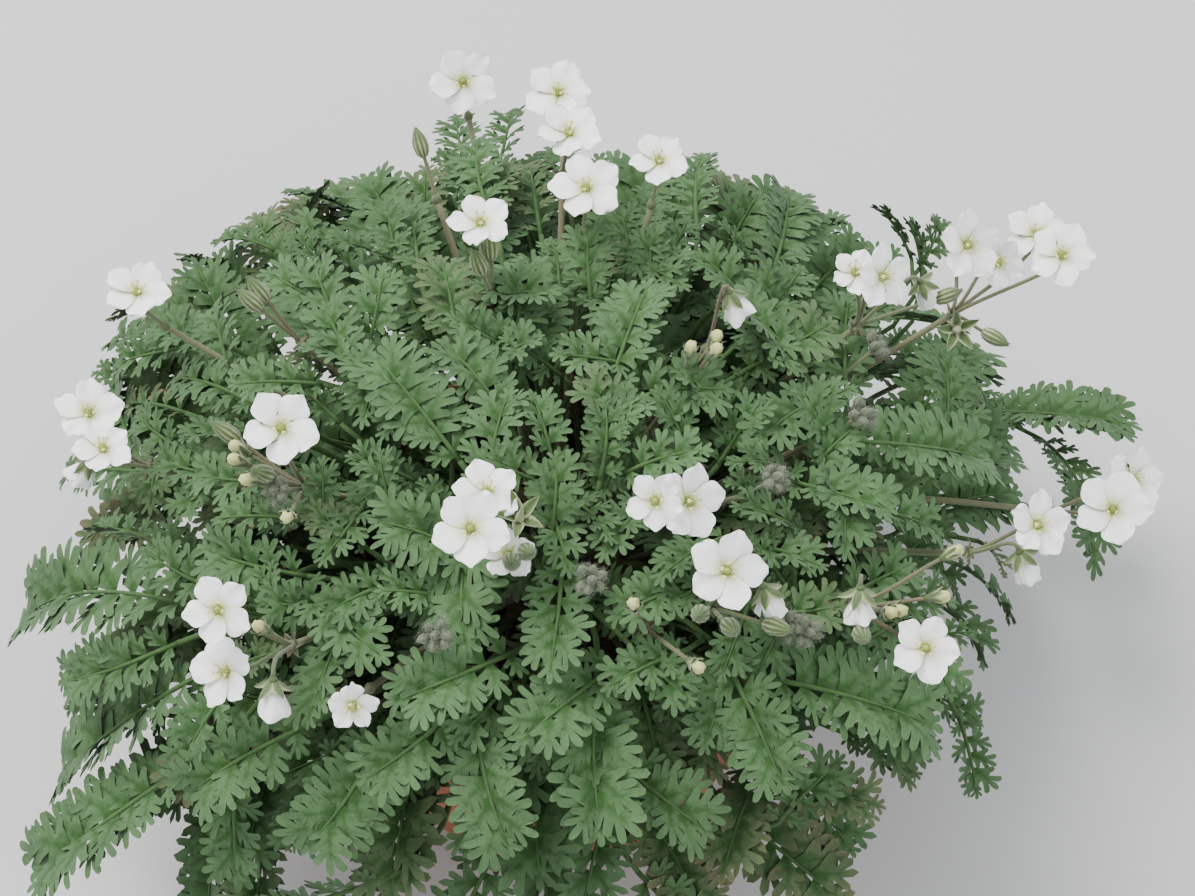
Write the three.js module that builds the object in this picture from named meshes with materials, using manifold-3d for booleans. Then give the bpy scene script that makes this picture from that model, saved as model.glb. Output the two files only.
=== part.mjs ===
// Potted Erodium chrysanthum: a cushion of ferny grey-green leaves with white
// five-petalled flowers, in a plain fired-clay half pot.
// Units are millimetres, +Z is up, and the origin is the middle of the pot's
// underside. Every shoot and flower stalk radiates from the woody crown.
import * as THREE from "three";
import { mergeVertices } from "three/addons/utils/BufferGeometryUtils.js";
import Module from "manifold-3d";

// ---- driving dimensions -------------------------------------------------
const POT_HEIGHT = 80;
const POT_BASE_RADIUS = 58;
const POT_BODY_TOP_RADIUS = 75; // outside, just under the rim band
const RIM_RADIUS = 82; // outside of the rolled rim
const RIM_BAND = 17; // height of the rim band
const RIM_INNER_RADIUS = 75.5;
const FLOOR_THICKNESS = 7;
const FLOOR_INNER_RADIUS = 51.5;
const DRAIN_RADIUS = 8.5; // three drainage holes
const DRAIN_CIRCLE = 33;
const SOIL_LEVEL = 68; // at the crown
const SOIL_EDGE_LEVEL = 66.8;
const GAP = 0.3; // between touching pieces
const CROWN_RADIUS = 19;
const CROWN_HALF_HEIGHT = 15;
const CROWN_CENTRE = 74;
const SHOOT_RADII = [2.0, 1.8, 1.6]; // stem of a shoot: crown, middle, tip
const PEDUNCLE_RADII = [1.5, 1.3, 1.1]; // main stalk of an umbel
const NODE_SIZE = [4.4, 1.9]; // length and radius of the swelling where it branches
const PEDICEL_RADIUS = 0.9; // small stalk of one flower or bud
const LEAFSTALK_HALF = 0.9; // half width of a leaf stalk
const BLADE_KEEL = 0.9; // how deep the folded blade is under its midrib
// length and greatest radius of the closed parts of an umbel
const BUD_SIZES = {
  B: [10, 2.6], // striped green bud
  C: [7, 2.1], // cream bud
  Z: [10, 5.0], // furry cluster of young buds
  D: [12, 4.5], // nodding old flower
  K: [9, 4.0], // spent calyx
};

// ---- where the plant's pieces are ---------------------------------------
// Shoots: [crown point, middle of the stem, tip of the stem]
const SHOOTS = [
  [[-18.5, -5.1, 76.7], [-35, -9.4, 81.1], [-51.4, -13.8, 82.4]],
  [[-14, -13.2, 76.3], [-28.3, -25.8, 78.2], [-42.6, -38.3, 77]],
  [[-1.5, -18.7, 78.1], [-2.4, -29.8, 82], [-3.2, -40.9, 83]],
  [[4.7, -18.7, 76.3], [8.2, -32.6, 78.2], [11.6, -46.4, 77]],
  [[12.8, -14.1, 77.5], [22.2, -23.5, 82], [31.5, -32.9, 83.6]],
  [[18.7, -4.7, 76.3], [38.4, -9.7, 79.8], [58.1, -14.7, 80.2]],
  [[16.9, 9.3, 76.3], [38.6, 19.5, 82.6], [60.4, 29.6, 86]],
  [[3.6, 18.9, 76.4], [7.6, 39.6, 80.6], [11.6, 60.3, 81.8]],
  [[-17.6, 7.5, 77.1], [-38.3, 16.4, 82.3], [-59, 25.2, 84.5]],
  [[-13.7, -3.8, 84.6], [-22.8, -5.9, 93.2], [-31.9, -8, 98.7]],
  [[-15.6, -9, 79.9], [-28.2, -18.2, 86.9], [-40.9, -27.5, 90.9]],
  [[-8.8, -16.7, 77.8], [-13.6, -25.9, 82.9], [-18.3, -35.1, 85.1]],
  [[0.2, -15.8, 83.1], [3, -23.7, 91.4], [5.8, -31.6, 96.8]],
  [[15.4, 1, 83.5], [27.1, 2.5, 91.6], [38.8, 4, 96.6]],
  [[12.4, 13.4, 79.5], [23.9, 25.8, 86], [35.4, 38.2, 89.6]],
  [[-3.8, 18.1, 79], [-8.2, 39.4, 87.4], [-12.6, 60.7, 92.8]],
  [[-12.2, 14.2, 78.3], [-25.2, 29.4, 84.4], [-38.3, 44.6, 87.5]],
  [[-14.9, 6.4, 82.6], [-23.3, 7.6, 90.2], [-31.7, 8.8, 94.7]],
  [[-7.4, -9.6, 86.1], [-14.2, -16.2, 95.2], [-20.9, -22.7, 101.3]],
  [[11.5, -8, 84.8], [17, -11.7, 92.6], [22.4, -15.4, 97.4]],
  [[8.6, 6.4, 86.9], [14.6, 10.2, 97.8], [20.6, 13.9, 105.8]],
  [[4.8, 13.4, 84.6], [7.8, 22.2, 93.6], [10.7, 30.9, 99.6]],
  [[-7.7, 12.6, 84.1], [-11.4, 21.1, 94.4], [-15.2, 29.6, 101.7]],
  [[-8.5, -0.2, 88], [-16.8, 0.1, 102.2], [-25, 0.4, 113.5]],
  [[-4, -4.6, 88.7], [-4.9, -9.8, 99], [-5.8, -14.9, 106.2]],
  [[3, -2.8, 89.1], [8.2, -6.6, 105.2], [13.5, -10.5, 118.3]],
  [[0.3, 2.5, 89.4], [-1.6, 7.8, 106.2], [-3.6, 13.1, 120]],
];
// Leaves: [shoot, share of the stem's length where the leaf stalk leaves it,
// blade base xyz, blade tip xyz, upper-side normal xyz, width, arch]
const LEAVES = [
  [0, 0.4, -97.1, -51.7, 123.7, -160.3, -26.5, 82.7, -0.57, -0.12, 0.81, 27.9, 6.6],
  [0, 0.6, -110.1, -24, 113.5, -137.7, -7.1, 99.1, -0.23, 0.39, 0.89, 13.1, 3.4],
  [0, 0.92, -76.2, -19.6, 87, -110.6, -20, 103.8, 0.53, -0.05, 0.84, 18.6, 3.7],
  [1, 0.58, -99.1, -87.4, 96.4, -143.9, -101.2, 63.8, -0.51, -0.27, 0.82, 26.4, 5.2],
  [1, 0.42, -84.2, -90.8, 102.5, -83.1, -113.6, 82.8, -0.21, -0.64, 0.74, 17.1, 1.7],
  [1, 0.5, -77.7, -59.3, 92.6, -99.7, -96, 95.1, 0.2, -0.05, 0.98, 21.1, 4.3],
  [2, 0.55, -17.8, -92.1, 127.5, -8.5, -122.9, 111.3, -0.22, -0.5, 0.84, 20.6, 2.6],
  [2, 0.66, -15.3, -95.6, 111.5, -21, -118, 103.1, 0.48, -0.41, 0.78, 14, 1.3],
  [2, 0.77, -12.5, -95.2, 81.9, -36, -135.1, 61, 0.06, -0.49, 0.87, 20.6, 3.4],
  [3, 0.55, 16.9, -84.3, 87, 7, -125.2, 73.3, 0.23, -0.17, 0.96, 19.1, 5.5],
  [3, 0.77, 20, -82.8, 87, 45.9, -125.1, 65.3, -0.08, -0.4, 0.91, 20.7, 3.1],
  [4, 0.39, 56.4, -80.6, 129.8, 104.2, -86.6, 114.9, 0.25, -0.3, 0.92, 23.9, 3.4],
  [4, 0.44, 96.3, -53.4, 119, 107.7, -77.7, 115.8, 0.23, -0.02, 0.97, 14.5, 2.8],
  [4, 0.68, 62.7, -93.7, 101.8, 89.3, -99.3, 97.2, 0.11, -0.26, 0.96, 15.7, 1.5],
  [5, 0.7, 123.2, -11.7, 101.8, 127.9, -30.7, 109, 0.55, 0.41, 0.73, 7.4, 2],
  [5, 0.41, 101, -52.3, 109.4, 117.7, -51, 110.3, -0.06, 0.07, 1, 9.5, 0.7],
  [5, 0.48, 104.4, 5.3, 83.5, 138.5, -11.3, 65.8, 0.48, 0.05, 0.88, 10.1, 5.5],
  [6, 0.83, 90.9, 67, 86.2, 142.6, 61.9, 93, -0.06, 0.56, 0.83, 22.4, 4.3],
  [6, 0.73, 107, 31.7, 80.5, 148.9, 52.2, 79.3, 0.18, -0.32, 0.93, 22.6, 2.4],
  [6, 0.44, 96.5, 86.2, 82.6, 142, 98.9, 65.8, 0.35, -0.01, 0.94, 19.4, 3.5],
  [6, 0.78, 103.9, 27.8, 98.6, 134.6, 69.9, 101.3, 0.09, -0.13, 0.99, 24.2, 6.7],
  [6, 0.93, 95.5, 61.1, 77.6, 142.3, 55, 67.3, 0.23, 0.17, 0.96, 19.1, 4.6],
  [7, 0.47, 40.4, 94.6, 101.3, 47.8, 133.3, 120.2, -0.15, -0.41, 0.9, 18.4, 3.8],
  [7, 0.6, 8.6, 95.8, 106.3, 14.9, 132.4, 127.8, -0.21, -0.47, 0.86, 19.1, 3.1],
  [7, 0.98, 16.5, 105.8, 83.9, 44.7, 142.8, 106.7, -0.58, -0.06, 0.81, 21.8, 3],
  [7, 0.53, 28.3, 100, 112.2, 29.5, 134.4, 123.6, 0.33, -0.31, 0.89, 15, 3.8],
  [7, 0.92, 23.5, 110.8, 84.6, 25.2, 162, 52.8, 0.03, 0.53, 0.85, 21.6, 4],
  [8, 0.55, -111.9, 52.2, 116.6, -142.8, 72.7, 102, -0.39, 0.07, 0.92, 14.8, 2.9],
  [8, 0.48, -109, 47.6, 122.3, -136.1, 51.2, 110.6, -0.41, -0.34, 0.85, 14.5, 2.2],
  [8, 0.98, -125.9, 55.8, 95.7, -146.2, 60.9, 97.4, 0.08, 0, 1, 11.5, 1.4],
  [8, 0.45, -109.6, 26.8, 115, -134.5, 42.8, 101.5, -0.4, 0.15, 0.91, 12, 2],
  [8, 0.7, -91.1, 55.7, 96.5, -115.4, 91, 119.5, 0.32, -0.35, 0.88, 21.8, 3.5],
  [8, 0.73, -98.4, 54.8, 93.9, -128.3, 63.9, 108.9, 0.39, -0.22, 0.9, 13.4, 4.6],
  [8, 0.94, -96.6, 47, 88.5, -137.1, 67.4, 91.4, -0.08, -0.29, 0.95, 19.2, 3.4],
  [8, 0.59, -99.9, 65.3, 81.1, -127.5, 98.2, 89.4, -0.05, -0.28, 0.96, 19, 3.3],
  [9, 0.66, -71.2, -29.7, 147.2, -97.7, -23.8, 144.8, -0.14, -0.24, 0.96, 14.6, 2],
  [9, 0.58, -68, -40, 145.1, -90.1, -40.3, 145.4, 0.01, 0.07, 1, 12.6, 2.4],
  [9, 0.74, -83, -4.3, 140.5, -102.6, -11, 144.7, 0.09, 0.33, 0.94, 12, 0.9],
  [9, 0.98, -84.3, -20.4, 137.1, -107.5, -12.2, 137.3, -0.08, -0.26, 0.96, 13.1, 2.5],
  [9, 0.9, -88.3, -14.5, 141.3, -102.5, -30.1, 138.6, -0.14, -0.04, 0.99, 11.8, 1.6],
  [10, 0.69, -81.6, -75.8, 122.9, -97.1, -96, 105.7, -0.47, -0.33, 0.82, 17.5, 2.8],
  [10, 0.98, -95.2, -68.4, 112.9, -140.3, -72.4, 69.5, -0.69, 0.07, 0.72, 26.8, 3.8],
  [10, 0.86, -100.3, -59.7, 116.9, -135.4, -60.3, 99.3, -0.39, -0.48, 0.79, 17.7, 3],
  [10, 0.92, -85.7, -70.2, 118.4, -69.5, -74.3, 135.4, -0.68, -0.51, 0.52, 4.3, 2.7],
  [10, 0.63, -87.7, -49.8, 126.2, -112.1, -36.9, 130.8, -0.08, -0.46, 0.88, 15.2, 1.7],
  [10, 0.4, -91.3, -38.2, 126.3, -103.1, -48.6, 125.6, -0.04, -0.03, 1, 8.8, 0.7],
  [11, 0.57, -65.6, -89.7, 117.2, -97.4, -104.1, 105.1, -0.05, -0.57, 0.82, 21, 3.7],
  [11, 0.51, -42.1, -90.9, 121.8, -63.8, -115.5, 100.5, 0.02, -0.66, 0.75, 22.2, 2.2],
  [11, 0.46, -23.3, -88.1, 126.7, -47.5, -109.7, 124.4, 0.23, -0.36, 0.9, 18.2, 2.3],
  [12, 0.47, -8.3, -76.8, 136, -40.9, -95.6, 138.7, 0.26, -0.32, 0.91, 19.8, 3.9],
  [12, 0.38, 4, -56.3, 147.7, 0.6, -92.6, 144.8, -0.18, -0.06, 0.98, 17.6, 2.7],
  [12, 0.98, 17.9, -79.2, 132.5, -8.3, -105.8, 134.2, 0.28, -0.22, 0.93, 19.2, 3.9],
  [12, 0.89, 12.8, -82.8, 130, 14.4, -120.6, 113.2, 0.13, -0.4, 0.91, 23.5, 1.7],
  [12, 0.81, 36.3, -76.4, 136.5, 14.1, -92.8, 141.6, 0.33, -0.16, 0.93, 13.7, 1.6],
  [12, 0.94, 21.1, -72.8, 132.8, 38.5, -93.1, 132.9, -0.23, -0.2, 0.95, 11.7, 1.8],
  [12, 0.72, 47.1, -78.8, 132.2, 61, -110.1, 119.4, -0.44, -0.5, 0.74, 20.8, 3],
  [12, 0.68, 1.9, -78.4, 131.3, -4.2, -69.2, 146.4, 0.21, -0.8, 0.56, 7.8, 1.5],
  [13, 0.98, 112.4, 4.6, 126.6, 112.2, 32.9, 139.7, 0.55, -0.35, 0.76, 16.9, 3.4],
  [13, 0.68, 81.1, 5.2, 144.9, 53.1, -26.2, 157.6, 0.36, 0.06, 0.93, 16.5, 3.7],
  [13, 0.38, 66.9, -6.6, 140.7, 83.4, -2.2, 147.1, -0.37, 0.02, 0.93, 7.2, 1.2],
  [13, 0.55, 82.7, -10.4, 143.5, 126, -4.9, 129.7, 0.31, -0.06, 0.95, 23.5, 2.9],
  [13, 0.94, 110.1, 3.4, 119, 120.2, 19.1, 131, 0.17, -0.67, 0.73, 12.5, 1.1],
  [13, 0.6, 81.5, 34.3, 137.4, 101.9, 53.2, 136.3, 0.19, -0.15, 0.97, 12.8, 2.4],
  [14, 0.9, 78.1, 102.6, 114.6, 91.2, 97.9, 127.3, -0.28, 0.77, 0.58, 9, 1.2],
  [14, 0.94, 114.7, 101.5, 107.8, 102.1, 113.9, 121.1, 0.82, 0.43, 0.38, 12.6, 1.6],
  [14, 0.79, 118, 96.3, 103, 112.5, 111.4, 118.2, 0.97, 0.17, 0.19, 12.6, 1.7],
  [14, 0.87, 119.4, 97.1, 108.5, 126, 112.6, 116.9, 0.52, -0.56, 0.64, 7.8, 2.1],
  [14, 0.45, 44.1, 90.2, 103.2, 74.9, 115.5, 125.8, -0.17, -0.53, 0.83, 21.8, 5.9],
  [14, 0.6, 54.4, 70.9, 114.8, 53.3, 115.3, 135.5, 0.58, -0.33, 0.74, 24.2, 5.2],
  [14, 0.53, 54, 102.5, 94.1, 77.4, 132.8, 107.6, -0.43, -0.07, 0.9, 16.7, 4.5],
  [14, 0.64, 88.4, 66.2, 111.4, 131.1, 70.5, 103.7, 0.09, 0.55, 0.83, 20.2, 4.8],
  [15, 0.7, -19.8, 122.1, 125.3, -15.7, 158.5, 124.9, -0.31, 0.04, 0.95, 13.6, 2.2],
  [15, 0.94, -28.5, 119.9, 121.2, -35.1, 159.2, 121.8, -0.06, -0.03, 1, 15, 2.9],
  [15, 0.82, -24, 121.6, 125.1, -41.2, 124.9, 130.7, 0.32, 0.04, 0.95, 10.5, 2],
  [15, 0.42, 3.9, 103.9, 128.8, -3.9, 125.7, 133.3, 0.41, -0.04, 0.91, 11.1, 1.2],
  [15, 0.78, -13.7, 97.4, 92.9, -37.1, 140.2, 111.9, 0.8, 0.18, 0.58, 26, 3.8],
  [15, 0.5, -30.1, 119.4, 82, -32.6, 161.6, 51.7, -0.47, 0.49, 0.73, 21.4, 2.4],
  [15, 0.46, -31, 87.8, 122.7, -29.7, 122.7, 135.9, -0.05, -0.35, 0.93, 16, 4],
  [15, 0.74, -13.6, 85.2, 102.4, -11.3, 134.2, 117.9, -0.09, -0.3, 0.95, 21.1, 3.8],
  [16, 0.48, -67.5, 115.9, 117.2, -88.3, 115.4, 125.4, 0.28, 0.61, 0.75, 12.6, 1.1],
  [16, 0.93, -103.4, 99.6, 100.3, -122.4, 97.6, 112.1, 0.24, 0.82, 0.52, 12.6, 1.4],
  [16, 0.8, -89.4, 94.4, 118.1, -111.1, 103.1, 114.9, -0.05, 0.23, 0.97, 11.8, 2.5],
  [16, 0.61, -63.1, 106.5, 89.4, -99.5, 133.2, 93.2, 0.05, -0.08, 1, 21.5, 3.9],
  [16, 0.66, -87.4, 77.1, 82.3, -109.4, 106, 96.6, -0.23, -0.56, 0.79, 13.3, 2.7],
  [16, 0.71, -71.7, 95.6, 78.6, -105.8, 134.7, 66.8, 0.08, 0.35, 0.93, 22.2, 6],
  [16, 0.98, -82, 86.1, 100.5, -100.2, 120.3, 112.3, -0.05, -0.35, 0.94, 19.5, 4.9],
  [17, 0.5, -58, 27, 150.4, -84, 41.7, 157.9, 0.12, -0.27, 0.96, 17, 3.2],
  [17, 0.71, -96.7, 39.4, 130.2, -122.9, 53.6, 126.7, -0.24, -0.21, 0.95, 14.2, 2.5],
  [17, 0.82, -102.2, 1.8, 124.1, -123, 22, 121.6, -0.46, -0.37, 0.81, 12.6, 1.9],
  [17, 0.87, -108.4, 14.4, 115.6, -110.1, -21.6, 122, -0.04, 0.18, 0.98, 13.5, 3.6],
  [18, 0.84, -52.5, -66.7, 135.3, -61, -97.3, 131.4, -0.49, 0.03, 0.87, 16.7, 1.3],
  [18, 0.93, -65.1, -57.6, 138.7, -39.9, -85, 143.6, -0.2, -0.01, 0.98, 16.7, 2.2],
  [18, 0.66, -38.7, -60.2, 145.8, -58.2, -73.3, 148.3, 0.37, -0.39, 0.85, 12.8, 1.5],
  [18, 0.89, -63.8, -57.6, 143.7, -93.6, -48.2, 145.1, -0.13, -0.55, 0.82, 14.5, 3],
  [18, 0.39, -22.4, -65.2, 141.4, -43.9, -67.9, 150.4, 0.4, -0.32, 0.86, 12.8, 1.4],
  [18, 0.71, -47.5, -49.5, 144.4, -64.7, -46, 154.2, 0.45, -0.21, 0.87, 11.3, 1.5],
  [18, 0.48, -48.5, -35.5, 149.6, -58.9, -60.2, 153.4, 0.04, 0.13, 0.99, 11.9, 1.9],
  [18, 0.52, -40.5, -43.3, 148.1, -44.8, -30.4, 163.1, -0.36, -0.75, 0.55, 11.4, 0.9],
  [19, 0.46, 80.2, -23.7, 144.3, 70.3, -13, 165.7, 0.57, -0.6, 0.56, 10.6, 1.7],
  [19, 0.61, 69.6, -24.7, 141, 83.2, -13.7, 148.7, -0.23, -0.35, 0.91, 5.7, 2.5],
  [19, 0.58, 62.7, -29.4, 147.9, 92.2, -41, 148.3, 0, 0.04, 1, 17.9, 2.2],
  [19, 0.55, 55.3, -63.3, 134.5, 78.7, -68.8, 145, -0.45, -0.45, 0.77, 14, 2.4],
  [19, 0.74, 82.7, -30.4, 139.2, 108, -33.5, 130.9, 0.29, -0.15, 0.95, 14.7, 2],
  [19, 0.86, 77.4, -52.7, 127.7, 99.9, -44, 135.7, -0.14, -0.45, 0.88, 12.2, 2.4],
  [19, 0.95, 66.4, -39, 139.7, 52.6, -41.1, 157.8, 0.8, -0.01, 0.6, 7.2, 1.1],
  [19, 0.98, 65.1, -43.2, 135.6, 45.9, -45.8, 151.4, 0.62, 0.09, 0.78, 8.8, 3],
  [20, 0.51, 72, 6.5, 150.2, 49.3, 21.9, 168.7, 0.54, -0.09, 0.83, 18.1, 2.7],
  [20, 0.71, 55.2, 11.4, 146, 78.6, 22.3, 153.8, -0.13, -0.38, 0.92, 11.8, 2.6],
  [20, 0.98, 50.4, 30.8, 148.6, 65.5, 3.8, 154.3, 0.05, 0.23, 0.97, 8.3, 2],
  [20, 0.58, 27.3, 32.8, 156, 28.1, 52.3, 167.5, -0.18, -0.49, 0.85, 12.4, 0.9],
  [20, 0.68, 28.2, 34.5, 151, 37, 49.2, 164.4, -0.29, -0.55, 0.79, 10.5, 2],
  [20, 0.88, 61.8, 42.9, 148.4, 71.7, 94.3, 146.6, 0.38, -0.04, 0.92, 19.7, 3.5],
  [20, 0.74, 64.3, 55.8, 144, 82.2, 89.3, 142, 0.3, -0.1, 0.95, 15, 2.5],
  [20, 0.81, 70.2, 31.8, 141.6, 57.1, 41.1, 163, 0.61, -0.46, 0.65, 13.4, 1.2],
  [21, 0.49, 27.8, 51, 155.4, 30.1, 76.6, 160.7, 0.07, -0.21, 0.98, 12.1, 2.7],
  [21, 0.44, 21.1, 49.5, 148.2, 17.6, 66.6, 157.8, 0.27, -0.42, 0.86, 8.4, 1.7],
  [21, 0.68, 43, 69.2, 148.5, 45.7, 108.8, 147.5, -0.12, 0.03, 0.99, 14.8, 2.5],
  [21, 0.54, -4.1, 73.3, 144.1, -8.2, 109.5, 142.9, -0.19, 0.01, 0.98, 13.5, 3.2],
  [21, 0.78, 28.9, 87.2, 115.2, 43.3, 118.2, 134, -0.14, -0.46, 0.88, 18.2, 2],
  [21, 0.83, 32.4, 82.5, 119.3, 11.2, 122.4, 136.8, 0.37, -0.2, 0.91, 20.5, 5],
  [22, 0.64, -18.1, 69.8, 152, -23.7, 112.5, 151.3, -0.21, -0.01, 0.98, 16.1, 3.2],
  [22, 0.68, -16.2, 87.3, 142.7, -34.8, 87.9, 153.3, 0.47, 0.35, 0.81, 11.9, 0.9],
  [22, 0.72, -22.8, 64.5, 147.3, -15.9, 91.7, 148.9, -0.11, -0.03, 0.99, 9.2, 2.4],
  [22, 0.43, -37.8, 41.5, 153.8, -43.4, 73.9, 157.6, -0.17, -0.14, 0.97, 14.3, 1.6],
  [22, 0.55, -44.8, 46.5, 155.8, -49.3, 69.7, 164.3, -0.14, -0.36, 0.92, 10.8, 1.3],
  [22, 0.51, -68.5, 66.2, 134.8, -80.9, 78.9, 140.3, -0.01, -0.41, 0.91, 9.9, 0.9],
  [22, 0.85, -24.8, 67.5, 121, -16.4, 107.3, 142.1, 0.14, -0.49, 0.86, 22.8, 3.3],
  [23, 0.77, -51.8, 12.5, 152.6, -46.6, 32.7, 170.9, -0.27, -0.61, 0.75, 15.7, 2.8],
  [23, 0.71, -59.6, 16.8, 152.9, -70, 43.7, 162.2, -0.18, -0.38, 0.91, 15.3, 1.7],
  [23, 0.98, -51.9, -0.4, 155.2, -64, 23.6, 164.9, -0.02, -0.39, 0.92, 15, 2],
  [23, 0.93, -63.1, 2.5, 152.6, -88.2, -2.2, 157.5, 0.2, -0.05, 0.98, 14.9, 1.1],
  [23, 0.87, -44.1, -1.1, 158.6, -69.1, 12.2, 162.7, 0.18, 0.03, 0.98, 13.2, 2.5],
  [23, 0.55, -40.6, -11, 153, -56, 4.4, 165.3, 0.37, -0.32, 0.87, 14.2, 2.4],
  [23, 0.82, -59.4, -8.1, 146.3, -75.2, 4.8, 153.6, 0.31, -0.15, 0.94, 12, 1.2],
  [24, 0.55, -23.7, -29.3, 156.7, -48.3, -1.5, 170.5, 0.1, -0.37, 0.92, 21.7, 2.2],
  [24, 0.43, -10.3, -17.9, 156.6, -30.3, 1.2, 172.3, 0.4, -0.3, 0.87, 18.1, 1.6],
  [24, 0.94, -16.6, -38.8, 154.2, -10.3, -12.2, 168.8, -0.38, -0.38, 0.85, 17.2, 2],
  [24, 0.6, 3, -35, 156, -3.6, -15.7, 167.9, 0.33, -0.41, 0.85, 13.2, 2.5],
  [24, 0.68, 3.1, -38.3, 155.3, -19.1, -37.3, 170.1, 0.52, -0.32, 0.8, 14.1, 2.4],
  [24, 0.85, 0.3, -52.2, 149.6, 2.3, -37.1, 169.7, 0.11, -0.8, 0.59, 14, 2.2],
  [24, 0.89, -14.6, -57.7, 146.8, -46.2, -51.2, 159.2, 0.28, -0.36, 0.89, 19.6, 2.5],
  [24, 0.72, -24.3, -46.6, 146.3, -33.3, -39.4, 161.4, 0.46, -0.66, 0.59, 10.2, 1.3],
  [25, 0.54, 15.8, -7.8, 159.3, 28.1, 24.2, 172.8, -0.26, -0.29, 0.92, 19.5, 3.6],
  [25, 0.44, 21.9, 2.3, 154.5, -0.1, -3.9, 166, 0.47, -0.02, 0.88, 9.9, 1.5],
  [25, 0.49, 13.6, -35.2, 155.6, 15, -17, 169.2, 0.29, -0.59, 0.75, 12.9, 1.8],
  [25, 0.59, 11.1, -25.6, 155.4, 27.1, -13.7, 165.4, -0.32, -0.33, 0.89, 12.7, 2.4],
  [25, 0.98, 19.7, -22.9, 151, 4.5, -9.1, 165.9, 0.33, -0.5, 0.8, 12.2, 2.3],
  [25, 0.68, 47.8, -18.1, 154.2, 33.8, -9.5, 171.2, 0.72, -0.16, 0.68, 10.9, 2.1],
  [25, 0.73, 20.3, -8.7, 155.3, 44.6, -9, 159.6, -0.17, -0.37, 0.92, 7.3, 2.2],
  [25, 0.83, 19.3, -30.7, 152.2, 42.9, -33.5, 166.5, -0.53, -0.21, 0.82, 14.2, 2.8],
  [26, 0.68, 10.6, 25.8, 160.7, 9.8, 43.8, 174.3, -0.23, -0.59, 0.77, 9.9, 2.1],
  [26, 0.98, 2, 27.6, 156.6, -19.4, 28.8, 168.9, 0.5, 0, 0.87, 8.3, 1.7],
  [26, 0.83, -20.5, 28.5, 150.4, -1.7, 20.4, 162.7, -0.53, 0.06, 0.85, 6.3, 2.8],
  [26, 0.59, -8.2, 5.9, 161.5, -7.4, 34.2, 174.4, 0, -0.42, 0.91, 16.5, 2.2],
  [26, 0.49, -25.1, 10.9, 156.8, -31.5, 39.2, 169.4, 0.27, -0.34, 0.9, 16.7, 1.7],
  [26, 0.54, 14.4, 38.1, 156.5, 29, -5.2, 161.8, -0.13, 0.08, 0.99, 14.7, 3.7],
  [26, 0.73, -12, 9.5, 159.1, -31.8, 10.6, 175.9, 0.59, -0.36, 0.72, 13.7, 2.8],
  [26, 0.64, -5.2, 52, 148.7, -7.4, 10, 150.5, 0.08, 0.04, 1, 10.9, 2.3],
];
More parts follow.
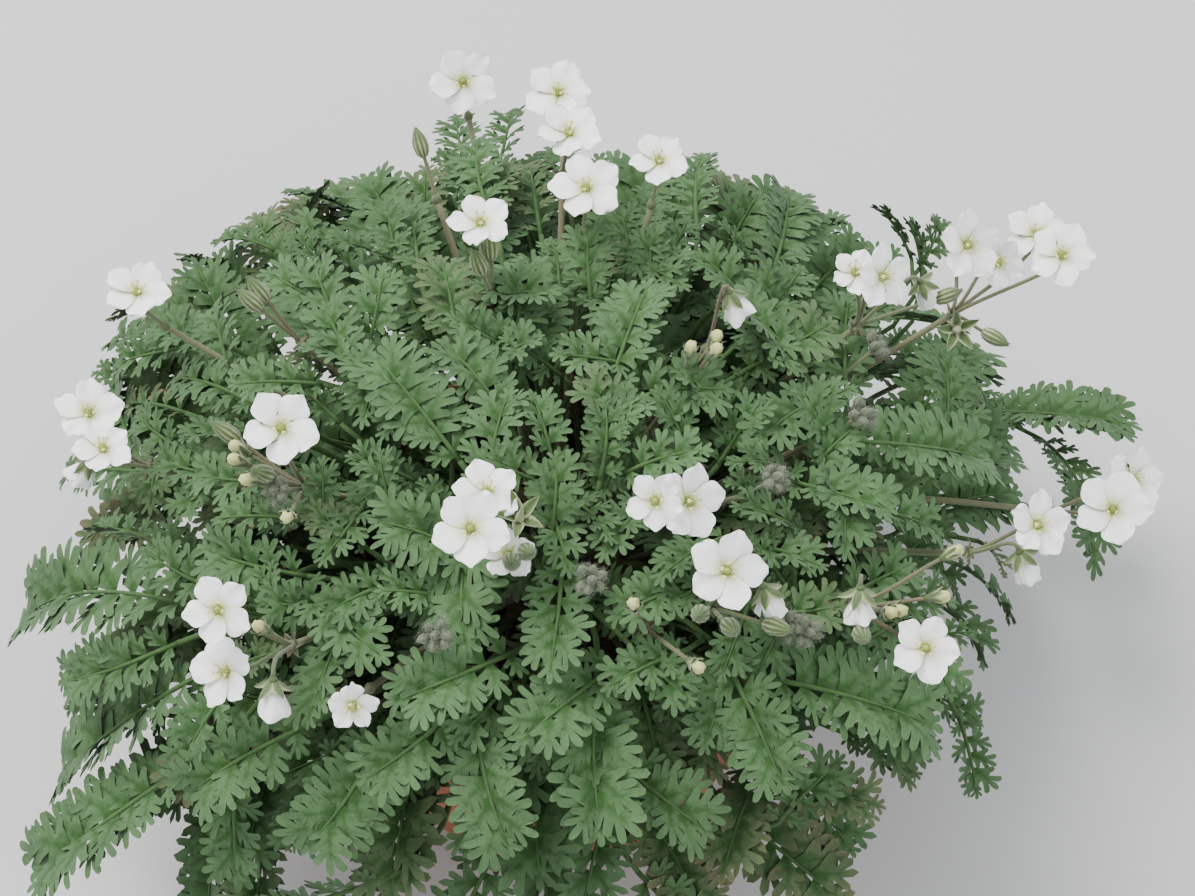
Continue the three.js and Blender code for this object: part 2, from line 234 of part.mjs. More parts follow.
// Umbels: [crown point, middle, branching point, [closed parts], [open flowers]]
// a closed part is [kind, centre xyz, direction xyz]; an open flower is
// [centre xyz, facing xyz, diameter]
const UMBELS = [
  [[-2.9, 15, 83.6], [-16.5, 73.8, 123.1], [-27.7, 121.9, 150],
    [],
    [[[-29, 124.4, 162.3], [0.061, -0.666, 0.743], 20.9]]],
  [[0.2, 11.7, 86.4], [1.5, 48.1, 132.3], [2.6, 77.9, 164.4],
    [],
    [[[1.2, 100.8, 177.2], [0.016, -0.424, 0.905], 20.1], [[4.8, 71.1, 186.7], [0.011, -0.246, 0.969], 19.2]]],
  [[0.1, 7.1, 88.4], [5, 28.4, 136.3], [9, 45.9, 170.1],
    [],
    [[[9.8, 46.5, 186.9], [0.005, -0.397, 0.918], 19.8]]],
  [[4.4, 9, 87.3], [17.7, 36.6, 135], [28.6, 59.2, 168.5],
    [],
    [[[30.5, 61, 184.7], [-0.025, -0.343, 0.939], 17.3]]],
  [[-4, 4.2, 88.8], [-10.4, 14, 133.3], [-15.6, 22, 164.3],
    [["B", [-16.6, 29.1, 180.6], [-0.059, 0.402, 0.914]], ["B", [-19.7, 22.3, 180.5], [-0.244, 0.019, 0.97]]],
    [[[-18.7, 25.4, 193.1], [0.046, -0.265, 0.963], 17]]],
  [[-4.4, 9.8, 86.9], [-21.2, 45.9, 128.1], [-35, 75.5, 156.3],
    [["B", [-39.8, 85.7, 169.7], [-0.274, 0.581, 0.766]]],
    []],
  [[-14.3, 1.5, 84.5], [-67.5, 16.6, 123.1], [-111, 29, 149.3],
    [],
    [[[-116.8, 29.5, 163.5], [0.172, -0.176, 0.969], 18.3]]],
  [[-17.3, -1.6, 81.1], [-68.8, -8.5, 114.6], [-111, -14.1, 136.6],
    [["D", [-128.3, -17, 139.1], [-0.424, -0.07, -0.903]]],
    [[[-124.9, -11.6, 157.1], [0.212, -0.301, 0.93], 18.2], [[-119.9, -21.9, 154.4], [0.196, -0.195, 0.961], 15.9]]],
  [[-9.3, -5, 87], [-39.5, -20, 123.9], [-64.2, -32.2, 148.6],
    [["B", [-85.1, -25.8, 164.3], [-0.778, 0.238, 0.582]], ["B", [-73.8, -41.3, 165.5], [-0.449, -0.424, 0.786]], ["C", [-81.1, -30.6, 162.9], [-0.761, 0.072, 0.645]], ["C", [-81, -34.3, 162.2], [-0.773, -0.094, 0.627]], ["C", [-77.4, -40.8, 162.1], [-0.636, -0.414, 0.652]], ["C", [-66.3, -53.1, 162.3], [-0.084, -0.835, 0.544]], ["Z", [-70.9, -42.9, 160.6], [-0.384, -0.615, 0.689]]],
    [[[-68.1, -36.4, 177.7], [0.143, -0.484, 0.863], 19.5]]],
  [[13.1, 6, 84.4], [53.6, 18.7, 122.5], [86.7, 29.1, 148.2],
    [["D", [107.1, 37.8, 155.1], [0.409, 0.175, -0.896]], ["B", [114.7, 41, 150], [0.918, 0.392, 0.06]]],
    [[[92.4, 23.2, 174.1], [0.452, -0.648, 0.613], 17.7], [[84.4, 26.2, 173.9], [-0.103, -0.273, 0.957], 13.7]]],
  [[16.9, 5.4, 80.5], [72.1, 26.3, 116.1], [117.2, 43.4, 139.7],
    [["K", [115, 23.5, 153.2], [-0.093, -0.824, 0.558]], ["B", [128.9, 33.7, 139.8], [0.769, -0.639, 0.004]]],
    [[[120.9, 51, 160.5], [0.399, -0.676, 0.62], 20.3], [[143.8, 67.6, 150.5], [-0.18, -0.348, 0.92], 19.7], [[146.4, 45.2, 162.3], [-0.203, -0.482, 0.852], 19], [[132.1, 57.1, 148.1], [0.309, -0.696, 0.649], 16.2]]],
  [[5.3, 3.3, 88.7], [25.9, 6.1, 131.3], [42.8, 8.4, 160.7],
    [["D", [49.7, 9.8, 177.1], [0.284, 0.058, -0.957]]],
    []],
  [[7.3, -0.9, 88.4], [22.4, -3.1, 128.7], [34.7, -4.9, 156.3],
    [["C", [37.6, -7.4, 176.4], [0.141, -0.122, 0.983]], ["C", [44.2, -2.9, 175.7], [0.436, 0.09, 0.895]], ["C", [44, -7.2, 175.5], [0.434, -0.109, 0.894]]],
    []],
  [[11.1, 1.8, 86.6], [48.9, 6.9, 121.9], [79.9, 11, 145.4],
    [["Z", [91.7, 12.6, 158.1], [0.675, 0.092, 0.732]]],
    []],
  [[12.5, -3, 85.7], [46.2, -8.6, 122.3], [73.8, -13.1, 146.8],
    [["Z", [85, -15, 160.1], [0.64, -0.112, 0.76]]],
    []],
  [[19.2, 2.2, 76.3], [91, 15.9, 87.7], [152.3, 19.7, 78.7],
    [],
    [[[169.1, 12.6, 88.1], [-0.224, -0.36, 0.906], 24.3], [[179.7, 28.2, 83.2], [0.354, -0.615, 0.705], 20.8]]],
  [[16.2, -4.5, 81.9], [69.9, -23.1, 111], [113.8, -38.4, 129.3],
    [["D", [127.7, -46.3, 133.7], [0.385, -0.218, -0.897]]],
    [[[130.1, -43.4, 147], [0.252, -0.621, 0.742], 17.5]]],
  [[14.6, -9.7, 80.8], [50, -38.1, 113.5], [78.9, -61.3, 134.8],
    [["D", [79.5, -73.7, 151.7], [0.02, -0.386, -0.922]], ["B", [79.8, -80.5, 148], [0.039, -0.822, 0.568]], ["C", [87.3, -72.1, 146.7], [0.463, -0.596, 0.655]], ["C", [89.8, -71, 146], [0.591, -0.526, 0.612]], ["C", [106.2, -51.3, 145], [0.886, 0.325, 0.331]], ["C", [101.4, -64.3, 142.9], [0.933, -0.125, 0.337]]],
    [[[95.2, -86.1, 150.1], [0.019, -0.596, 0.802], 17.5]]],
  [[3.4, -7.4, 88.1], [16.4, -31.4, 130.4], [27.1, -51, 159.6],
    [],
    [[[27.2, -62.1, 178.6], [-0.027, -0.65, 0.759], 14.7], [[36.6, -59.6, 175.4], [0.502, -0.562, 0.657], 19.5]]],
  [[6.9, -10.3, 85.9], [26, -42.2, 121], [41.6, -68.3, 144.2],
    [["B", [38.5, -81.4, 157.9], [-0.161, -0.681, 0.714]], ["B", [46.2, -83.8, 155.4], [0.236, -0.788, 0.568]], ["B", [57.9, -82.4, 153.9], [0.69, -0.596, 0.41]], ["D", [56.2, -76.6, 157.4], [0.383, -0.217, -0.898]]],
    [[[45.1, -77.8, 170.5], [0.211, -0.611, 0.763], 20.4]]],
  [[7.9, -5.6, 87.5], [31.9, -22.2, 124.7], [51.5, -35.8, 149.7],
    [["Z", [59.8, -41.5, 164.1], [0.473, -0.323, 0.82]]],
    []],
  [[1.9, -11.8, 86.2], [6.4, -39, 121.4], [10, -61.2, 144.8],
    [["Z", [11.6, -71.5, 159], [0.092, -0.583, 0.807]]],
    []],
  [[-1.3, -8.4, 87.9], [-5.5, -34, 126], [-8.9, -54.9, 151.7],
    [["K", [-6.4, -60.6, 171.4], [0.12, -0.274, 0.954]], ["B", [-4.6, -68.2, 166.2], [0.212, -0.662, 0.719]], ["B", [-8.4, -70.6, 165.1], [0.027, -0.76, 0.65]]],
    [[[-18.2, -71, 178.9], [0.059, -0.508, 0.859], 19], [[-14.8, -54.8, 174.4], [0.045, -0.171, 0.984], 17.4], [[-9.6, -65.1, 161.9], [0.038, -0.214, 0.976], 13.8]]],
  [[-3.2, -12.5, 85.6], [-14.6, -45.2, 118.1], [-23.9, -72, 139.2],
    [["Z", [-27.7, -83.3, 151.8], [-0.218, -0.651, 0.727]]],
    []],
  [[-11.4, -11.1, 82.9], [-41.2, -46.5, 115.8], [-65.5, -75.4, 137.3],
    [["D", [-68, -95.7, 142.6], [-0.055, -0.437, -0.898]], ["C", [-71.8, -79.1, 149.2], [-0.448, -0.268, 0.853]]],
    [[[-80.7, -84.1, 163.1], [-0.073, -0.609, 0.79], 16.8], [[-81, -90.4, 145.9], [-0.467, -0.52, 0.716], 18]]],
  [[-7.2, -14.4, 82.7], [-28, -54.4, 114.1], [-45, -87.1, 134.4],
    [],
    [[[-47.6, -100.2, 144.3], [0.1, -0.888, 0.448], 12.6]]],
  [[10.3, -12.7, 82.5], [34.7, -42.5, 114.3], [54.6, -66.8, 134.8],
    [["Z", [66.9, -78.9, 147.2], [0.578, -0.57, 0.584]], ["Z", [61.7, -78.6, 148.9], [0.36, -0.598, 0.716]]],
    []],
  [[5.4, -14.6, 83.3], [16.2, -45.9, 117.2], [25, -71.5, 139.4],
    [["C", [22.1, -78.9, 158.3], [-0.141, -0.359, 0.923]], ["C", [37.3, -91, 149.7], [0.485, -0.773, 0.409]]],
    []],
  [[-10.4, 4.2, 86.7], [-43.3, 12.5, 125.4], [-70.2, 19.3, 151.7],
    [["B", [-81.6, 24.3, 168.1], [-0.554, 0.244, 0.796]], ["B", [-83.6, 21.1, 167.3], [-0.648, 0.087, 0.757]]],
    []],
];

// ---- geometry helpers ---------------------------------------------------
const wasm = await Module();
wasm.setup();

const vec = (a) => new THREE.Vector3(a[0], a[1], a[2]);
const between = (a, b, t) => new THREE.Vector3().lerpVectors(a, b, t);
const along = (p, d, k) => p.clone().addScaledVector(d, k);
const without = (v, d) => v.clone().addScaledVector(d, -v.dot(d)).normalize();

// A closed mesh as a solid that can be joined and cut.
function solid(geometry) {
  const bare = new THREE.BufferGeometry();
  bare.setAttribute("position", geometry.getAttribute("position"));
  if (geometry.index) bare.setIndex(geometry.index);
  const g = mergeVertices(bare, 1e-4);
  const triVerts = new Uint32Array(g.index.array);
  const make = () =>
    new wasm.Manifold(
      new wasm.Mesh({
        numProp: 3,
        vertProperties: new Float32Array(g.attributes.position.array),
        triVerts,
      }),
    );
  const made = make();
  if (made.volume() > 0) return made;
  for (let i = 0; i < triVerts.length; i += 3)
    [triVerts[i + 1], triVerts[i + 2]] = [triVerts[i + 2], triVerts[i + 1]];
  return make();
}

function geometryOf(body) {
  const m = body.getMesh();
  const n = m.numProp;
  const position = new Float32Array(m.numVert * 3);
  for (let i = 0; i < m.numVert; i++)
    position.set(m.vertProperties.subarray(i * n, i * n + 3), i * 3);
  const g = new THREE.BufferGeometry();
  g.setAttribute("position", new THREE.BufferAttribute(position, 3));
  g.setIndex(new THREE.BufferAttribute(new Uint32Array(m.triVerts), 1));
  g.computeVertexNormals();
  return g;
}

// The closed skin over a row of rings that all have the same number of points.
function loft(rings) {
  const n = rings[0].length;
  const position = [];
  for (const ring of rings) for (const p of ring) position.push(p.x, p.y, p.z);
  const index = [];
  for (let i = 0; i + 1 < rings.length; i++)
    for (let j = 0; j < n; j++) {
      const a = i * n + j;
      const b = i * n + ((j + 1) % n);
      index.push(a, b, b + n, a, b + n, a + n);
    }
  const o = (rings.length - 1) * n;
  for (let j = 1; j + 1 < n; j++) index.push(0, j + 1, j, o, o + j, o + j + 1);
  const g = new THREE.BufferGeometry();
  g.setAttribute("position", new THREE.Float32BufferAttribute(position, 3));
  g.setIndex(index);
  return g;
}

// A stalk through the given points, as a prism that turns with them.
function stalk(points, radii, sides) {
  const rings = points.map((p, i) => {
    const d = new THREE.Vector3();
    if (i > 0) d.add(p.clone().sub(points[i - 1]).normalize());
    if (i + 1 < points.length) d.add(points[i + 1].clone().sub(p).normalize());
    d.normalize();
    let ref = new THREE.Vector3(0.31, 0.17, 0.94);
    if (Math.abs(d.dot(ref.clone().normalize())) > 0.93)
      ref = new THREE.Vector3(0.9, 0.3, 0.1);
    const u = without(ref, d);
    const v = d.clone().cross(u);
    const ring = [];
    for (let j = 0; j < sides; j++) {
      const a = (2 * Math.PI * j) / sides;
      ring.push(
        along(along(p, u, Math.cos(a) * radii[i]), v, Math.sin(a) * radii[i]),
      );
    }
    return ring;
  });
  // each ring starts at the corner nearest to the last ring's first corner
  for (let i = 1; i < rings.length; i++) {
    let best = 0;
    let least = Infinity;
    for (let s = 0; s < sides; s++) {
      let sum = 0;
      for (let j = 0; j < sides; j++)
        sum += rings[i][(j + s) % sides].distanceToSquared(rings[i - 1][j]);
      if (sum < least) [least, best] = [sum, s];
    }
    rings[i] = rings[i].map((_, j, all) => all[(j + best) % sides]);
  }
  return loft(rings);
}

// A three-cornered section of a leaf: two edges, and the keel under the midrib.
function section(p, side, upper, halfWidth, keel) {
  return [
    along(along(p, side, -halfWidth), upper, keel * 0.35),
    along(p, upper, -keel),
    along(along(p, side, halfWidth), upper, keel * 0.35),
  ];
}

// One leaf: its stalk from the shoot's stem, and the blade's arched outline.
function leaf(from, base, tip, normal, width, arch) {
  const d = tip.clone().sub(base).normalize();
  const side = d.clone().cross(normal).normalize();
  const upper = side.clone().cross(d);
  const e = base.clone().sub(from).normalize();
  const side0 = without(side, e);
  const m = e.clone().add(d);
  if (m.length() > 0.2) m.normalize();
  else m.copy(d);
  const side1 = without(side, m);
  const keel = BLADE_KEEL;
  const rings = [
    section(from, side0, side0.clone().cross(e), LEAFSTALK_HALF, keel),
    section(base, side1, side1.clone().cross(m), 1.0, keel),
  ];
  const at = (k, lift) => along(between(base, tip, k), upper, lift * arch);
  if (tip.distanceTo(base) > 27) {
    rings.push(section(at(0.38, 0.85), side, upper, width * 0.5, keel));
    rings.push(section(at(0.72, 0.8), side, upper, width * 0.42, keel));
  } else rings.push(section(at(0.5, 1), side, upper, width * 0.5, keel));
  rings.push(section(tip, side, upper, Math.max(width * 0.12, 0.9), 0.6));
  return loft(rings);
}

// A point on the bent stem of a shoot, at a share of its length.
function onStem([a, b, c], share) {
  const first = a.distanceTo(b);
  const second = b.distanceTo(c);
  const x = share * (first + second);
  return x < first
    ? between(a, b, x / first)
    : between(b, c, Math.min((x - first) / second, 1));
}

// The swelling where the small stalks of an umbel part.
function branching(centre, direction) {
  const [length, radius] = NODE_SIZE;
  const d = direction.clone().normalize();
  const steep = new THREE.Vector3(0.31, 0.17, 0.94);
  const ref =
    Math.abs(d.dot(steep.clone().normalize())) < 0.93
      ? steep
      : new THREE.Vector3(0.9, 0.3, 0.1);
  const u = without(ref, d);
  const v = d.clone().cross(u);
  const points = [];
  for (let j = 0; j < 4; j++) {
    const a = (Math.PI * j) / 2;
    points.push(
      along(along(centre, u, Math.cos(a) * radius), v, Math.sin(a) * radius),
    );
  }
  points.push(along(centre, d, -length / 2), along(centre, d, length / 2));
  const index = [];
  for (let j = 0; j < 4; j++) {
    const k = (j + 1) % 4;
    index.push(j, k, 5, k, j, 4);
  }
  const g = new THREE.BufferGeometry();
  g.setAttribute(
    "position",
    new THREE.Float32BufferAttribute(
      points.flatMap((p) => [p.x, p.y, p.z]),
      3,
    ),
  );
  g.setIndex(index);
  return g;
}

const joined = (pieces) => {
  let whole = solid(pieces[0]);
  for (const g of pieces.slice(1)) whole = whole.add(solid(g));
  return geometryOf(whole);
};

// ---- the pieces ---------------------------------------------------------
const group = new THREE.Group();
group.name = "potted_erodium";

function add(name, geometry, color, roughness) {
  const mesh = new THREE.Mesh(
    geometry,
    new THREE.MeshStandardMaterial({ color, roughness, metalness: 0 }),
  );
  mesh.name = name;
  group.add(mesh);
  return mesh;
}

const lathe = (profile, segments) => {
  const g = new THREE.LatheGeometry(
    profile.map(([r, z]) => new THREE.Vector2(r, z)),
    segments,
  );
  g.rotateX(Math.PI / 2);
  return g;
};

// pot: tapered wall, rolled rim band, flat floor with three drainage holes
{
  const bandFoot = POT_HEIGHT - RIM_BAND;
  const profile = [
    [0, 0],
    [POT_BASE_RADIUS - 1.2, 0],
    [POT_BASE_RADIUS, 1.2],
    [POT_BODY_TOP_RADIUS, bandFoot - 2],
    [RIM_RADIUS - 1.5, bandFoot],
    [RIM_RADIUS, bandFoot + 3],
    [RIM_RADIUS, POT_HEIGHT - 3],
    [RIM_RADIUS - 1.6, POT_HEIGHT - 0.6],
    [RIM_RADIUS - 3.6, POT_HEIGHT],
    [RIM_INNER_RADIUS + 1, POT_HEIGHT - 1],
    [RIM_INNER_RADIUS, POT_HEIGHT - 3],
    [FLOOR_INNER_RADIUS, FLOOR_THICKNESS],
    [0, FLOOR_THICKNESS],
  ];
  let body = solid(lathe(profile, 36));
  for (let i = 0; i < 3; i++) {
    const a = Math.PI / 2 + (i * 2 * Math.PI) / 3;
    const hole = new THREE.CylinderGeometry(
      DRAIN_RADIUS,
      DRAIN_RADIUS,
      FLOOR_THICKNESS * 3,
      16,
    );
    hole.rotateX(Math.PI / 2);
    hole.translate(
      Math.cos(a) * DRAIN_CIRCLE,
      Math.sin(a) * DRAIN_CIRCLE,
      FLOOR_THICKNESS / 2,
    );
    body = body.subtract(solid(hole));
  }
  add("pot", geometryOf(body), 0xb5714f, 0.9);
}

// soil: fills the pot to under the rim, a little higher at the crown
{
  const top = POT_HEIGHT - 3;
  const wall = (z) =>
    FLOOR_INNER_RADIUS +
    ((RIM_INNER_RADIUS - FLOOR_INNER_RADIUS) * (z - FLOOR_THICKNESS)) /
      (top - FLOOR_THICKNESS);
  const low = FLOOR_THICKNESS + GAP;
  add(
    "soil",
    lathe(
      [
        [0, low],
        [wall(low) - 2 * GAP, low],
        [wall(SOIL_EDGE_LEVEL) - 2 * GAP, SOIL_EDGE_LEVEL],
        [CROWN_RADIUS + 8, SOIL_LEVEL],
        [0, SOIL_LEVEL],
      ],
      40,
    ),
    0x3b2c22,
    1,
  );
}

// crown: the woody rootstock, a low dome that stands on the soil
{
  const foot = SOIL_LEVEL + GAP;
  const start = Math.asin((foot - CROWN_CENTRE) / CROWN_HALF_HEIGHT);
  const profile = [[0, foot]];
  for (let i = 0; i <= 7; i++) {
    const a = start + ((Math.PI / 2 - start) * i) / 7;
    profile.push([
      i === 7 ? 0 : Math.cos(a) * CROWN_RADIUS,
      CROWN_CENTRE + Math.sin(a) * CROWN_HALF_HEIGHT,
    ]);
  }
  add("crown", lathe(profile, 20), 0x6b5039, 0.95);
}

// leafy shoots
SHOOTS.forEach((points, i) => {
  const stem = points.map(vec);
  const [a, b, c] = stem;
  const e = c.clone().sub(b).normalize();
  const pieces = [stalk([a, b, along(c, e, 1.2)], SHOOT_RADII, 4)];
  for (const row of LEAVES) {
    if (row[0] !== i) continue;
    pieces.push(
      leaf(
        onStem(stem, row[1]),
        vec(row.slice(2, 5)),
        vec(row.slice(5, 8)),
        vec(row.slice(8, 11)),
        row[11],
        row[12],
      ),
    );
  }
  const name = "leaf_rosette_" + String(i + 1).padStart(2, "0");
  add(name, joined(pieces), 0x6f8f6c, 0.75);
});

// flower stalks
UMBELS.forEach(([crownPoint, middle, node, closed, open], i) => {
  const a = vec(crownPoint);
  const b = vec(middle);
  const c = vec(node);
  const thin = PEDICEL_RADIUS;
  const e = c.clone().sub(b).normalize();
  const pieces = [stalk([a, b, c], PEDUNCLE_RADII, 4), branching(c, e)];
  const towards = (p) => along(c, p.clone().sub(c).normalize(), 1.3);
  // small stalk and what it carries, as one tapering body
  for (const [kind, centre, direction] of closed) {
    const [length, radius] = BUD_SIZES[kind];
    const p = vec(centre);
    const d = vec(direction);
    const at = (k) => along(p, d, k * length);
    pieces.push(
      kind === "D"
        ? stalk(
            [
              towards(p),
              at(-0.62).add(new THREE.Vector3(0, 0, 1.5)),
              at(-0.45),
              p,
              at(0.5),
            ],
            [thin, thin, 1.1, radius, radius * 0.5],
            3,
          )
        : stalk(
            [towards(p), at(-0.5), p, at(0.5)],
            [thin, thin, radius * 1.1, radius * 0.3],
            3,
          ),
    );
  }
  for (const [centre, facing, diameter] of open) {
    const p = vec(centre);
    const n = vec(facing);
    const neck = along(p, n, -6);
    pieces.push(
      stalk(
        [towards(neck), neck, along(p, n, -1.8), along(p, n, 0.06 * diameter)],
        [thin, thin, 1.1, diameter / 2],
        5,
      ),
    );
  }
  const name = "umbel_" + String(i + 1).padStart(2, "0");
  add(name, joined(pieces), open.length ? 0xf3f4ec : 0x8f9a6a, 0.6);
});

export default group;
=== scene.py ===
# Potted Erodium chrysanthum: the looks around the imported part.
# All plant tables are in millimetres in the part's frame: origin in the middle
# of the pot's underside, +Z up, -Y towards the front.
import bpy
import math
import numpy as np
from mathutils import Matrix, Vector
from mathutils.geometry import delaunay_2d_cdt


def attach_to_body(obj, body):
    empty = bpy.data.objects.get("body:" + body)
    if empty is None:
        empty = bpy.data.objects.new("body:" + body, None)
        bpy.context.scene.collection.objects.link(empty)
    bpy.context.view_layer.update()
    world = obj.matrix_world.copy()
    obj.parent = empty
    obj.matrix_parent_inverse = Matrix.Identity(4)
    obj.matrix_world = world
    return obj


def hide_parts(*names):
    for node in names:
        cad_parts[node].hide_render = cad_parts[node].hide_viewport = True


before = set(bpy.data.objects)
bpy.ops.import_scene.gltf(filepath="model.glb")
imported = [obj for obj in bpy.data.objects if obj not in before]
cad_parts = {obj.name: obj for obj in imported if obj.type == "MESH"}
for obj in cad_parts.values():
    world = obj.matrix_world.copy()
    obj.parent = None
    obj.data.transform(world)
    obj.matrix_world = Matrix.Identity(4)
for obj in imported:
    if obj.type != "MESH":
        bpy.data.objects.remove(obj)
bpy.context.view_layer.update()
MM = 0.001

# ------------------------------------------------------------------ camera
cam_data = bpy.data.cameras.new("camera")
cam_data.lens = 64
cam_data.sensor_width = 36
cam_data.sensor_fit = "HORIZONTAL"
cam_data.clip_start = 0.02
cam_data.clip_end = 20
camera = bpy.data.objects.new("camera", cam_data)
camera.location = (0.0130034, -0.4044667, 0.5784779)
camera.rotation_euler = (math.radians(42), 0, 0)
bpy.context.scene.collection.objects.link(camera)
bpy.context.scene.camera = camera

# ------------------------------------------------------------------ tables
# shoots: crown point, middle, tip of the stem
STEMS = [
    ((-18.5, -5.1, 76.7), (-35, -9.4, 81.1), (-51.4, -13.8, 82.4)),
    ((-14, -13.2, 76.3), (-28.3, -25.8, 78.2), (-42.6, -38.3, 77)),
    ((-1.5, -18.7, 78.1), (-2.4, -29.8, 82), (-3.2, -40.9, 83)),
    ((4.7, -18.7, 76.3), (8.2, -32.6, 78.2), (11.6, -46.4, 77)),
    ((12.8, -14.1, 77.5), (22.2, -23.5, 82), (31.5, -32.9, 83.6)),
    ((18.7, -4.7, 76.3), (38.4, -9.7, 79.8), (58.1, -14.7, 80.2)),
    ((16.9, 9.3, 76.3), (38.6, 19.5, 82.6), (60.4, 29.6, 86)),
    ((3.6, 18.9, 76.4), (7.6, 39.6, 80.6), (11.6, 60.3, 81.8)),
    ((-17.6, 7.5, 77.1), (-38.3, 16.4, 82.3), (-59, 25.2, 84.5)),
    ((-13.7, -3.8, 84.6), (-22.8, -5.9, 93.2), (-31.9, -8, 98.7)),
    ((-15.6, -9, 79.9), (-28.2, -18.2, 86.9), (-40.9, -27.5, 90.9)),
    ((-8.8, -16.7, 77.8), (-13.6, -25.9, 82.9), (-18.3, -35.1, 85.1)),
    ((0.2, -15.8, 83.1), (3, -23.7, 91.4), (5.8, -31.6, 96.8)),
    ((15.4, 1, 83.5), (27.1, 2.5, 91.6), (38.8, 4, 96.6)),
    ((12.4, 13.4, 79.5), (23.9, 25.8, 86), (35.4, 38.2, 89.6)),
    ((-3.8, 18.1, 79), (-8.2, 39.4, 87.4), (-12.6, 60.7, 92.8)),
    ((-12.2, 14.2, 78.3), (-25.2, 29.4, 84.4), (-38.3, 44.6, 87.5)),
    ((-14.9, 6.4, 82.6), (-23.3, 7.6, 90.2), (-31.7, 8.8, 94.7)),
    ((-7.4, -9.6, 86.1), (-14.2, -16.2, 95.2), (-20.9, -22.7, 101.3)),
    ((11.5, -8, 84.8), (17, -11.7, 92.6), (22.4, -15.4, 97.4)),
    ((8.6, 6.4, 86.9), (14.6, 10.2, 97.8), (20.6, 13.9, 105.8)),
    ((4.8, 13.4, 84.6), (7.8, 22.2, 93.6), (10.7, 30.9, 99.6)),
    ((-7.7, 12.6, 84.1), (-11.4, 21.1, 94.4), (-15.2, 29.6, 101.7)),
    ((-8.5, -0.2, 88), (-16.8, 0.1, 102.2), (-25, 0.4, 113.5)),
    ((-4, -4.6, 88.7), (-4.9, -9.8, 99), (-5.8, -14.9, 106.2)),
    ((3, -2.8, 89.1), (8.2, -6.6, 105.2), (13.5, -10.5, 118.3)),
    ((0.3, 2.5, 89.4), (-1.6, 7.8, 106.2), (-3.6, 13.1, 120)),
]
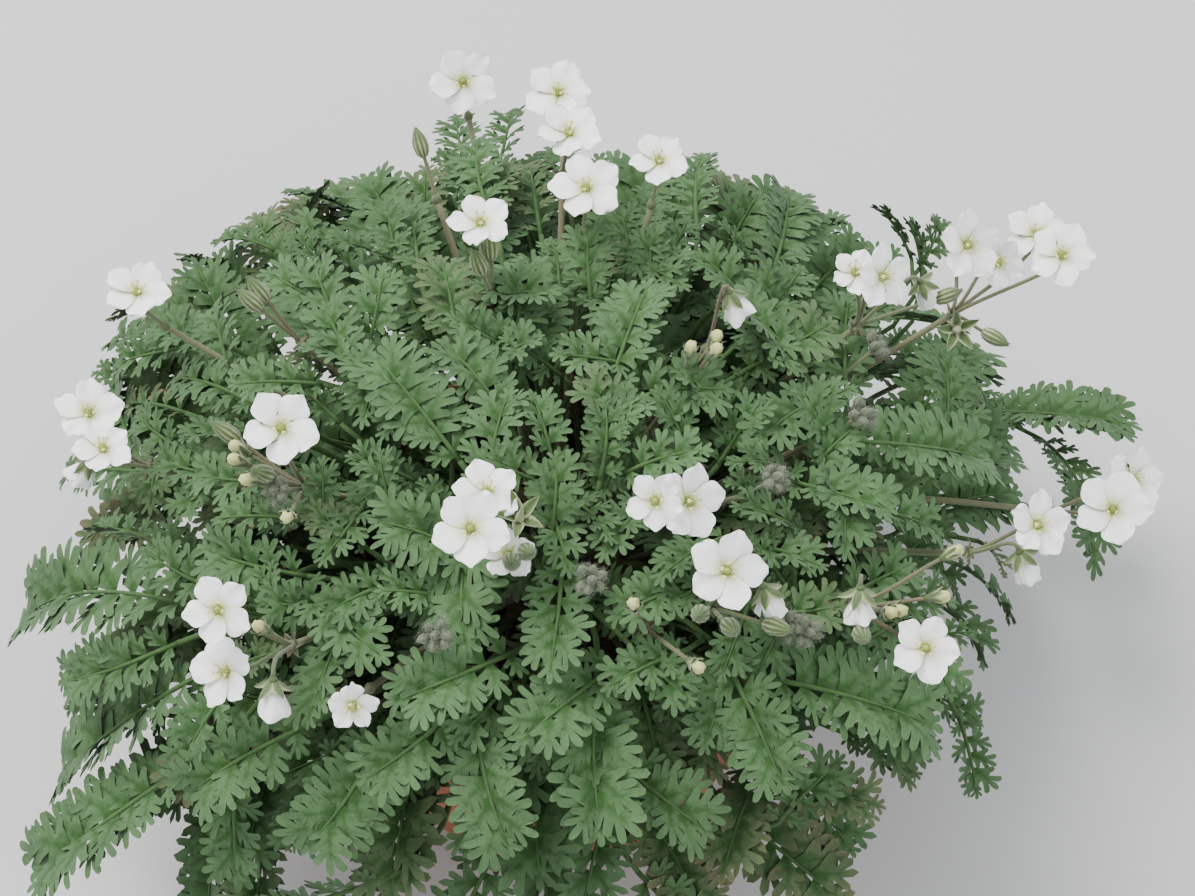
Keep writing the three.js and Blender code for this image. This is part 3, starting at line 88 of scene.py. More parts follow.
# leaves: shoot, share of the stem where the leaf stalk leaves it (-1: nearest),
# blade base, blade tip, upper-side normal, width, arch, layer
LEAVES = [
    (0, 0.4, (-97.1, -51.7, 123.7), (-160.3, -26.5, 82.7), (-0.57, -0.12, 0.81), 27.9, 6.6, ""),
    (0, 0.6, (-110.1, -24, 113.5), (-137.7, -7.1, 99.1), (-0.23, 0.39, 0.89), 13.1, 3.4, "d"),
    (0, 0.92, (-76.2, -19.6, 87), (-110.6, -20, 103.8), (0.53, -0.05, 0.84), 18.6, 3.7, "u"),
    (0, -1, (-83.9, -29.5, 88.7), (-123.4, -37.8, 93.4), (0.07, 0.2, 0.98), 20.3, 4.6, "u"),
    (0, -1, (-110.4, -27.8, 79.6), (-152.5, -26.1, 51.2), (-0.53, -0.35, 0.77), 18.1, 2.5, "u"),
    (0, -1, (-79.6, -12.7, 97.8), (-114.4, 20.2, 107.5), (0.19, -0.09, 0.98), 24.2, 4, "u"),
    (0, -1, (-107.7, -57.1, 79), (-142.5, -47.2, 68.7), (-0.38, -0.58, 0.73), 16.8, 2.5, "u"),
    (0, -1, (-87.5, -24.6, 87), (-135.6, -41.6, 70.7), (-0.2, -0.03, 0.98), 24.7, 4.7, "u"),
    (0, -1, (-90.9, -42.1, 92.7), (-126, -65.3, 90.2), (-0.22, 0.23, 0.95), 17.1, 5, "u"),
    (0, -1, (-92.3, -17.6, 79.2), (-120.9, -1.9, 96.9), (0.45, -0.17, 0.88), 16.4, 4.4, "u"),
    (0, -1, (-55.3, -13.1, 89.5), (-95.7, -14.4, 91.6), (0.15, -0.07, 0.97), 19.7, 2, "u"),
    (0, -1, (-52.9, -2.3, 95.8), (-102.6, -9.1, 99.9), (0.25, 0.01, 0.95), 16.9, 2.2, "b"),
    (1, 0.58, (-99.1, -87.4, 96.4), (-143.9, -101.2, 63.8), (-0.51, -0.27, 0.82), 26.4, 5.2, ""),
    (1, 0.42, (-84.2, -90.8, 102.5), (-83.1, -113.6, 82.8), (-0.21, -0.64, 0.74), 17.1, 1.7, ""),
    (1, -1, (-77.1, -60.4, 78.2), (-84.1, -110.9, 74.2), (0.06, -0.09, 0.99), 22.8, 5.7, "u"),
    (1, 0.5, (-77.7, -59.3, 92.6), (-99.7, -96, 95.1), (0.2, -0.05, 0.98), 21.1, 4.3, "u"),
    (1, -1, (-79.4, -59.7, 78.3), (-129.1, -75.8, 48.1), (-0.5, -0.08, 0.86), 25.9, 6, "u"),
    (1, -1, (-77.4, -76.7, 79.9), (-80.7, -122.4, 52.9), (-0.37, -0.45, 0.81), 20.5, 5.1, "u"),
    (1, -1, (-88.7, -65.7, 80.9), (-96.9, -114.5, 44.9), (-0.59, -0.41, 0.69), 22, 2.5, "u"),
    (1, -1, (-73.4, -62.8, 80.9), (-112.3, -83.8, 73.2), (-0.01, -0.33, 0.94), 18.5, 5.2, "u"),
    (1, -1, (-51.5, -34.7, 90.9), (-78, -53.6, 89.6), (0.12, -0.02, 0.97), 16.4, 2, "u"),
    (1, -1, (-46.3, -43.4, 94.6), (-69, -75.1, 89.7), (0.11, 0, 0.97), 17.2, 2, "u"),
    (1, -1, (-28.8, -54.8, 89.6), (-39, -94.5, 93.5), (0.07, 0.03, 0.97), 18.7, 2, "u"),
    (2, 0.55, (-17.8, -92.1, 127.5), (-8.5, -122.9, 111.3), (-0.22, -0.5, 0.84), 20.6, 2.6, "L"),
    (2, 0.66, (-15.3, -95.6, 111.5), (-21, -118, 103.1), (0.48, -0.41, 0.78), 14, 1.3, "d"),
    (2, 0.77, (-12, -94.6, 80.7), (-35.5, -134.5, 59.8), (0.06, -0.49, 0.87), 20.6, 3.4, "u"),
    (2, -1, (10, -51.8, 98.9), (-12.5, -99.6, 94.6), (0.09, -0.13, 0.99), 24.3, 4.8, "u"),
    (2, -1, (-3.2, -70.5, 87), (-1.8, -121.9, 93.6), (-0.15, 0.13, 0.98), 25.6, 4.6, "u"),
    (2, -1, (-2.4, -88.1, 87), (4.9, -131.6, 41.7), (0.28, -0.62, 0.73), 21.7, 5.5, "u"),
    (2, -1, (-13.8, -55.7, 95.5), (-32.9, -92, 95.8), (0.04, 0.05, 0.97), 18.2, 2, "u"),
    (3, -1, (23.7, -108.2, 80.1), (68, -129.4, 41.7), (0.32, -0.62, 0.71), 22.9, 3.7, "u"),
    (3, 0.55, (16.9, -84.3, 87), (7, -125.2, 73.3), (0.23, -0.17, 0.96), 19.1, 5.5, "u"),
    (3, 0.77, (20, -82.8, 87), (45.9, -125.1, 65.3), (-0.08, -0.4, 0.91), 20.7, 3.1, "u"),
    (3, -1, (20, -62, 96), (25, -99, 94), (0, -0.35, 0.93), 18, 2, "u"),
    (3, -1, (6, -60, 96), (4, -97, 93), (0, -0.3, 0.95), 18, 2, "u"),
    (4, 0.39, (56.4, -80.6, 129.8), (104.2, -86.6, 114.9), (0.25, -0.3, 0.92), 23.9, 3.4, "L"),
    (4, 0.68, (62.7, -93.7, 101.8), (89.3, -99.3, 97.2), (0.11, -0.26, 0.96), 15.7, 1.5, "d"),
    (4, -1, (60.8, -101.4, 93.7), (77.8, -92.2, 111.6), (-0.2, -0.78, 0.59), 14.2, 2.2, "d"),
    (4, 0.44, (96.3, -53.4, 119), (107.7, -77.7, 115.8), (0.23, -0.02, 0.97), 14.5, 2.8, ""),
    (4, -1, (43.2, -55.4, 87), (63.7, -90.1, 107.8), (-0.02, 0.54, 0.84), 19.5, 3, "u"),
    (4, -1, (81.2, -64.6, 86.7), (107.6, -77.1, 92.2), (-0.36, -0.37, 0.86), 15.8, 3.6, "u"),
    (4, -1, (48.2, -56.2, 88.3), (87.8, -65.9, 104.6), (-0.38, 0, 0.92), 19.3, 3.4, "u"),
    (4, -1, (61.3, -75, 85.7), (44.8, -119.3, 91.7), (-0.25, 0.22, 0.94), 20, 5, "u"),
    (4, -1, (47.8, -36.6, 97.3), (65.3, -69, 120.5), (-0.01, 0.58, 0.82), 18.4, 4.5, "u"),
    (4, -1, (83.4, -62.8, 78.3), (104.4, -72.8, 70.1), (0.23, -0.29, 0.93), 15.5, 2.7, "u"),
    (4, -1, (63.3, -74.5, 81.1), (84.5, -96.8, 67.4), (0.05, -0.48, 0.87), 18.4, 4.5, "u"),
    (4, -1, (45.8, -82, 77.3), (82, -110.9, 65.9), (-0.02, -0.39, 0.92), 22.9, 3.2, "u"),
    (4, -1, (55, -39.9, 93), (93.8, -53.6, 116.3), (-0.51, 0.01, 0.86), 22.6, 5.5, "u"),
    (4, -1, (37, -58, 104), (46, -94, 101), (0.1, -0.3, 0.95), 16, 2, "d"),
    (4, -1, (33, -56, 97), (36, -92, 92), (0.1, -0.3, 0.95), 18, 2, "u"),
    (4, -1, (48, -40.5, 93.2), (73.6, -64.9, 91.9), (-0.11, 0, 0.97), 16.6, 2, "u"),
    (4, -1, (40.2, -36.9, 99.1), (75.8, -71.1, 95.5), (-0.18, 0.17, 0.95), 16.7, 2.2, "b"),
    (5, 0.7, (123.2, -11.7, 101.8), (127.9, -30.7, 109), (0.55, 0.41, 0.73), 7.4, 2, "d"),
    (5, 0.41, (101, -52.3, 109.4), (117.7, -51, 110.3), (-0.06, 0.07, 1), 9.5, 0.7, "d"),
    (5, 0.48, (100.2, 4, 79), (123.5, -7.3, 66.9), (0.48, 0.05, 0.88), 15.1, 5.5, "u"),
    (5, -1, (110.2, -15.7, 79.7), (125.5, -39.4, 75.5), (0.6, 0.26, 0.75), 17.5, 4.9, "u"),
    (5, -1, (115.9, -56.4, 77), (120.2, -77, 66.6), (0.41, -0.35, 0.84), 13.4, 2.4, "u"),
    (5, -1, (89.5, -23, 89.9), (116.9, -3.1, 105.2), (-0.3, -0.29, 0.91), 15.3, 3.6, "u"),
    (5, -1, (102.4, -46.8, 77.6), (126, -51.5, 65.2), (0.41, -0.26, 0.88), 13.9, 2.4, "u"),
    (5, -1, (120.9, -0.9, 78.2), (139.2, -12.4, 62.1), (0.73, 0.34, 0.59), 15.3, 3.3, "u"),
    (5, -1, (81.5, -7.4, 91.8), (100, -55.3, 103.1), (-0.35, 0.08, 0.93), 21.6, 4, "u"),
    (5, -1, (53.6, -32.1, 93.4), (73.6, -56.1, 90.5), (-0.13, -0.02, 0.97), 18.1, 2, "u"),
    (5, -1, (51, -21.5, 97.4), (88.3, -51.3, 90), (-0.23, 0.1, 0.95), 19.2, 2.2, "b"),
    (6, -1, (144.2, 86, 52), (191.7, 66.9, 66.3), (-0.19, 0.24, 0.95), 25.4, 2.8, "d"),
    (6, -1, (163.5, 79, 45.6), (168.4, 9.5, 58), (0.29, 0.19, 0.94), 17.6, 7.3, "d"),
    (6, -1, (143.4, 101.9, 49.9), (148.5, 70.1, 55.4), (0.38, 0.22, 0.9), 12, 1.8, "d"),
    (6, -1, (103.2, 10.4, 77.9), (147, 30.1, 74.4), (0.2, -0.27, 0.94), 23.3, 5.7, "b"),
    (6, -1, (107.8, 57.5, 77.6), (151.7, 61.4, 45.9), (0.58, 0.03, 0.81), 20, 3.7, "u"),
    (6, -1, (101.3, 85.1, 80.6), (127, 122.1, 36.2), (0.49, 0.51, 0.71), 18.8, 4.2, "u"),
    (6, 0.83, (90.9, 67, 86.2), (142.6, 61.9, 93), (-0.06, 0.56, 0.83), 22.4, 4.3, "b"),
    (6, -1, (107.5, 32.1, 80.4), (134.2, 28.7, 59.3), (0.62, 0.25, 0.75), 18.8, 5, "u"),
    (6, 0.73, (104.5, 31.4, 79), (146.4, 51.9, 77.8), (0.18, -0.32, 0.93), 22.6, 2.4, "b"),
    (6, -1, (100.2, 78.5, 79.2), (147.2, 79.6, 57.5), (0.41, 0.21, 0.89), 22.1, 3.5, "u"),
    (6, 0.44, (95.8, 86.2, 80.7), (141.3, 98.9, 63.9), (0.35, -0.01, 0.94), 19.4, 3.5, "b"),
    (6, 0.78, (103.7, 28.1, 99.4), (134.4, 70.2, 102.1), (0.09, -0.13, 0.99), 24.2, 6.7, "b"),
    (6, 0.93, (95.5, 61.1, 77.6), (142.3, 55, 67.3), (0.23, 0.17, 0.96), 19.1, 4.6, "b"),
    (7, 0.47, (40.4, 94.6, 101.3), (47.8, 133.3, 120.2), (-0.15, -0.41, 0.9), 18.4, 3.8, "b"),
    (7, -1, (62, 124.3, 78), (59.7, 161.1, 51), (0.31, 0.57, 0.76), 15.9, 2.8, "u"),
    (7, -1, (42.5, 126.8, 77.3), (25.2, 161.6, 72.3), (0.19, 0.23, 0.95), 16.4, 3.3, "b"),
    (7, 0.6, (8.6, 95.8, 106.3), (14.9, 132.4, 127.8), (-0.21, -0.47, 0.86), 19.1, 3.1, "b"),
    (7, 0.98, (16.5, 105.8, 83.9), (44.7, 142.8, 106.7), (-0.58, -0.06, 0.81), 21.8, 3, "b"),
    (7, -1, (-19.3, 124.7, 80.5), (-4.8, 165.2, 45.8), (-0.38, 0.68, 0.63), 19.9, 3.9, "u"),
    (7, 0.53, (28.3, 100, 112.2), (29.5, 134.4, 123.6), (0.33, -0.31, 0.89), 15, 3.8, "b"),
    (7, 0.92, (23.4, 111.8, 80), (25.1, 163, 48.2), (0.03, 0.53, 0.85), 21.6, 4, "b"),
    (7, -1, (15.9, 126.2, 81.8), (2.9, 166.3, 59.4), (0.06, 0.5, 0.86), 17.9, 3.9, "b"),
    (7, -1, (14.3, 102.1, 96.6), (8.9, 153.2, 99), (-0.22, -0.07, 0.97), 24, 5.3, "b"),
    (8, 0.55, (-111.9, 52.2, 116.6), (-142.8, 72.7, 102), (-0.39, 0.07, 0.92), 14.8, 2.9, ""),
    (8, 0.48, (-109, 47.6, 122.3), (-136.1, 51.2, 110.6), (-0.41, -0.34, 0.85), 14.5, 2.2, ""),
    (8, 0.98, (-125.9, 55.8, 95.7), (-146.2, 60.9, 97.4), (0.08, 0, 1), 11.5, 1.4, "d"),
    (8, -1, (-124.4, 85.5, 97.8), (-142.9, 77.5, 104), (-0.21, 0.85, 0.48), 11.8, 2.2, "d"),
    (8, 0.45, (-109.6, 26.8, 115), (-134.5, 42.8, 101.5), (-0.4, 0.15, 0.91), 12, 2, "d"),
    (8, -1, (-117.1, 9.3, 108), (-151.9, 30.2, 89.3), (-0.55, -0.19, 0.81), 16.8, 2.1, "d"),
    (8, -1, (-109.7, 23.3, 79.7), (-152.5, 44.3, 48.1), (-0.59, 0.02, 0.81), 19.4, 4.3, "u"),
    (8, -1, (-89.9, 31.2, 88.6), (-136.4, 51.6, 98.6), (0.02, -0.39, 0.92), 23.7, 2.8, "b"),
    (8, 0.7, (-91.1, 55.7, 96.5), (-115.4, 91, 119.5), (0.32, -0.35, 0.88), 21.8, 3.5, "b"),
    (8, 0.73, (-96.1, 53.5, 99.3), (-129.3, 63.6, 116), (0.39, -0.22, 0.9), 19.1, 4.6, "b"),
    (8, -1, (-107.6, 44.9, 79), (-137.2, 89.8, 73), (-0.76, -0.44, 0.49), 22.7, 3.1, "b"),
    (8, 0.94, (-96.9, 45.8, 92.3), (-137.4, 66.2, 95.2), (-0.08, -0.29, 0.95), 22.6, 3.4, "b"),
    (8, -1, (-104, 45.4, 78.7), (-146.5, 48.5, 71.3), (-0.17, 0.02, 0.98), 17.7, 4.5, "b"),
    (8, -1, (-77.6, 48, 92.4), (-107.7, 54.8, 112.2), (0.5, -0.23, 0.84), 15.6, 3.2, "u"),
    (8, -1, (-101.3, 33.6, 80.7), (-148.7, 12.1, 62.7), (-0.29, -0.15, 0.95), 23.7, 2.8, "b"),
    (8, -1, (-108.4, 53.6, 86.3), (-123.8, 92.8, 108.8), (-0.31, -0.56, 0.77), 20.7, 4, "b"),
    (8, 0.59, (-99.9, 65.3, 81.1), (-127.5, 98.2, 89.4), (-0.05, -0.28, 0.96), 19, 3.3, "b"),
    (8, -1, (-119.7, 15, 90.9), (-138.9, 58.2, 99), (-0.68, -0.41, 0.61), 23.8, 3.6, "b"),
    (8, -1, (-45.7, 27.8, 96), (-83.4, 42.7, 96.1), (0.21, -0.13, 0.95), 16.5, 2.2, "b"),
    (9, 0.74, (-83, -4.3, 140.5), (-102.6, -11, 144.7), (0.09, 0.33, 0.94), 12, 0.9, ""),
    (9, 0.98, (-87.5, -19.9, 138), (-110.7, -11.7, 138.2), (-0.08, -0.26, 0.96), 13.1, 2.5, ""),
    (9, 0.66, (-71.2, -29.7, 147.2), (-97.7, -23.8, 144.8), (-0.14, -0.24, 0.96), 14.6, 2, "L"),
    (9, 0.9, (-87.7, -16.7, 138.6), (-101.9, -32.3, 135.9), (-0.14, -0.04, 0.99), 11.8, 1.6, ""),
    (9, 0.58, (-68, -40, 145.1), (-90.1, -40.3, 145.4), (0.01, 0.07, 1), 12.6, 2.4, "L"),
    (9, -1, (-41.2, -17.9, 125.7), (-80, -35, 134.8), (0.03, 0.41, 0.91), 19.9, 3.5, "u"),
    (9, -1, (-44.8, 3, 109.3), (-82.2, -22.8, 129), (0.18, 0.41, 0.89), 22.2, 6, "u"),
    (9, -1, (-56.7, -12, 107), (-101, -21, 121.8), (0.3, 0.07, 0.95), 23.5, 4.9, "u"),
    (10, 0.98, (-95.2, -68.4, 112.9), (-140.3, -72.4, 69.5), (-0.69, 0.07, 0.72), 26.8, 3.8, ""),
    (10, 0.69, (-81.6, -75.8, 122.9), (-97.1, -96, 105.7), (-0.47, -0.33, 0.82), 17.5, 2.8, "L"),
    (10, 0.86, (-100.3, -59.7, 116.9), (-135.4, -60.3, 99.3), (-0.39, -0.48, 0.79), 17.7, 3, ""),
    (10, 0.92, (-86.8, -71, 115.3), (-67.8, -75.8, 135.4), (-0.68, -0.51, 0.52), 10.2, 2.7, ""),
    (10, 0.63, (-87.7, -49.8, 126.2), (-112.1, -36.9, 130.8), (-0.08, -0.46, 0.88), 15.2, 1.7, ""),
    (10, 0.4, (-91.2, -38.1, 124.3), (-103, -48.5, 123.6), (-0.04, -0.03, 1), 8.8, 0.7, "d"),
    (10, -1, (-75.9, -45.1, 89.5), (-106.4, -60.3, 103.2), (0.38, 0.07, 0.92), 15, 4, "u"),
    (10, -1, (-52.3, -45.6, 94.5), (-67.1, -82.1, 103.3), (-0.3, 0.34, 0.89), 19.7, 5, "u"),
    (10, -1, (-50.1, -51.2, 100.2), (-97, -43.5, 115.8), (0.14, -0.65, 0.74), 22.3, 4.1, "u"),
    (10, -1, (-66.1, -28.6, 100.4), (-103.8, -39, 115.5), (0.28, 0.3, 0.91), 18.9, 2.2, "u"),
    (10, -1, (-59.7, -62.4, 90.4), (-99.1, -66.6, 109.2), (0.42, -0.49, 0.76), 21.1, 4.5, "u"),
    (11, 0.57, (-63.9, -88, 118.1), (-95.7, -102.4, 106), (-0.05, -0.57, 0.82), 21, 3.7, "L"),
    (11, 0.51, (-42.1, -90.9, 121.8), (-63.8, -115.5, 100.5), (0.02, -0.66, 0.75), 22.2, 2.2, "L"),
    (11, -1, (-47.2, -100.6, 97.9), (-57.4, -93.5, 120.4), (0.27, -0.88, 0.4), 12.4, 2.1, "d"),
    (11, -1, (-49.9, -96.5, 108.4), (-41.7, -110.5, 106.9), (-0.12, -0.18, 0.98), 8.4, 1.3, "d"),
    (11, -1, (-61.7, -95.6, 104.2), (-69.2, -109.5, 92.1), (-0.16, -0.6, 0.79), 11.3, 1.1, "d"),
    (11, 0.46, (-23.3, -88.1, 126.7), (-47.5, -109.7, 124.4), (0.23, -0.36, 0.9), 18.2, 2.3, "L"),
    (11, -1, (-27.7, -39.4, 104.6), (-26.6, -89.5, 119.1), (-0.09, 0.27, 0.96), 22.5, 3, "u"),
    (11, -1, (-35.6, -55.4, 85.8), (-11.9, -98.6, 100.8), (-0.45, 0.06, 0.89), 21.7, 2.9, "u"),
    (11, -1, (-36.3, -68.4, 87), (-42.2, -119.2, 78.4), (-0.18, -0.11, 0.98), 25.3, 3.3, "u"),
    (11, -1, (-42.3, -110.3, 80.8), (-85.1, -110.5, 56.8), (-0.14, -0.95, 0.26), 18.3, 3, "u"),
    (11, -1, (-40.5, -68.4, 87.9), (-75.4, -93.6, 100.9), (0.42, -0.13, 0.9), 19.4, 5.6, "u"),
    (12, 0.47, (-8.3, -76.8, 136), (-40.9, -95.6, 138.7), (0.26, -0.32, 0.91), 19.8, 3.9, "L"),
    (12, 0.38, (4, -56.3, 147.7), (0.6, -92.6, 144.8), (-0.18, -0.06, 0.98), 17.6, 2.7, "L"),
    (12, 0.98, (17.9, -79.2, 132.5), (-8.3, -105.8, 134.2), (0.28, -0.22, 0.93), 19.2, 3.9, "L"),
    (12, 0.89, (12.8, -82.8, 130), (14.4, -120.6, 113.2), (0.13, -0.4, 0.91), 23.5, 1.7, "L"),
    (12, -1, (-5.9, -81.5, 125.7), (2.1, -103.5, 117.1), (-0.11, -0.4, 0.91), 13.9, 2.7, "d"),
    (12, -1, (16.2, -93, 112.1), (43.2, -113.7, 105.8), (0, -0.29, 0.96), 19.6, 2.3, "d"),
    (12, 0.68, (2.5, -80.8, 133), (-4.2, -70.6, 149.8), (0.21, -0.8, 0.56), 11.1, 1.5, ""),
    (12, -1, (41.2, -59.2, 143.3), (15.7, -77, 150.6), (0.36, -0.13, 0.93), 15.3, 1.4, "L"),
    (12, 0.81, (36.3, -76.4, 136.5), (14.1, -92.8, 141.6), (0.33, -0.16, 0.93), 13.7, 1.6, "L"),
    (12, 0.94, (20.2, -73.6, 136.6), (37.6, -93.9, 136.7), (-0.23, -0.2, 0.95), 13.8, 1.8, "L"),
    (12, -1, (-8.9, -79.6, 130.1), (-24.3, -101.1, 129.4), (0.49, -0.38, 0.78), 13.8, 2.3, ""),
    (12, 0.72, (47.1, -78.8, 132.2), (61, -110.1, 119.4), (-0.44, -0.5, 0.74), 20.8, 3, "L"),
    (12, -1, (50.1, -70.8, 129.6), (39.2, -99.9, 123.1), (0.22, -0.29, 0.93), 16.8, 2.6, "d"),
    (12, -1, (8, -39.9, 110.7), (30.4, -68, 132.4), (-0.61, 0.12, 0.78), 19.3, 3.9, "u"),
    (12, -1, (7.9, -41.6, 108.8), (-5.1, -75.8, 124.2), (0.17, 0.35, 0.92), 18, 4.9, "u"),
    (12, -1, (23, -66, 112), (29, -99, 107), (0.05, -0.3, 0.95), 17, 2.2, "d"),
    (13, -1, (85, 14.8, 131.8), (87.3, 48.2, 145.2), (-0.07, -0.37, 0.93), 18.9, 4, "d"),
    (13, 0.6, (81.5, 34.3, 137.4), (101.9, 53.2, 136.3), (0.19, -0.15, 0.97), 12.8, 2.4, "d"),
    (13, 0.98, (112.4, 4.6, 126.6), (112.2, 32.9, 139.7), (0.55, -0.35, 0.76), 16.9, 3.4, "L"),
    (13, -1, (110.5, 32.1, 119.3), (126.6, 45.1, 123.3), (-0.01, -0.28, 0.96), 11, 1, ""),
    (13, 0.68, (81.1, 5.2, 144.9), (53.1, -26.2, 157.6), (0.36, 0.06, 0.93), 16.5, 3.7, "L"),
    (13, 0.38, (63.9, -6.4, 148.1), (84.6, -1, 156.2), (-0.37, 0.02, 0.93), 13.1, 1.2, "L"),
    (13, 0.55, (82.7, -10.4, 143.5), (126, -4.9, 129.7), (0.31, -0.06, 0.95), 23.5, 2.9, "L"),
    (13, 0.94, (112.2, 1.8, 118.6), (122.3, 17.5, 130.6), (0.17, -0.67, 0.73), 12.5, 1.1, ""),
    (13, -1, (44.4, 2.2, 120.1), (84.5, 3.5, 136.4), (-0.32, -0.46, 0.83), 18.6, 2.9, "u"),
    (13, -1, (70.4, -0.5, 100.7), (88.1, -37.8, 120.9), (0.37, 0.57, 0.73), 19.9, 2.6, "u"),
    (13, -1, (67.6, 16.5, 95.4), (104.4, 28.6, 114), (-0.48, 0.11, 0.87), 17.5, 2.5, "u"),
    (13, -1, (44.1, 14.5, 116), (89.4, 35.7, 132.5), (-0.25, -0.2, 0.95), 24.2, 6.3, "u"),
    (13, -1, (70.4, -7.5, 92.7), (108.9, 13.8, 109.1), (-0.1, -0.49, 0.87), 20.1, 5.8, "u"),
    (13, -1, (60.3, -8.3, 110.1), (94.8, 1.3, 128.3), (-0.18, -0.69, 0.7), 19.1, 2.7, "u"),
    (13, -1, (99.8, 13.2, 99.1), (142, 21, 100.6), (-0.06, 0.13, 0.99), 18.3, 4.2, "b"),
    (13, -1, (49.4, -1.4, 100.2), (104, 12.2, 95.8), (-0.25, 0.01, 0.95), 16.6, 2.2, "b"),
    (13, -1, (53.6, 8.7, 96.9), (91.7, 5.8, 89.3), (-0.25, -0.04, 0.95), 17.9, 2.2, "b"),
    (13, -1, (49.9, -10.7, 120.7), (93.8, -21.5, 116.3), (-0.24, 0.05, 0.95), 18.3, 2.2, "b"),
    (13, -1, (44.9, 13.2, 119.5), (85.3, 37.5, 113.7), (-0.24, -0.07, 0.95), 16.8, 2.2, "b"),
    (14, 0.9, (78.1, 102.6, 114.6), (91.2, 97.9, 127.3), (-0.28, 0.77, 0.58), 9, 1.2, "d"),
    (14, 0.94, (114.7, 101.5, 107.8), (102.1, 113.9, 121.1), (0.82, 0.43, 0.38), 12.6, 1.6, "d"),
    (14, 0.79, (118, 96.3, 103), (112.5, 111.4, 118.2), (0.97, 0.17, 0.19), 12.6, 1.7, "d"),
    (14, 0.87, (116.8, 98.9, 105.5), (124.1, 116.2, 114.8), (0.52, -0.56, 0.64), 11.2, 2.1, "d"),
    (14, -1, (72.8, 46.1, 98.8), (95.6, 74.8, 118.7), (-0.39, -0.29, 0.87), 17.1, 2.5, "u"),
    (14, 0.45, (44.1, 90.2, 103.2), (74.9, 115.5, 125.8), (-0.17, -0.53, 0.83), 21.8, 5.9, "b"),
    (14, -1, (78.8, 83.6, 89.4), (107.1, 126.3, 90.5), (0.24, -0.18, 0.96), 23.6, 2.8, "b"),
    (14, 0.6, (54.4, 70.9, 114.8), (53.3, 115.3, 135.5), (0.58, -0.33, 0.74), 24.2, 5.2, "b"),
    (14, -1, (51.4, 40.2, 111.9), (92, 60, 128), (-0.42, 0.12, 0.9), 19.5, 4.1, "u"),
    (14, 0.53, (54, 102.5, 94.1), (77.4, 132.8, 107.6), (-0.43, -0.07, 0.9), 16.7, 4.5, "b"),
    (14, -1, (72.7, 66.5, 115.5), (99.8, 94, 123.4), (0.02, -0.29, 0.96), 18.8, 4.7, "b"),
    (14, 0.64, (88.4, 66.2, 111.4), (131.1, 70.5, 103.7), (0.09, 0.55, 0.83), 20.2, 4.8, "b"),
    (14, -1, (81.8, 81, 100.9), (110.4, 98.8, 116.2), (-0.04, -0.62, 0.78), 16.1, 4.2, "b"),
    (14, -1, (67.6, 96.9, 95), (92.4, 123.6, 109.4), (-0.29, -0.23, 0.93), 17, 2, "b"),
    (14, -1, (64.8, 48.8, 118.3), (63, 87, 127.3), (-0.03, -0.23, 0.97), 16.8, 4.5, "u"),
    (14, -1, (64.8, 101.2, 80.2), (72.1, 152, 80.8), (0.08, -0.02, 1), 23.2, 4.7, "b"),
    (14, -1, (72.2, 64.6, 109.7), (72.1, 108.5, 129.7), (0.65, -0.32, 0.69), 19.8, 5.1, "b"),
    (14, -1, (48, 31.5, 99), (79.7, 57.5, 96.3), (-0.21, -0.14, 0.95), 17.8, 2.2, "b"),
    (14, -1, (37.6, 45.4, 100.7), (58, 87.5, 92.5), (-0.16, -0.19, 0.95), 16.9, 2.2, "b"),
    (14, -1, (44.1, 31.9, 120.1), (67.5, 65.1, 117.6), (-0.2, -0.15, 0.95), 17.7, 2.2, "b"),
    (15, 0.7, (-19.8, 122.1, 125.3), (-15.7, 158.5, 124.9), (-0.31, 0.04, 0.95), 13.6, 2.2, "d"),
    (15, 0.94, (-28.5, 119.9, 121.2), (-35.1, 159.2, 121.8), (-0.06, -0.03, 1), 15, 2.9, "d"),
    (15, 0.82, (-24, 121.6, 125.1), (-41.2, 124.9, 130.7), (0.32, 0.04, 0.95), 10.5, 2, "d"),
    (15, 0.42, (3.9, 103.9, 128.8), (-3.9, 125.7, 133.3), (0.41, -0.04, 0.91), 11.1, 1.2, "d"),
    (15, 0.78, (-13.7, 97.4, 92.9), (-37.1, 140.2, 111.9), (0.8, 0.18, 0.58), 26, 3.8, "b"),
    (15, 0.5, (-30.1, 119.4, 82), (-32.6, 161.6, 51.7), (-0.47, 0.49, 0.73), 21.4, 2.4, "b"),
    (15, -1, (-29.6, 111.8, 96.3), (-64.2, 138.9, 106.7), (0.46, 0.26, 0.85), 21.1, 5.2, "b"),
    (15, 0.46, (-31, 87.8, 122.7), (-29.7, 122.7, 135.9), (-0.05, -0.35, 0.93), 16, 4, "b"),
    (15, 0.74, (-15.2, 83.6, 107.5), (-12.9, 132.6, 123), (-0.09, -0.3, 0.95), 24.8, 3.8, "b"),
    (15, -1, (-3.9, 83.2, 121), (-24.3, 117.6, 136.3), (0.24, -0.27, 0.93), 19.8, 3.9, "b"),
    (15, -1, (-6.6, 114.2, 101.6), (-10.7, 150.1, 99.2), (-0.29, 0.03, 0.96), 18.1, 2.4, "b"),
    (15, -1, (-23.7, 114.4, 114.4), (5.6, 138.3, 122.6), (-0.44, 0.24, 0.87), 19.2, 3.4, "b"),
    (15, -1, (-24.7, 124.4, 94.6), (-50.8, 152.6, 95), (0.35, 0.31, 0.88), 16.9, 3.3, "b"),
    (15, -1, (-38.8, 104.2, 90.6), (-81.2, 124.3, 115.8), (0.57, 0.22, 0.79), 25.6, 6.7, "b"),
    (15, -1, (-29.1, 94, 116.5), (-62.6, 120.6, 124.9), (0.41, 0.23, 0.88), 19, 2.7, "b"),
    (15, -1, (-28.4, 117.3, 84.1), (-3.1, 158.4, 86.1), (-0.33, 0.16, 0.93), 22.4, 5.2, "b"),
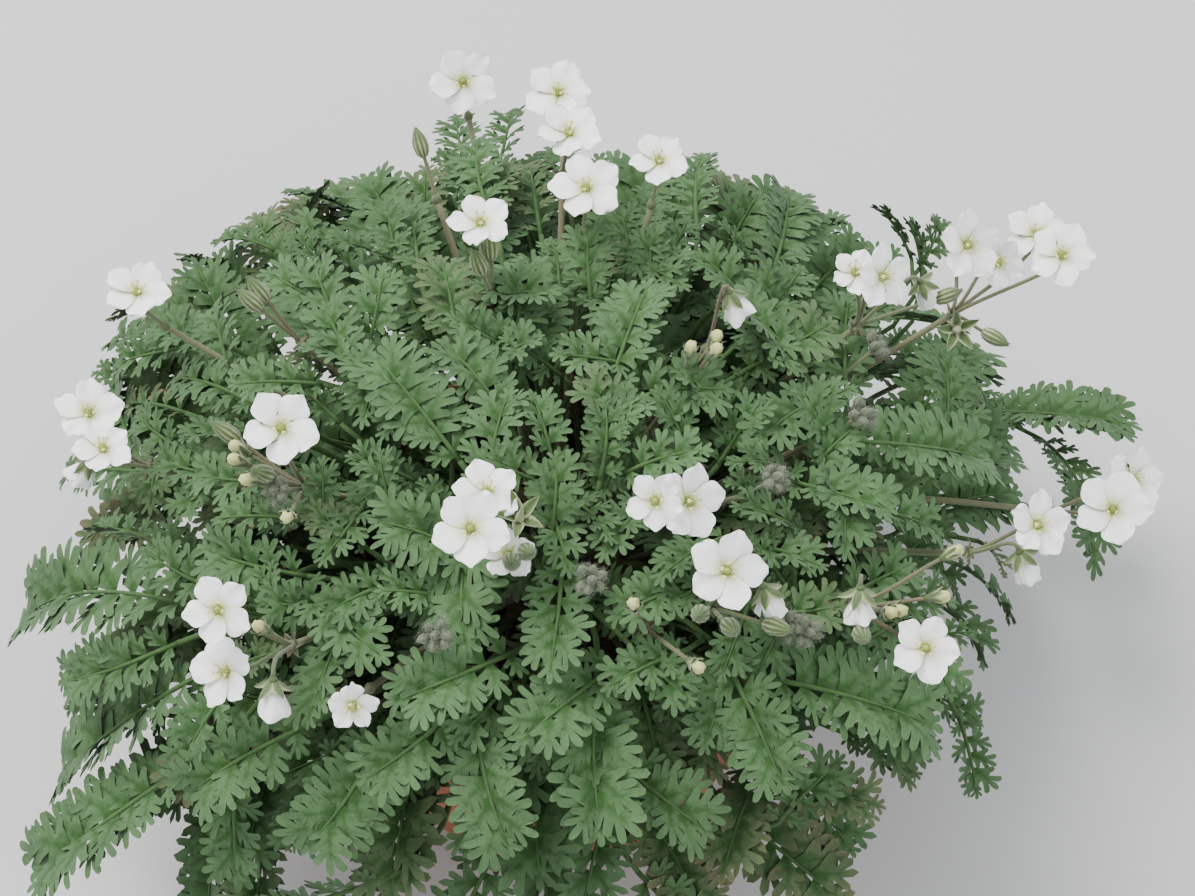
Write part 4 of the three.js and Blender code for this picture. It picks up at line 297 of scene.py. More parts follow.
    (15, -1, (-4.4, 48.8, 98.8), (-20.4, 91.7, 99.8), (0.02, -0.25, 0.95), 17.6, 2.2, "b"),
    (15, -1, (-14.2, 53.4, 95.7), (-19, 100.1, 92.7), (0.06, -0.24, 0.95), 19.9, 2.2, "b"),
    (15, -1, (-9.1, 50.3, 114.6), (-28.9, 90.4, 111.2), (0.04, -0.25, 0.95), 17.1, 2.2, "b"),
    (16, 0.48, (-67.5, 115.9, 117.2), (-88.3, 115.4, 125.4), (0.28, 0.61, 0.75), 12.6, 1.1, "d"),
    (16, 0.93, (-103.4, 99.6, 100.3), (-122.4, 97.6, 112.1), (0.24, 0.82, 0.52), 12.6, 1.4, "d"),
    (16, 0.8, (-89.4, 94.4, 118.1), (-111.1, 103.1, 114.9), (-0.05, 0.23, 0.97), 11.8, 2.5, "d"),
    (16, -1, (-58.2, 84.7, 110.7), (-60.2, 126.4, 119.4), (-0.27, -0.21, 0.94), 21.2, 3.1, "b"),
    (16, 0.61, (-63.1, 106.5, 89.4), (-99.5, 133.2, 93.2), (0.05, -0.08, 1), 21.5, 3.9, "b"),
    (16, -1, (-93.7, 79.7, 81.2), (-124.2, 122, 42.4), (-0.24, 0.56, 0.79), 26.1, 3, "u"),
    (16, 0.66, (-88.9, 74.8, 90.8), (-113.3, 106.9, 106.7), (-0.23, -0.56, 0.79), 19, 2.7, "b"),
    (16, -1, (-50.6, 56.4, 109.7), (-91.8, 62.4, 123.8), (0.34, 0.2, 0.92), 19.7, 2.8, "u"),
    (16, 0.71, (-71.7, 95.6, 78.6), (-105.8, 134.7, 66.8), (0.08, 0.35, 0.93), 22.2, 6, "b"),
    (16, -1, (-55.2, 72.8, 116.3), (-85.8, 93.3, 136.1), (0.64, 0.25, 0.73), 17.8, 3.7, "b"),
    (16, -1, (-64.7, 98.3, 97.4), (-90, 124, 115.6), (0.47, -0.15, 0.87), 18.8, 4, "b"),
    (16, 0.98, (-82, 86.1, 100.5), (-100.2, 120.3, 112.3), (-0.05, -0.35, 0.94), 19.5, 4.9, "b"),
    (16, -1, (-84.1, 97.8, 81.2), (-115.2, 120.5, 82.8), (0.02, -0.05, 1), 17.9, 4.4, "b"),
    (16, -1, (-83.7, 81.6, 112.1), (-73.8, 118.7, 126.3), (-0.89, 0.07, 0.44), 18.1, 3.9, "b"),
    (16, -1, (-33.6, 37.2, 95.5), (-54.1, 77.4, 97.8), (0.17, -0.19, 0.95), 16.7, 2.2, "b"),
    (16, -1, (-43.6, 33.2, 117.7), (-83.2, 55.8, 112.5), (0.2, -0.15, 0.95), 16.1, 2.2, "b"),
    (17, 0.5, (-57.8, 26.5, 152.3), (-83.8, 41.2, 159.8), (0.12, -0.27, 0.96), 17, 3.2, "L"),
    (17, -1, (-83.1, 4.5, 142.3), (-113.2, 25.5, 131.5), (-0.37, -0.06, 0.93), 15.5, 4.1, ""),
    (17, 0.71, (-96.7, 39.4, 130.2), (-122.9, 53.6, 126.7), (-0.24, -0.21, 0.95), 14.2, 2.5, ""),
    (17, -1, (-91.1, 14.8, 138.4), (-100.3, 50.1, 141.3), (-0.6, -0.22, 0.77), 15.7, 1.6, ""),
    (17, 0.82, (-102.2, 1.8, 124.1), (-123, 22, 121.6), (-0.46, -0.37, 0.81), 12.6, 1.9, "d"),
    (17, 0.87, (-110.6, 15.6, 117.4), (-112.3, -20.4, 123.8), (-0.04, 0.18, 0.98), 13.5, 3.6, "d"),
    (17, -1, (-43.6, 33.8, 111.6), (-86.8, 51.2, 133), (0.42, -0.08, 0.91), 22.3, 4.8, "u"),
    (17, -1, (-60.9, 22.8, 111.2), (-103.5, -8.7, 120.7), (0.27, -0.07, 0.96), 25.8, 3.1, "u"),
    (17, -1, (-36.6, 24.1, 120.9), (-74, 34.9, 137.1), (0.43, 0.15, 0.89), 19.6, 4.5, "u"),
    (17, -1, (-79.5, 14.6, 102.7), (-101.1, 40.1, 117), (-0.09, -0.54, 0.83), 17.3, 2.5, "u"),
    (17, -1, (-38, 6.2, 111.8), (-86.1, 8.9, 126.6), (0.26, -0.32, 0.91), 20.8, 6.4, "u"),
    (17, -1, (-55.5, 18.1, 109.9), (-89.8, 35.7, 125.2), (-0.01, -0.67, 0.75), 18.3, 4.8, "u"),
    (17, -1, (-49.6, 12.3, 101.4), (-94.3, 9, 92.3), (0.24, -0.06, 0.95), 19.5, 2.2, "b"),
    (17, -1, (-48.3, 24.4, 113.2), (-95.6, 31.9, 118), (0.22, -0.11, 0.95), 17.9, 2.2, "b"),
    (18, 0.71, (-47.5, -49.5, 144.4), (-64.7, -46, 154.2), (0.45, -0.21, 0.87), 11.3, 1.5, ""),
    (18, 0.48, (-48.6, -35.8, 147.6), (-59, -60.5, 151.4), (0.04, 0.13, 0.99), 11.9, 1.9, ""),
    (18, 0.52, (-40.5, -43.3, 148.1), (-44.8, -30.4, 163.1), (-0.36, -0.75, 0.55), 11.4, 0.9, ""),
    (18, -1, (-58.9, -43.6, 141.7), (-59.7, -30.5, 160.3), (-0.46, -0.74, 0.5), 12.6, 2, ""),
    (18, -1, (-72.9, -64.6, 129.9), (-71.8, -55.9, 147.7), (-0.54, -0.74, 0.4), 10.2, 1.2, ""),
    (18, -1, (-31.1, -65.3, 137.5), (-44.2, -62, 151.3), (0.29, -0.83, 0.47), 10.1, 1.4, ""),
    (18, 0.84, (-52.5, -66.7, 135.3), (-61, -97.3, 131.4), (-0.49, 0.03, 0.87), 16.7, 1.3, "L"),
    (18, 0.93, (-65.1, -57.6, 138.7), (-39.9, -85, 143.6), (-0.2, -0.01, 0.98), 16.7, 2.2, "L"),
    (18, 0.66, (-38.2, -60.9, 144.9), (-57.7, -74, 147.4), (0.37, -0.39, 0.85), 12.8, 1.5, "L"),
    (18, 0.89, (-63.4, -56, 141.2), (-93.2, -46.6, 142.6), (-0.13, -0.55, 0.82), 17.1, 3, "L"),
    (18, -1, (-55.4, -61.5, 133.6), (-75.6, -66, 143.9), (0.48, -0.54, 0.69), 12.4, 2, ""),
    (18, 0.39, (-22.4, -65.2, 141.4), (-43.9, -67.9, 150.4), (0.4, -0.32, 0.86), 12.8, 1.4, "L"),
    (18, -1, (-48.4, -31.1, 116.5), (-49.5, -66.3, 129.6), (-0.2, 0.35, 0.92), 17.5, 2.6, "u"),
    (18, -1, (-25.5, -28.7, 116.4), (-34.6, -62.5, 126.6), (-0.11, 0.31, 0.94), 15.5, 2.3, "u"),
    (19, 0.46, (77.9, -21.3, 142.1), (66.9, -9.4, 165.8), (0.57, -0.6, 0.56), 15.2, 1.7, "L"),
    (19, 0.61, (68.7, -26.1, 144.6), (85.7, -12.3, 154.3), (-0.23, -0.35, 0.91), 13.5, 2.5, "L"),
    (19, 0.58, (63.4, -27.5, 146.8), (92.9, -39.1, 147.2), (0, 0.04, 1), 17.9, 2.2, "L"),
    (19, -1, (75.4, -17.7, 146), (77.6, -55.4, 147.2), (0.36, 0.05, 0.93), 16.1, 2.3, "L"),
    (19, 0.74, (82.7, -30.4, 139.2), (108, -33.5, 130.9), (0.29, -0.15, 0.95), 14.7, 2, ""),
    (19, 0.86, (76.1, -56.3, 128.7), (98.6, -47.6, 136.7), (-0.14, -0.45, 0.88), 14.4, 2.4, ""),
    (19, -1, (68.6, -23.3, 142.2), (47.3, -32.9, 161.1), (0.64, 0.1, 0.77), 11.6, 2.9, ""),
    (19, 0.95, (61.6, -37.9, 141.4), (46.2, -40.2, 161.5), (0.8, -0.01, 0.6), 10.3, 1.1, ""),
    (19, 0.98, (68.8, -42.7, 140.3), (47.5, -45.6, 157.8), (0.62, 0.09, 0.78), 12.5, 3, ""),
    (19, -1, (61.8, -56.5, 138.9), (53.3, -50.8, 151.8), (0.55, -0.57, 0.61), 8.5, 1.6, ""),
    (19, -1, (50.7, -48.6, 145), (72.7, -59.9, 148.6), (-0.13, 0.06, 0.99), 13.5, 2.2, ""),
    (19, -1, (48.3, -45.4, 144.7), (27.6, -67.6, 154.2), (0.14, 0.27, 0.95), 12.9, 2.4, ""),
    (19, -1, (86.4, -57.1, 127.9), (108.9, -47.6, 126.7), (0.23, -0.44, 0.87), 12.8, 1.9, ""),
    (19, -1, (52.8, -61.9, 137.8), (44.2, -86.3, 136.8), (0.24, -0.13, 0.96), 12.3, 1.1, ""),
    (19, -1, (64.8, -57.4, 135.7), (53.4, -84.4, 134.2), (0.42, -0.23, 0.88), 14.1, 1.3, ""),
    (19, 0.55, (54.4, -64.2, 136), (77.8, -69.7, 146.5), (-0.45, -0.45, 0.77), 14, 2.4, "L"),
    (19, -1, (97.4, -50.9, 118.6), (74.8, -75.9, 130.3), (0.6, -0.18, 0.78), 13.2, 3, ""),
    (19, -1, (48.8, -53.6, 140.4), (27.7, -72.2, 147.6), (0.28, 0.06, 0.96), 12.9, 2.5, ""),
    (19, -1, (39.3, -17.8, 120.8), (74.3, -35.4, 134.6), (-0.32, 0.11, 0.94), 20.3, 4.3, "u"),
    (19, -1, (33.6, -23.6, 117.8), (45.9, -65.1, 131.2), (0.59, 0.4, 0.7), 19.7, 3.6, "u"),
    (19, -1, (29.3, -10.5, 112.9), (36.6, -46.6, 134.9), (-0.28, 0.46, 0.84), 19.2, 4.7, "u"),
    (19, -1, (33, -60, 121), (33, -88, 116), (0.1, -0.35, 0.93), 12, 1.6, "d"),
    (19, -1, (44.3, -28.6, 113.6), (76.8, -57, 112), (-0.21, 0.14, 0.95), 18.3, 2.2, "b"),
    (20, 0.58, (27.3, 32.8, 156), (28.1, 52.3, 167.5), (-0.18, -0.49, 0.85), 12.4, 0.9, ""),
    (20, 0.68, (27.8, 30.7, 152.3), (36.6, 45.4, 165.7), (-0.29, -0.55, 0.79), 12.4, 2, ""),
    (20, 0.88, (61.8, 42.9, 148.4), (71.7, 94.3, 146.6), (0.38, -0.04, 0.92), 19.7, 3.5, ""),
    (20, 0.74, (64.3, 55.8, 144), (82.2, 89.3, 142), (0.3, -0.1, 0.95), 15, 2.5, ""),
    (20, -1, (58.7, 31.5, 149.4), (40.2, 46.6, 162.6), (0.36, -0.32, 0.88), 15.5, 2, ""),
    (20, 0.81, (70.2, 31.8, 141.6), (57.1, 41.1, 163), (0.61, -0.46, 0.65), 14.3, 1.2, ""),
    (20, -1, (57.4, 26.7, 151), (73.7, 51.9, 152.9), (0.11, -0.15, 0.98), 13.7, 1.4, ""),
    (20, 0.51, (72, 6.5, 150.2), (49.3, 21.9, 168.7), (0.54, -0.09, 0.83), 18.1, 2.7, "L"),
    (20, -1, (53.9, 6.9, 149), (65.9, 25.4, 159.2), (-0.07, -0.45, 0.89), 13.3, 2.2, ""),
    (20, 0.71, (54.4, 9.1, 151.5), (80.4, 21.2, 160.2), (-0.13, -0.38, 0.92), 16.9, 2.6, "L"),
    (20, 0.98, (50.7, 31.9, 153.5), (68.4, 0.2, 160.1), (0.05, 0.23, 0.97), 15.1, 2, "L"),
    (20, -1, (66.1, 43, 144.9), (57.4, 11.2, 147.6), (0.13, 0.04, 0.99), 12.2, 1.6, ""),
    (20, -1, (57.3, 55.2, 147.1), (48.1, 59.2, 162.8), (0.87, 0.02, 0.5), 9.5, 1, ""),
    (20, -1, (28.4, 41.6, 155.4), (40.3, 66.2, 158.5), (0.04, -0.15, 0.99), 12.6, 1.7, ""),
    (20, -1, (19.6, 53.4, 152.3), (39, 28.6, 163.9), (-0.33, 0.18, 0.93), 12.4, 3.7, ""),
    (20, -1, (38.7, 41.9, 123.7), (63.9, 59.4, 143.5), (-0.39, -0.39, 0.84), 15.7, 2.4, "u"),
    (20, -1, (18, 18.1, 133.1), (52.7, 6.5, 147.2), (-0.44, -0.24, 0.87), 17.5, 4.1, "u"),
    (20, -1, (15.3, 21.4, 129.1), (57.9, 38.5, 139.1), (-0.3, 0.2, 0.93), 22.6, 3.9, "u"),
    (20, -1, (24.6, 2.2, 124.4), (71.5, 2.9, 142.8), (-0.35, -0.28, 0.9), 21.4, 3, "u"),
    (20, -1, (29.6, 34.4, 118.6), (74.5, 73.3, 113.8), (-0.16, -0.19, 0.95), 19.3, 2.2, "b"),
    (20, -1, (38.7, 16.3, 128.8), (74.3, 43.5, 136.5), (-0.23, -0.1, 0.95), 19.6, 2.2, "b"),
    (20, -1, (22.8, 31.9, 130.6), (41.7, 75.3, 135.9), (-0.15, -0.2, 0.95), 17.5, 2.2, "b"),
    (21, 0.54, (-4.1, 73.3, 144.1), (-8.2, 109.5, 142.9), (-0.19, 0.01, 0.98), 13.5, 3.2, "d"),
    (21, 0.49, (27.8, 51, 155.4), (30.1, 76.6, 160.7), (0.07, -0.21, 0.98), 12.1, 2.7, ""),
    (21, 0.44, (22.9, 47.1, 153.1), (19, 66.1, 163.7), (0.27, -0.42, 0.86), 12, 1.7, ""),
    (21, 0.68, (43, 69.2, 148.5), (45.7, 108.8, 147.5), (-0.12, 0.03, 0.99), 14.8, 2.5, ""),
    (21, -1, (35.1, 120.8, 123.1), (17.6, 108.5, 141.7), (0.43, 0.51, 0.74), 10.3, 1.2, "d"),
    (21, -1, (14.7, 40.2, 121.7), (25.7, 78.1, 141.9), (-0.01, -0.47, 0.88), 17.8, 3.9, "u"),
    (21, -1, (14.2, 63, 127.3), (31.2, 103.7, 149.5), (-0.22, -0.39, 0.89), 24, 4.2, "b"),
    (21, 0.78, (28.9, 87.2, 115.2), (43.3, 118.2, 134), (-0.14, -0.46, 0.88), 18.2, 2, "b"),
    (21, -1, (-3.2, 45, 110), (8, 88.6, 134.5), (-0.1, -0.47, 0.88), 20.5, 2.9, "u"),
    (21, -1, (23.2, 50.4, 116.3), (67.4, 76.9, 128), (-0.12, -0.23, 0.97), 23.1, 6, "u"),
    (21, -1, (48, 65.6, 131), (64.1, 97.8, 141.3), (0.09, -0.34, 0.93), 18.4, 3.5, "b"),
    (21, -1, (11.3, 42.5, 114), (53.6, 51.7, 137.6), (-0.51, 0.28, 0.81), 21.4, 5.8, "u"),
    (21, 0.83, (31.3, 83.1, 116.6), (10.1, 123, 134.1), (0.37, -0.2, 0.91), 24.1, 5, "b"),
    (21, -1, (17.4, 46.5, 101.8), (38.6, 94.1, 93.3), (-0.09, -0.23, 0.95), 19.8, 2.2, "b"),
    (21, -1, (11.5, 46.5, 113.6), (16, 92.1, 113.5), (-0.06, -0.24, 0.95), 18.2, 2.2, "b"),
    (22, 0.64, (-18.1, 69.8, 152), (-23.7, 112.5, 151.3), (-0.21, -0.01, 0.98), 16.1, 3.2, "L"),
    (22, 0.68, (-16.2, 87.3, 142.7), (-34.8, 87.9, 153.3), (0.47, 0.35, 0.81), 11.9, 0.9, ""),
    (22, 0.72, (-21, 68.6, 150.2), (-13.3, 98.8, 152), (-0.11, -0.03, 0.99), 13.1, 2.4, ""),
    (22, 0.43, (-37.8, 41.5, 153.8), (-43.4, 73.9, 157.6), (-0.17, -0.14, 0.97), 14.3, 1.6, ""),
    (22, 0.55, (-44.4, 47.6, 153), (-48.9, 70.8, 161.5), (-0.14, -0.36, 0.92), 12.7, 1.3, ""),
    (22, -1, (-48.1, 65.9, 139.9), (-67.8, 62.9, 151.6), (0.47, 0.22, 0.85), 11.6, 1.4, "d"),
    (22, 0.51, (-68.5, 66.2, 134.8), (-80.9, 78.9, 140.3), (-0.01, -0.41, 0.91), 9.9, 0.9, "d"),
    (22, -1, (-38.6, 61.5, 113.7), (-71.6, 83.7, 122.1), (0.05, -0.29, 0.96), 18.8, 5.2, "u"),
    (22, -1, (-11.8, 31.8, 123.7), (-17.9, 80.4, 135.4), (-0.02, -0.24, 0.97), 24.8, 3.1, "u"),
    (22, -1, (-27.1, 62.8, 118.5), (-45.1, 90.6, 137.9), (0.11, -0.52, 0.85), 19.1, 2.5, "u"),
    (22, -1, (-41.4, 78.5, 125.1), (-40.9, 109.9, 143), (-0.19, -0.48, 0.85), 15.3, 3.4, "b"),
    (22, -1, (-28.3, 53.6, 132.8), (-7.8, 89.2, 139.9), (-0.09, -0.14, 0.99), 17.6, 5, "u"),
    (22, -1, (-40.8, 62.1, 132.5), (-61, 102.2, 144.7), (0.07, -0.26, 0.96), 21.3, 4.3, "b"),
    (22, 0.85, (-24.8, 67.5, 121), (-16.4, 107.3, 142.1), (0.14, -0.49, 0.86), 22.8, 3.3, "b"),
    (22, -1, (-24.5, 33.7, 127.7), (-53.6, 76.1, 138.5), (-0.05, -0.28, 0.96), 25.9, 3.6, "u"),
    (22, -1, (-20.2, 40.9, 117.6), (-38, 85.4, 112.4), (0.11, -0.22, 0.95), 17.4, 2.2, "b"),
    (23, 0.77, (-51.8, 12.5, 152.6), (-46.6, 32.7, 170.9), (-0.27, -0.61, 0.75), 15.7, 2.8, "L"),
    (23, 0.71, (-59.6, 16.8, 152.9), (-70, 43.7, 162.2), (-0.18, -0.38, 0.91), 15.3, 1.7, "L"),
    (23, 0.98, (-51.9, -0.4, 155.2), (-64, 23.6, 164.9), (-0.02, -0.39, 0.92), 15, 2, "L"),
    (23, 0.93, (-63.1, 2.5, 152.6), (-88.2, -2.2, 157.5), (0.2, -0.05, 0.98), 14.9, 1.1, "L"),
    (23, 0.82, (-58, -6.6, 146.6), (-73.8, 6.3, 153.9), (0.31, -0.15, 0.94), 12, 1.2, ""),
    (23, 0.87, (-44.6, -1.2, 155.7), (-69.6, 12.1, 159.8), (0.18, 0.03, 0.98), 15.5, 2.5, "L"),
    (23, 0.55, (-40.6, -11, 153), (-56, 4.4, 165.3), (0.37, -0.32, 0.87), 14.2, 2.4, "L"),
    (23, -1, (-35, -8.6, 151.5), (-59.3, -3, 158.3), (0.31, 0.19, 0.93), 14.8, 1.4, ""),
    (23, -1, (-41, 12.1, 155.1), (-50.3, -20.9, 161.7), (-0.13, 0.23, 0.96), 13, 2, ""),
    (23, -1, (-32.2, 0.3, 154.4), (-44.7, -25.5, 160.8), (0.04, 0.22, 0.97), 11.7, 2.3, ""),
    (23, -1, (-27.4, -5.4, 132.6), (-57.8, 17.1, 143.4), (0.31, -0.04, 0.95), 17.2, 4.9, "u"),
    (23, -1, (-33.7, -7.6, 129.3), (-55.2, -36, 143), (-0.11, 0.5, 0.86), 16.7, 2.8, "u"),
    (23, -1, (-48.1, -2.3, 117.4), (-104.6, 8.9, 119.1), (0.25, 0.01, 0.95), 19.6, 2.2, "b"),
    (24, 0.55, (-23.7, -29.3, 156.7), (-48.3, -1.5, 170.5), (0.1, -0.37, 0.92), 21.7, 2.2, "L"),
    (24, 0.43, (-10.3, -17.9, 156.6), (-30.3, 1.2, 172.3), (0.4, -0.3, 0.87), 18.1, 1.6, "L"),
    (24, 0.94, (-16.6, -38.8, 154.2), (-10.3, -12.2, 168.8), (-0.38, -0.38, 0.85), 17.2, 2, "L"),
    (24, 0.6, (1.6, -33.2, 156.7), (-5, -13.9, 168.6), (0.33, -0.41, 0.85), 13.2, 2.5, "L"),
    (24, 0.68, (2.1, -37.7, 153.7), (-20.1, -36.7, 168.5), (0.52, -0.32, 0.8), 14.1, 2.4, "L"),
    (24, 0.85, (0.3, -52.2, 149.6), (2.3, -37.1, 169.7), (0.11, -0.8, 0.59), 14, 2.2, "L"),
    (24, -1, (4, -34.2, 149), (16.7, -57.2, 156.7), (-0.02, 0.31, 0.95), 10.2, 1.2, ""),
    (24, -1, (-0.9, -36.8, 150.3), (6, -66.4, 153.4), (0.1, 0.13, 0.99), 12.4, 2.5, ""),
    (24, 0.89, (-14.6, -57.7, 146.8), (-46.2, -51.2, 159.2), (0.28, -0.36, 0.89), 19.6, 2.5, "L"),
    (24, -1, (-35.4, -31.9, 151.3), (-53.8, -29.8, 159.7), (0.34, -0.42, 0.84), 11.5, 1.4, ""),
    (24, 0.72, (-24.3, -46.6, 146.3), (-33.3, -39.4, 161.4), (0.46, -0.66, 0.59), 10.2, 1.3, ""),
    (24, -1, (-25.9, -27.7, 153.7), (-23.2, -14.8, 164.9), (-0.45, -0.53, 0.72), 9.8, 1.2, ""),
    (24, -1, (-17.4, -39.6, 151.1), (-20.5, -84, 144.3), (-0.45, -0.11, 0.89), 22.3, 3.6, "L"),
    (24, -1, (4.7, -26.1, 116.4), (-17.3, -57.5, 133.2), (0.38, 0.22, 0.9), 19.2, 2.7, "u"),
    (24, -1, (-9.8, -23.3, 129.3), (-41.6, -37.8, 146.4), (0.46, 0.05, 0.89), 16.6, 2.7, "u"),
    (25, 0.54, (15.8, -7.8, 159.3), (28.1, 24.2, 172.8), (-0.26, -0.29, 0.92), 19.5, 3.6, "L"),
    (25, 0.44, (24.7, 2.2, 159.8), (0.3, -4.7, 172.6), (0.47, -0.02, 0.88), 14.1, 1.5, "L"),
    (25, 0.49, (13.6, -35.2, 155.6), (15, -17, 169.2), (0.29, -0.59, 0.75), 12.9, 1.8, "L"),
    (25, 0.59, (10.5, -26.3, 157.2), (26.5, -14.4, 167.2), (-0.32, -0.33, 0.89), 12.7, 2.4, "L"),
    (25, 0.98, (22.2, -24.7, 155.5), (7, -10.9, 170.4), (0.33, -0.5, 0.8), 14.4, 2.3, "L"),
    (25, -1, (30.3, -34.4, 148.6), (13.6, -60.8, 152.9), (0.04, 0.14, 0.99), 13.6, 2.3, ""),
    (25, -1, (22.1, -13.4, 147.9), (13.7, -40.1, 153.4), (0.34, 0.08, 0.94), 10.4, 1.3, "d"),
    (25, -1, (36.8, -23.7, 153), (28.4, -12.1, 167.9), (0.37, -0.62, 0.69), 11.6, 1.5, ""),
    (25, 0.68, (47, -15.5, 153.2), (33, -6.9, 170.2), (0.72, -0.16, 0.68), 12.8, 2.1, "L"),
    (25, 0.73, (19.6, -10.2, 159), (50, -10.6, 164.3), (-0.17, -0.37, 0.92), 17.5, 2.2, "L"),
    (25, -1, (45.8, -22.8, 147.8), (58.2, -10.4, 162.2), (-0.35, -0.54, 0.76), 12.8, 1.5, ""),
    (25, 0.83, (19.3, -30.7, 152.2), (42.9, -33.5, 166.5), (-0.53, -0.21, 0.82), 14.2, 2.8, "L"),
    (25, -1, (5.9, -23.6, 135.3), (43.9, -18.5, 142.6), (-0.18, -0.04, 0.98), 19.3, 5.1, "u"),
    (26, 0.68, (11.5, 28.2, 157.6), (10.6, 48.2, 172.7), (-0.23, -0.59, 0.77), 14.1, 2.1, "L"),
    (26, -1, (2.3, 30.3, 157), (-0.7, 51.5, 163.6), (0.08, -0.28, 0.96), 11.1, 2.3, ""),
    (26, 0.98, (1.5, 22.9, 158.3), (-22.3, 24.2, 171.9), (0.5, 0, 0.87), 15.1, 1.7, "L"),
    (26, 0.83, (-24.2, 28.9, 156.3), (2.7, 17.4, 173.9), (-0.53, 0.06, 0.85), 15.1, 2.8, "L"),
    (26, 0.59, (-9.5, 6.9, 159.4), (-8.7, 35.2, 172.3), (0, -0.42, 0.91), 16.5, 2.2, "L"),
    (26, 0.49, (-25.1, 10.9, 156.8), (-31.5, 39.2, 169.4), (0.27, -0.34, 0.9), 16.7, 1.7, "L"),
    (26, 0.54, (11.3, 37.2, 156.3), (25.9, -6.1, 161.6), (-0.13, 0.08, 0.99), 17.3, 3.7, "L"),
    (26, 0.73, (-8.7, 8.6, 157), (-28.5, 9.7, 173.8), (0.59, -0.36, 0.72), 13.7, 2.8, "L"),
    (26, 0.64, (-5.6, 52.1, 155.4), (-8.3, -0.4, 157.6), (0.08, 0.04, 1), 19.9, 2.3, "L"),
    (26, -1, (3.4, 3.1, 154.9), (-13.6, 6.3, 168.3), (0.55, -0.31, 0.77), 11.9, 1.6, ""),
    (26, -1, (-18.2, -0.1, 157.3), (-1.3, 5.2, 169.5), (-0.53, -0.22, 0.82), 11.8, 1.9, ""),
    (26, -1, (-12.2, 25.3, 134.4), (-45.6, 51.4, 146.1), (0.26, -0.1, 0.96), 21.1, 3.8, "u"),
    (26, -1, (-0.9, 30.9, 136.7), (16.3, 66.2, 149.6), (-0.12, -0.29, 0.95), 18.7, 5.2, "u"),
    (26, -1, (6.4, 40.6, 133.9), (8.6, 75.6, 138.7), (-0.04, -0.25, 0.95), 18.9, 2.2, "b"),
    (26, -1, (-13.6, 40.1, 132.7), (-25.1, 79.2, 129.9), (0.08, -0.24, 0.95), 19, 2.2, "b"),
    (26, -1, (-28.7, 29.3, 131.6), (-52, 63.1, 134.5), (0.17, -0.18, 0.95), 18.5, 2.2, "b"),
]
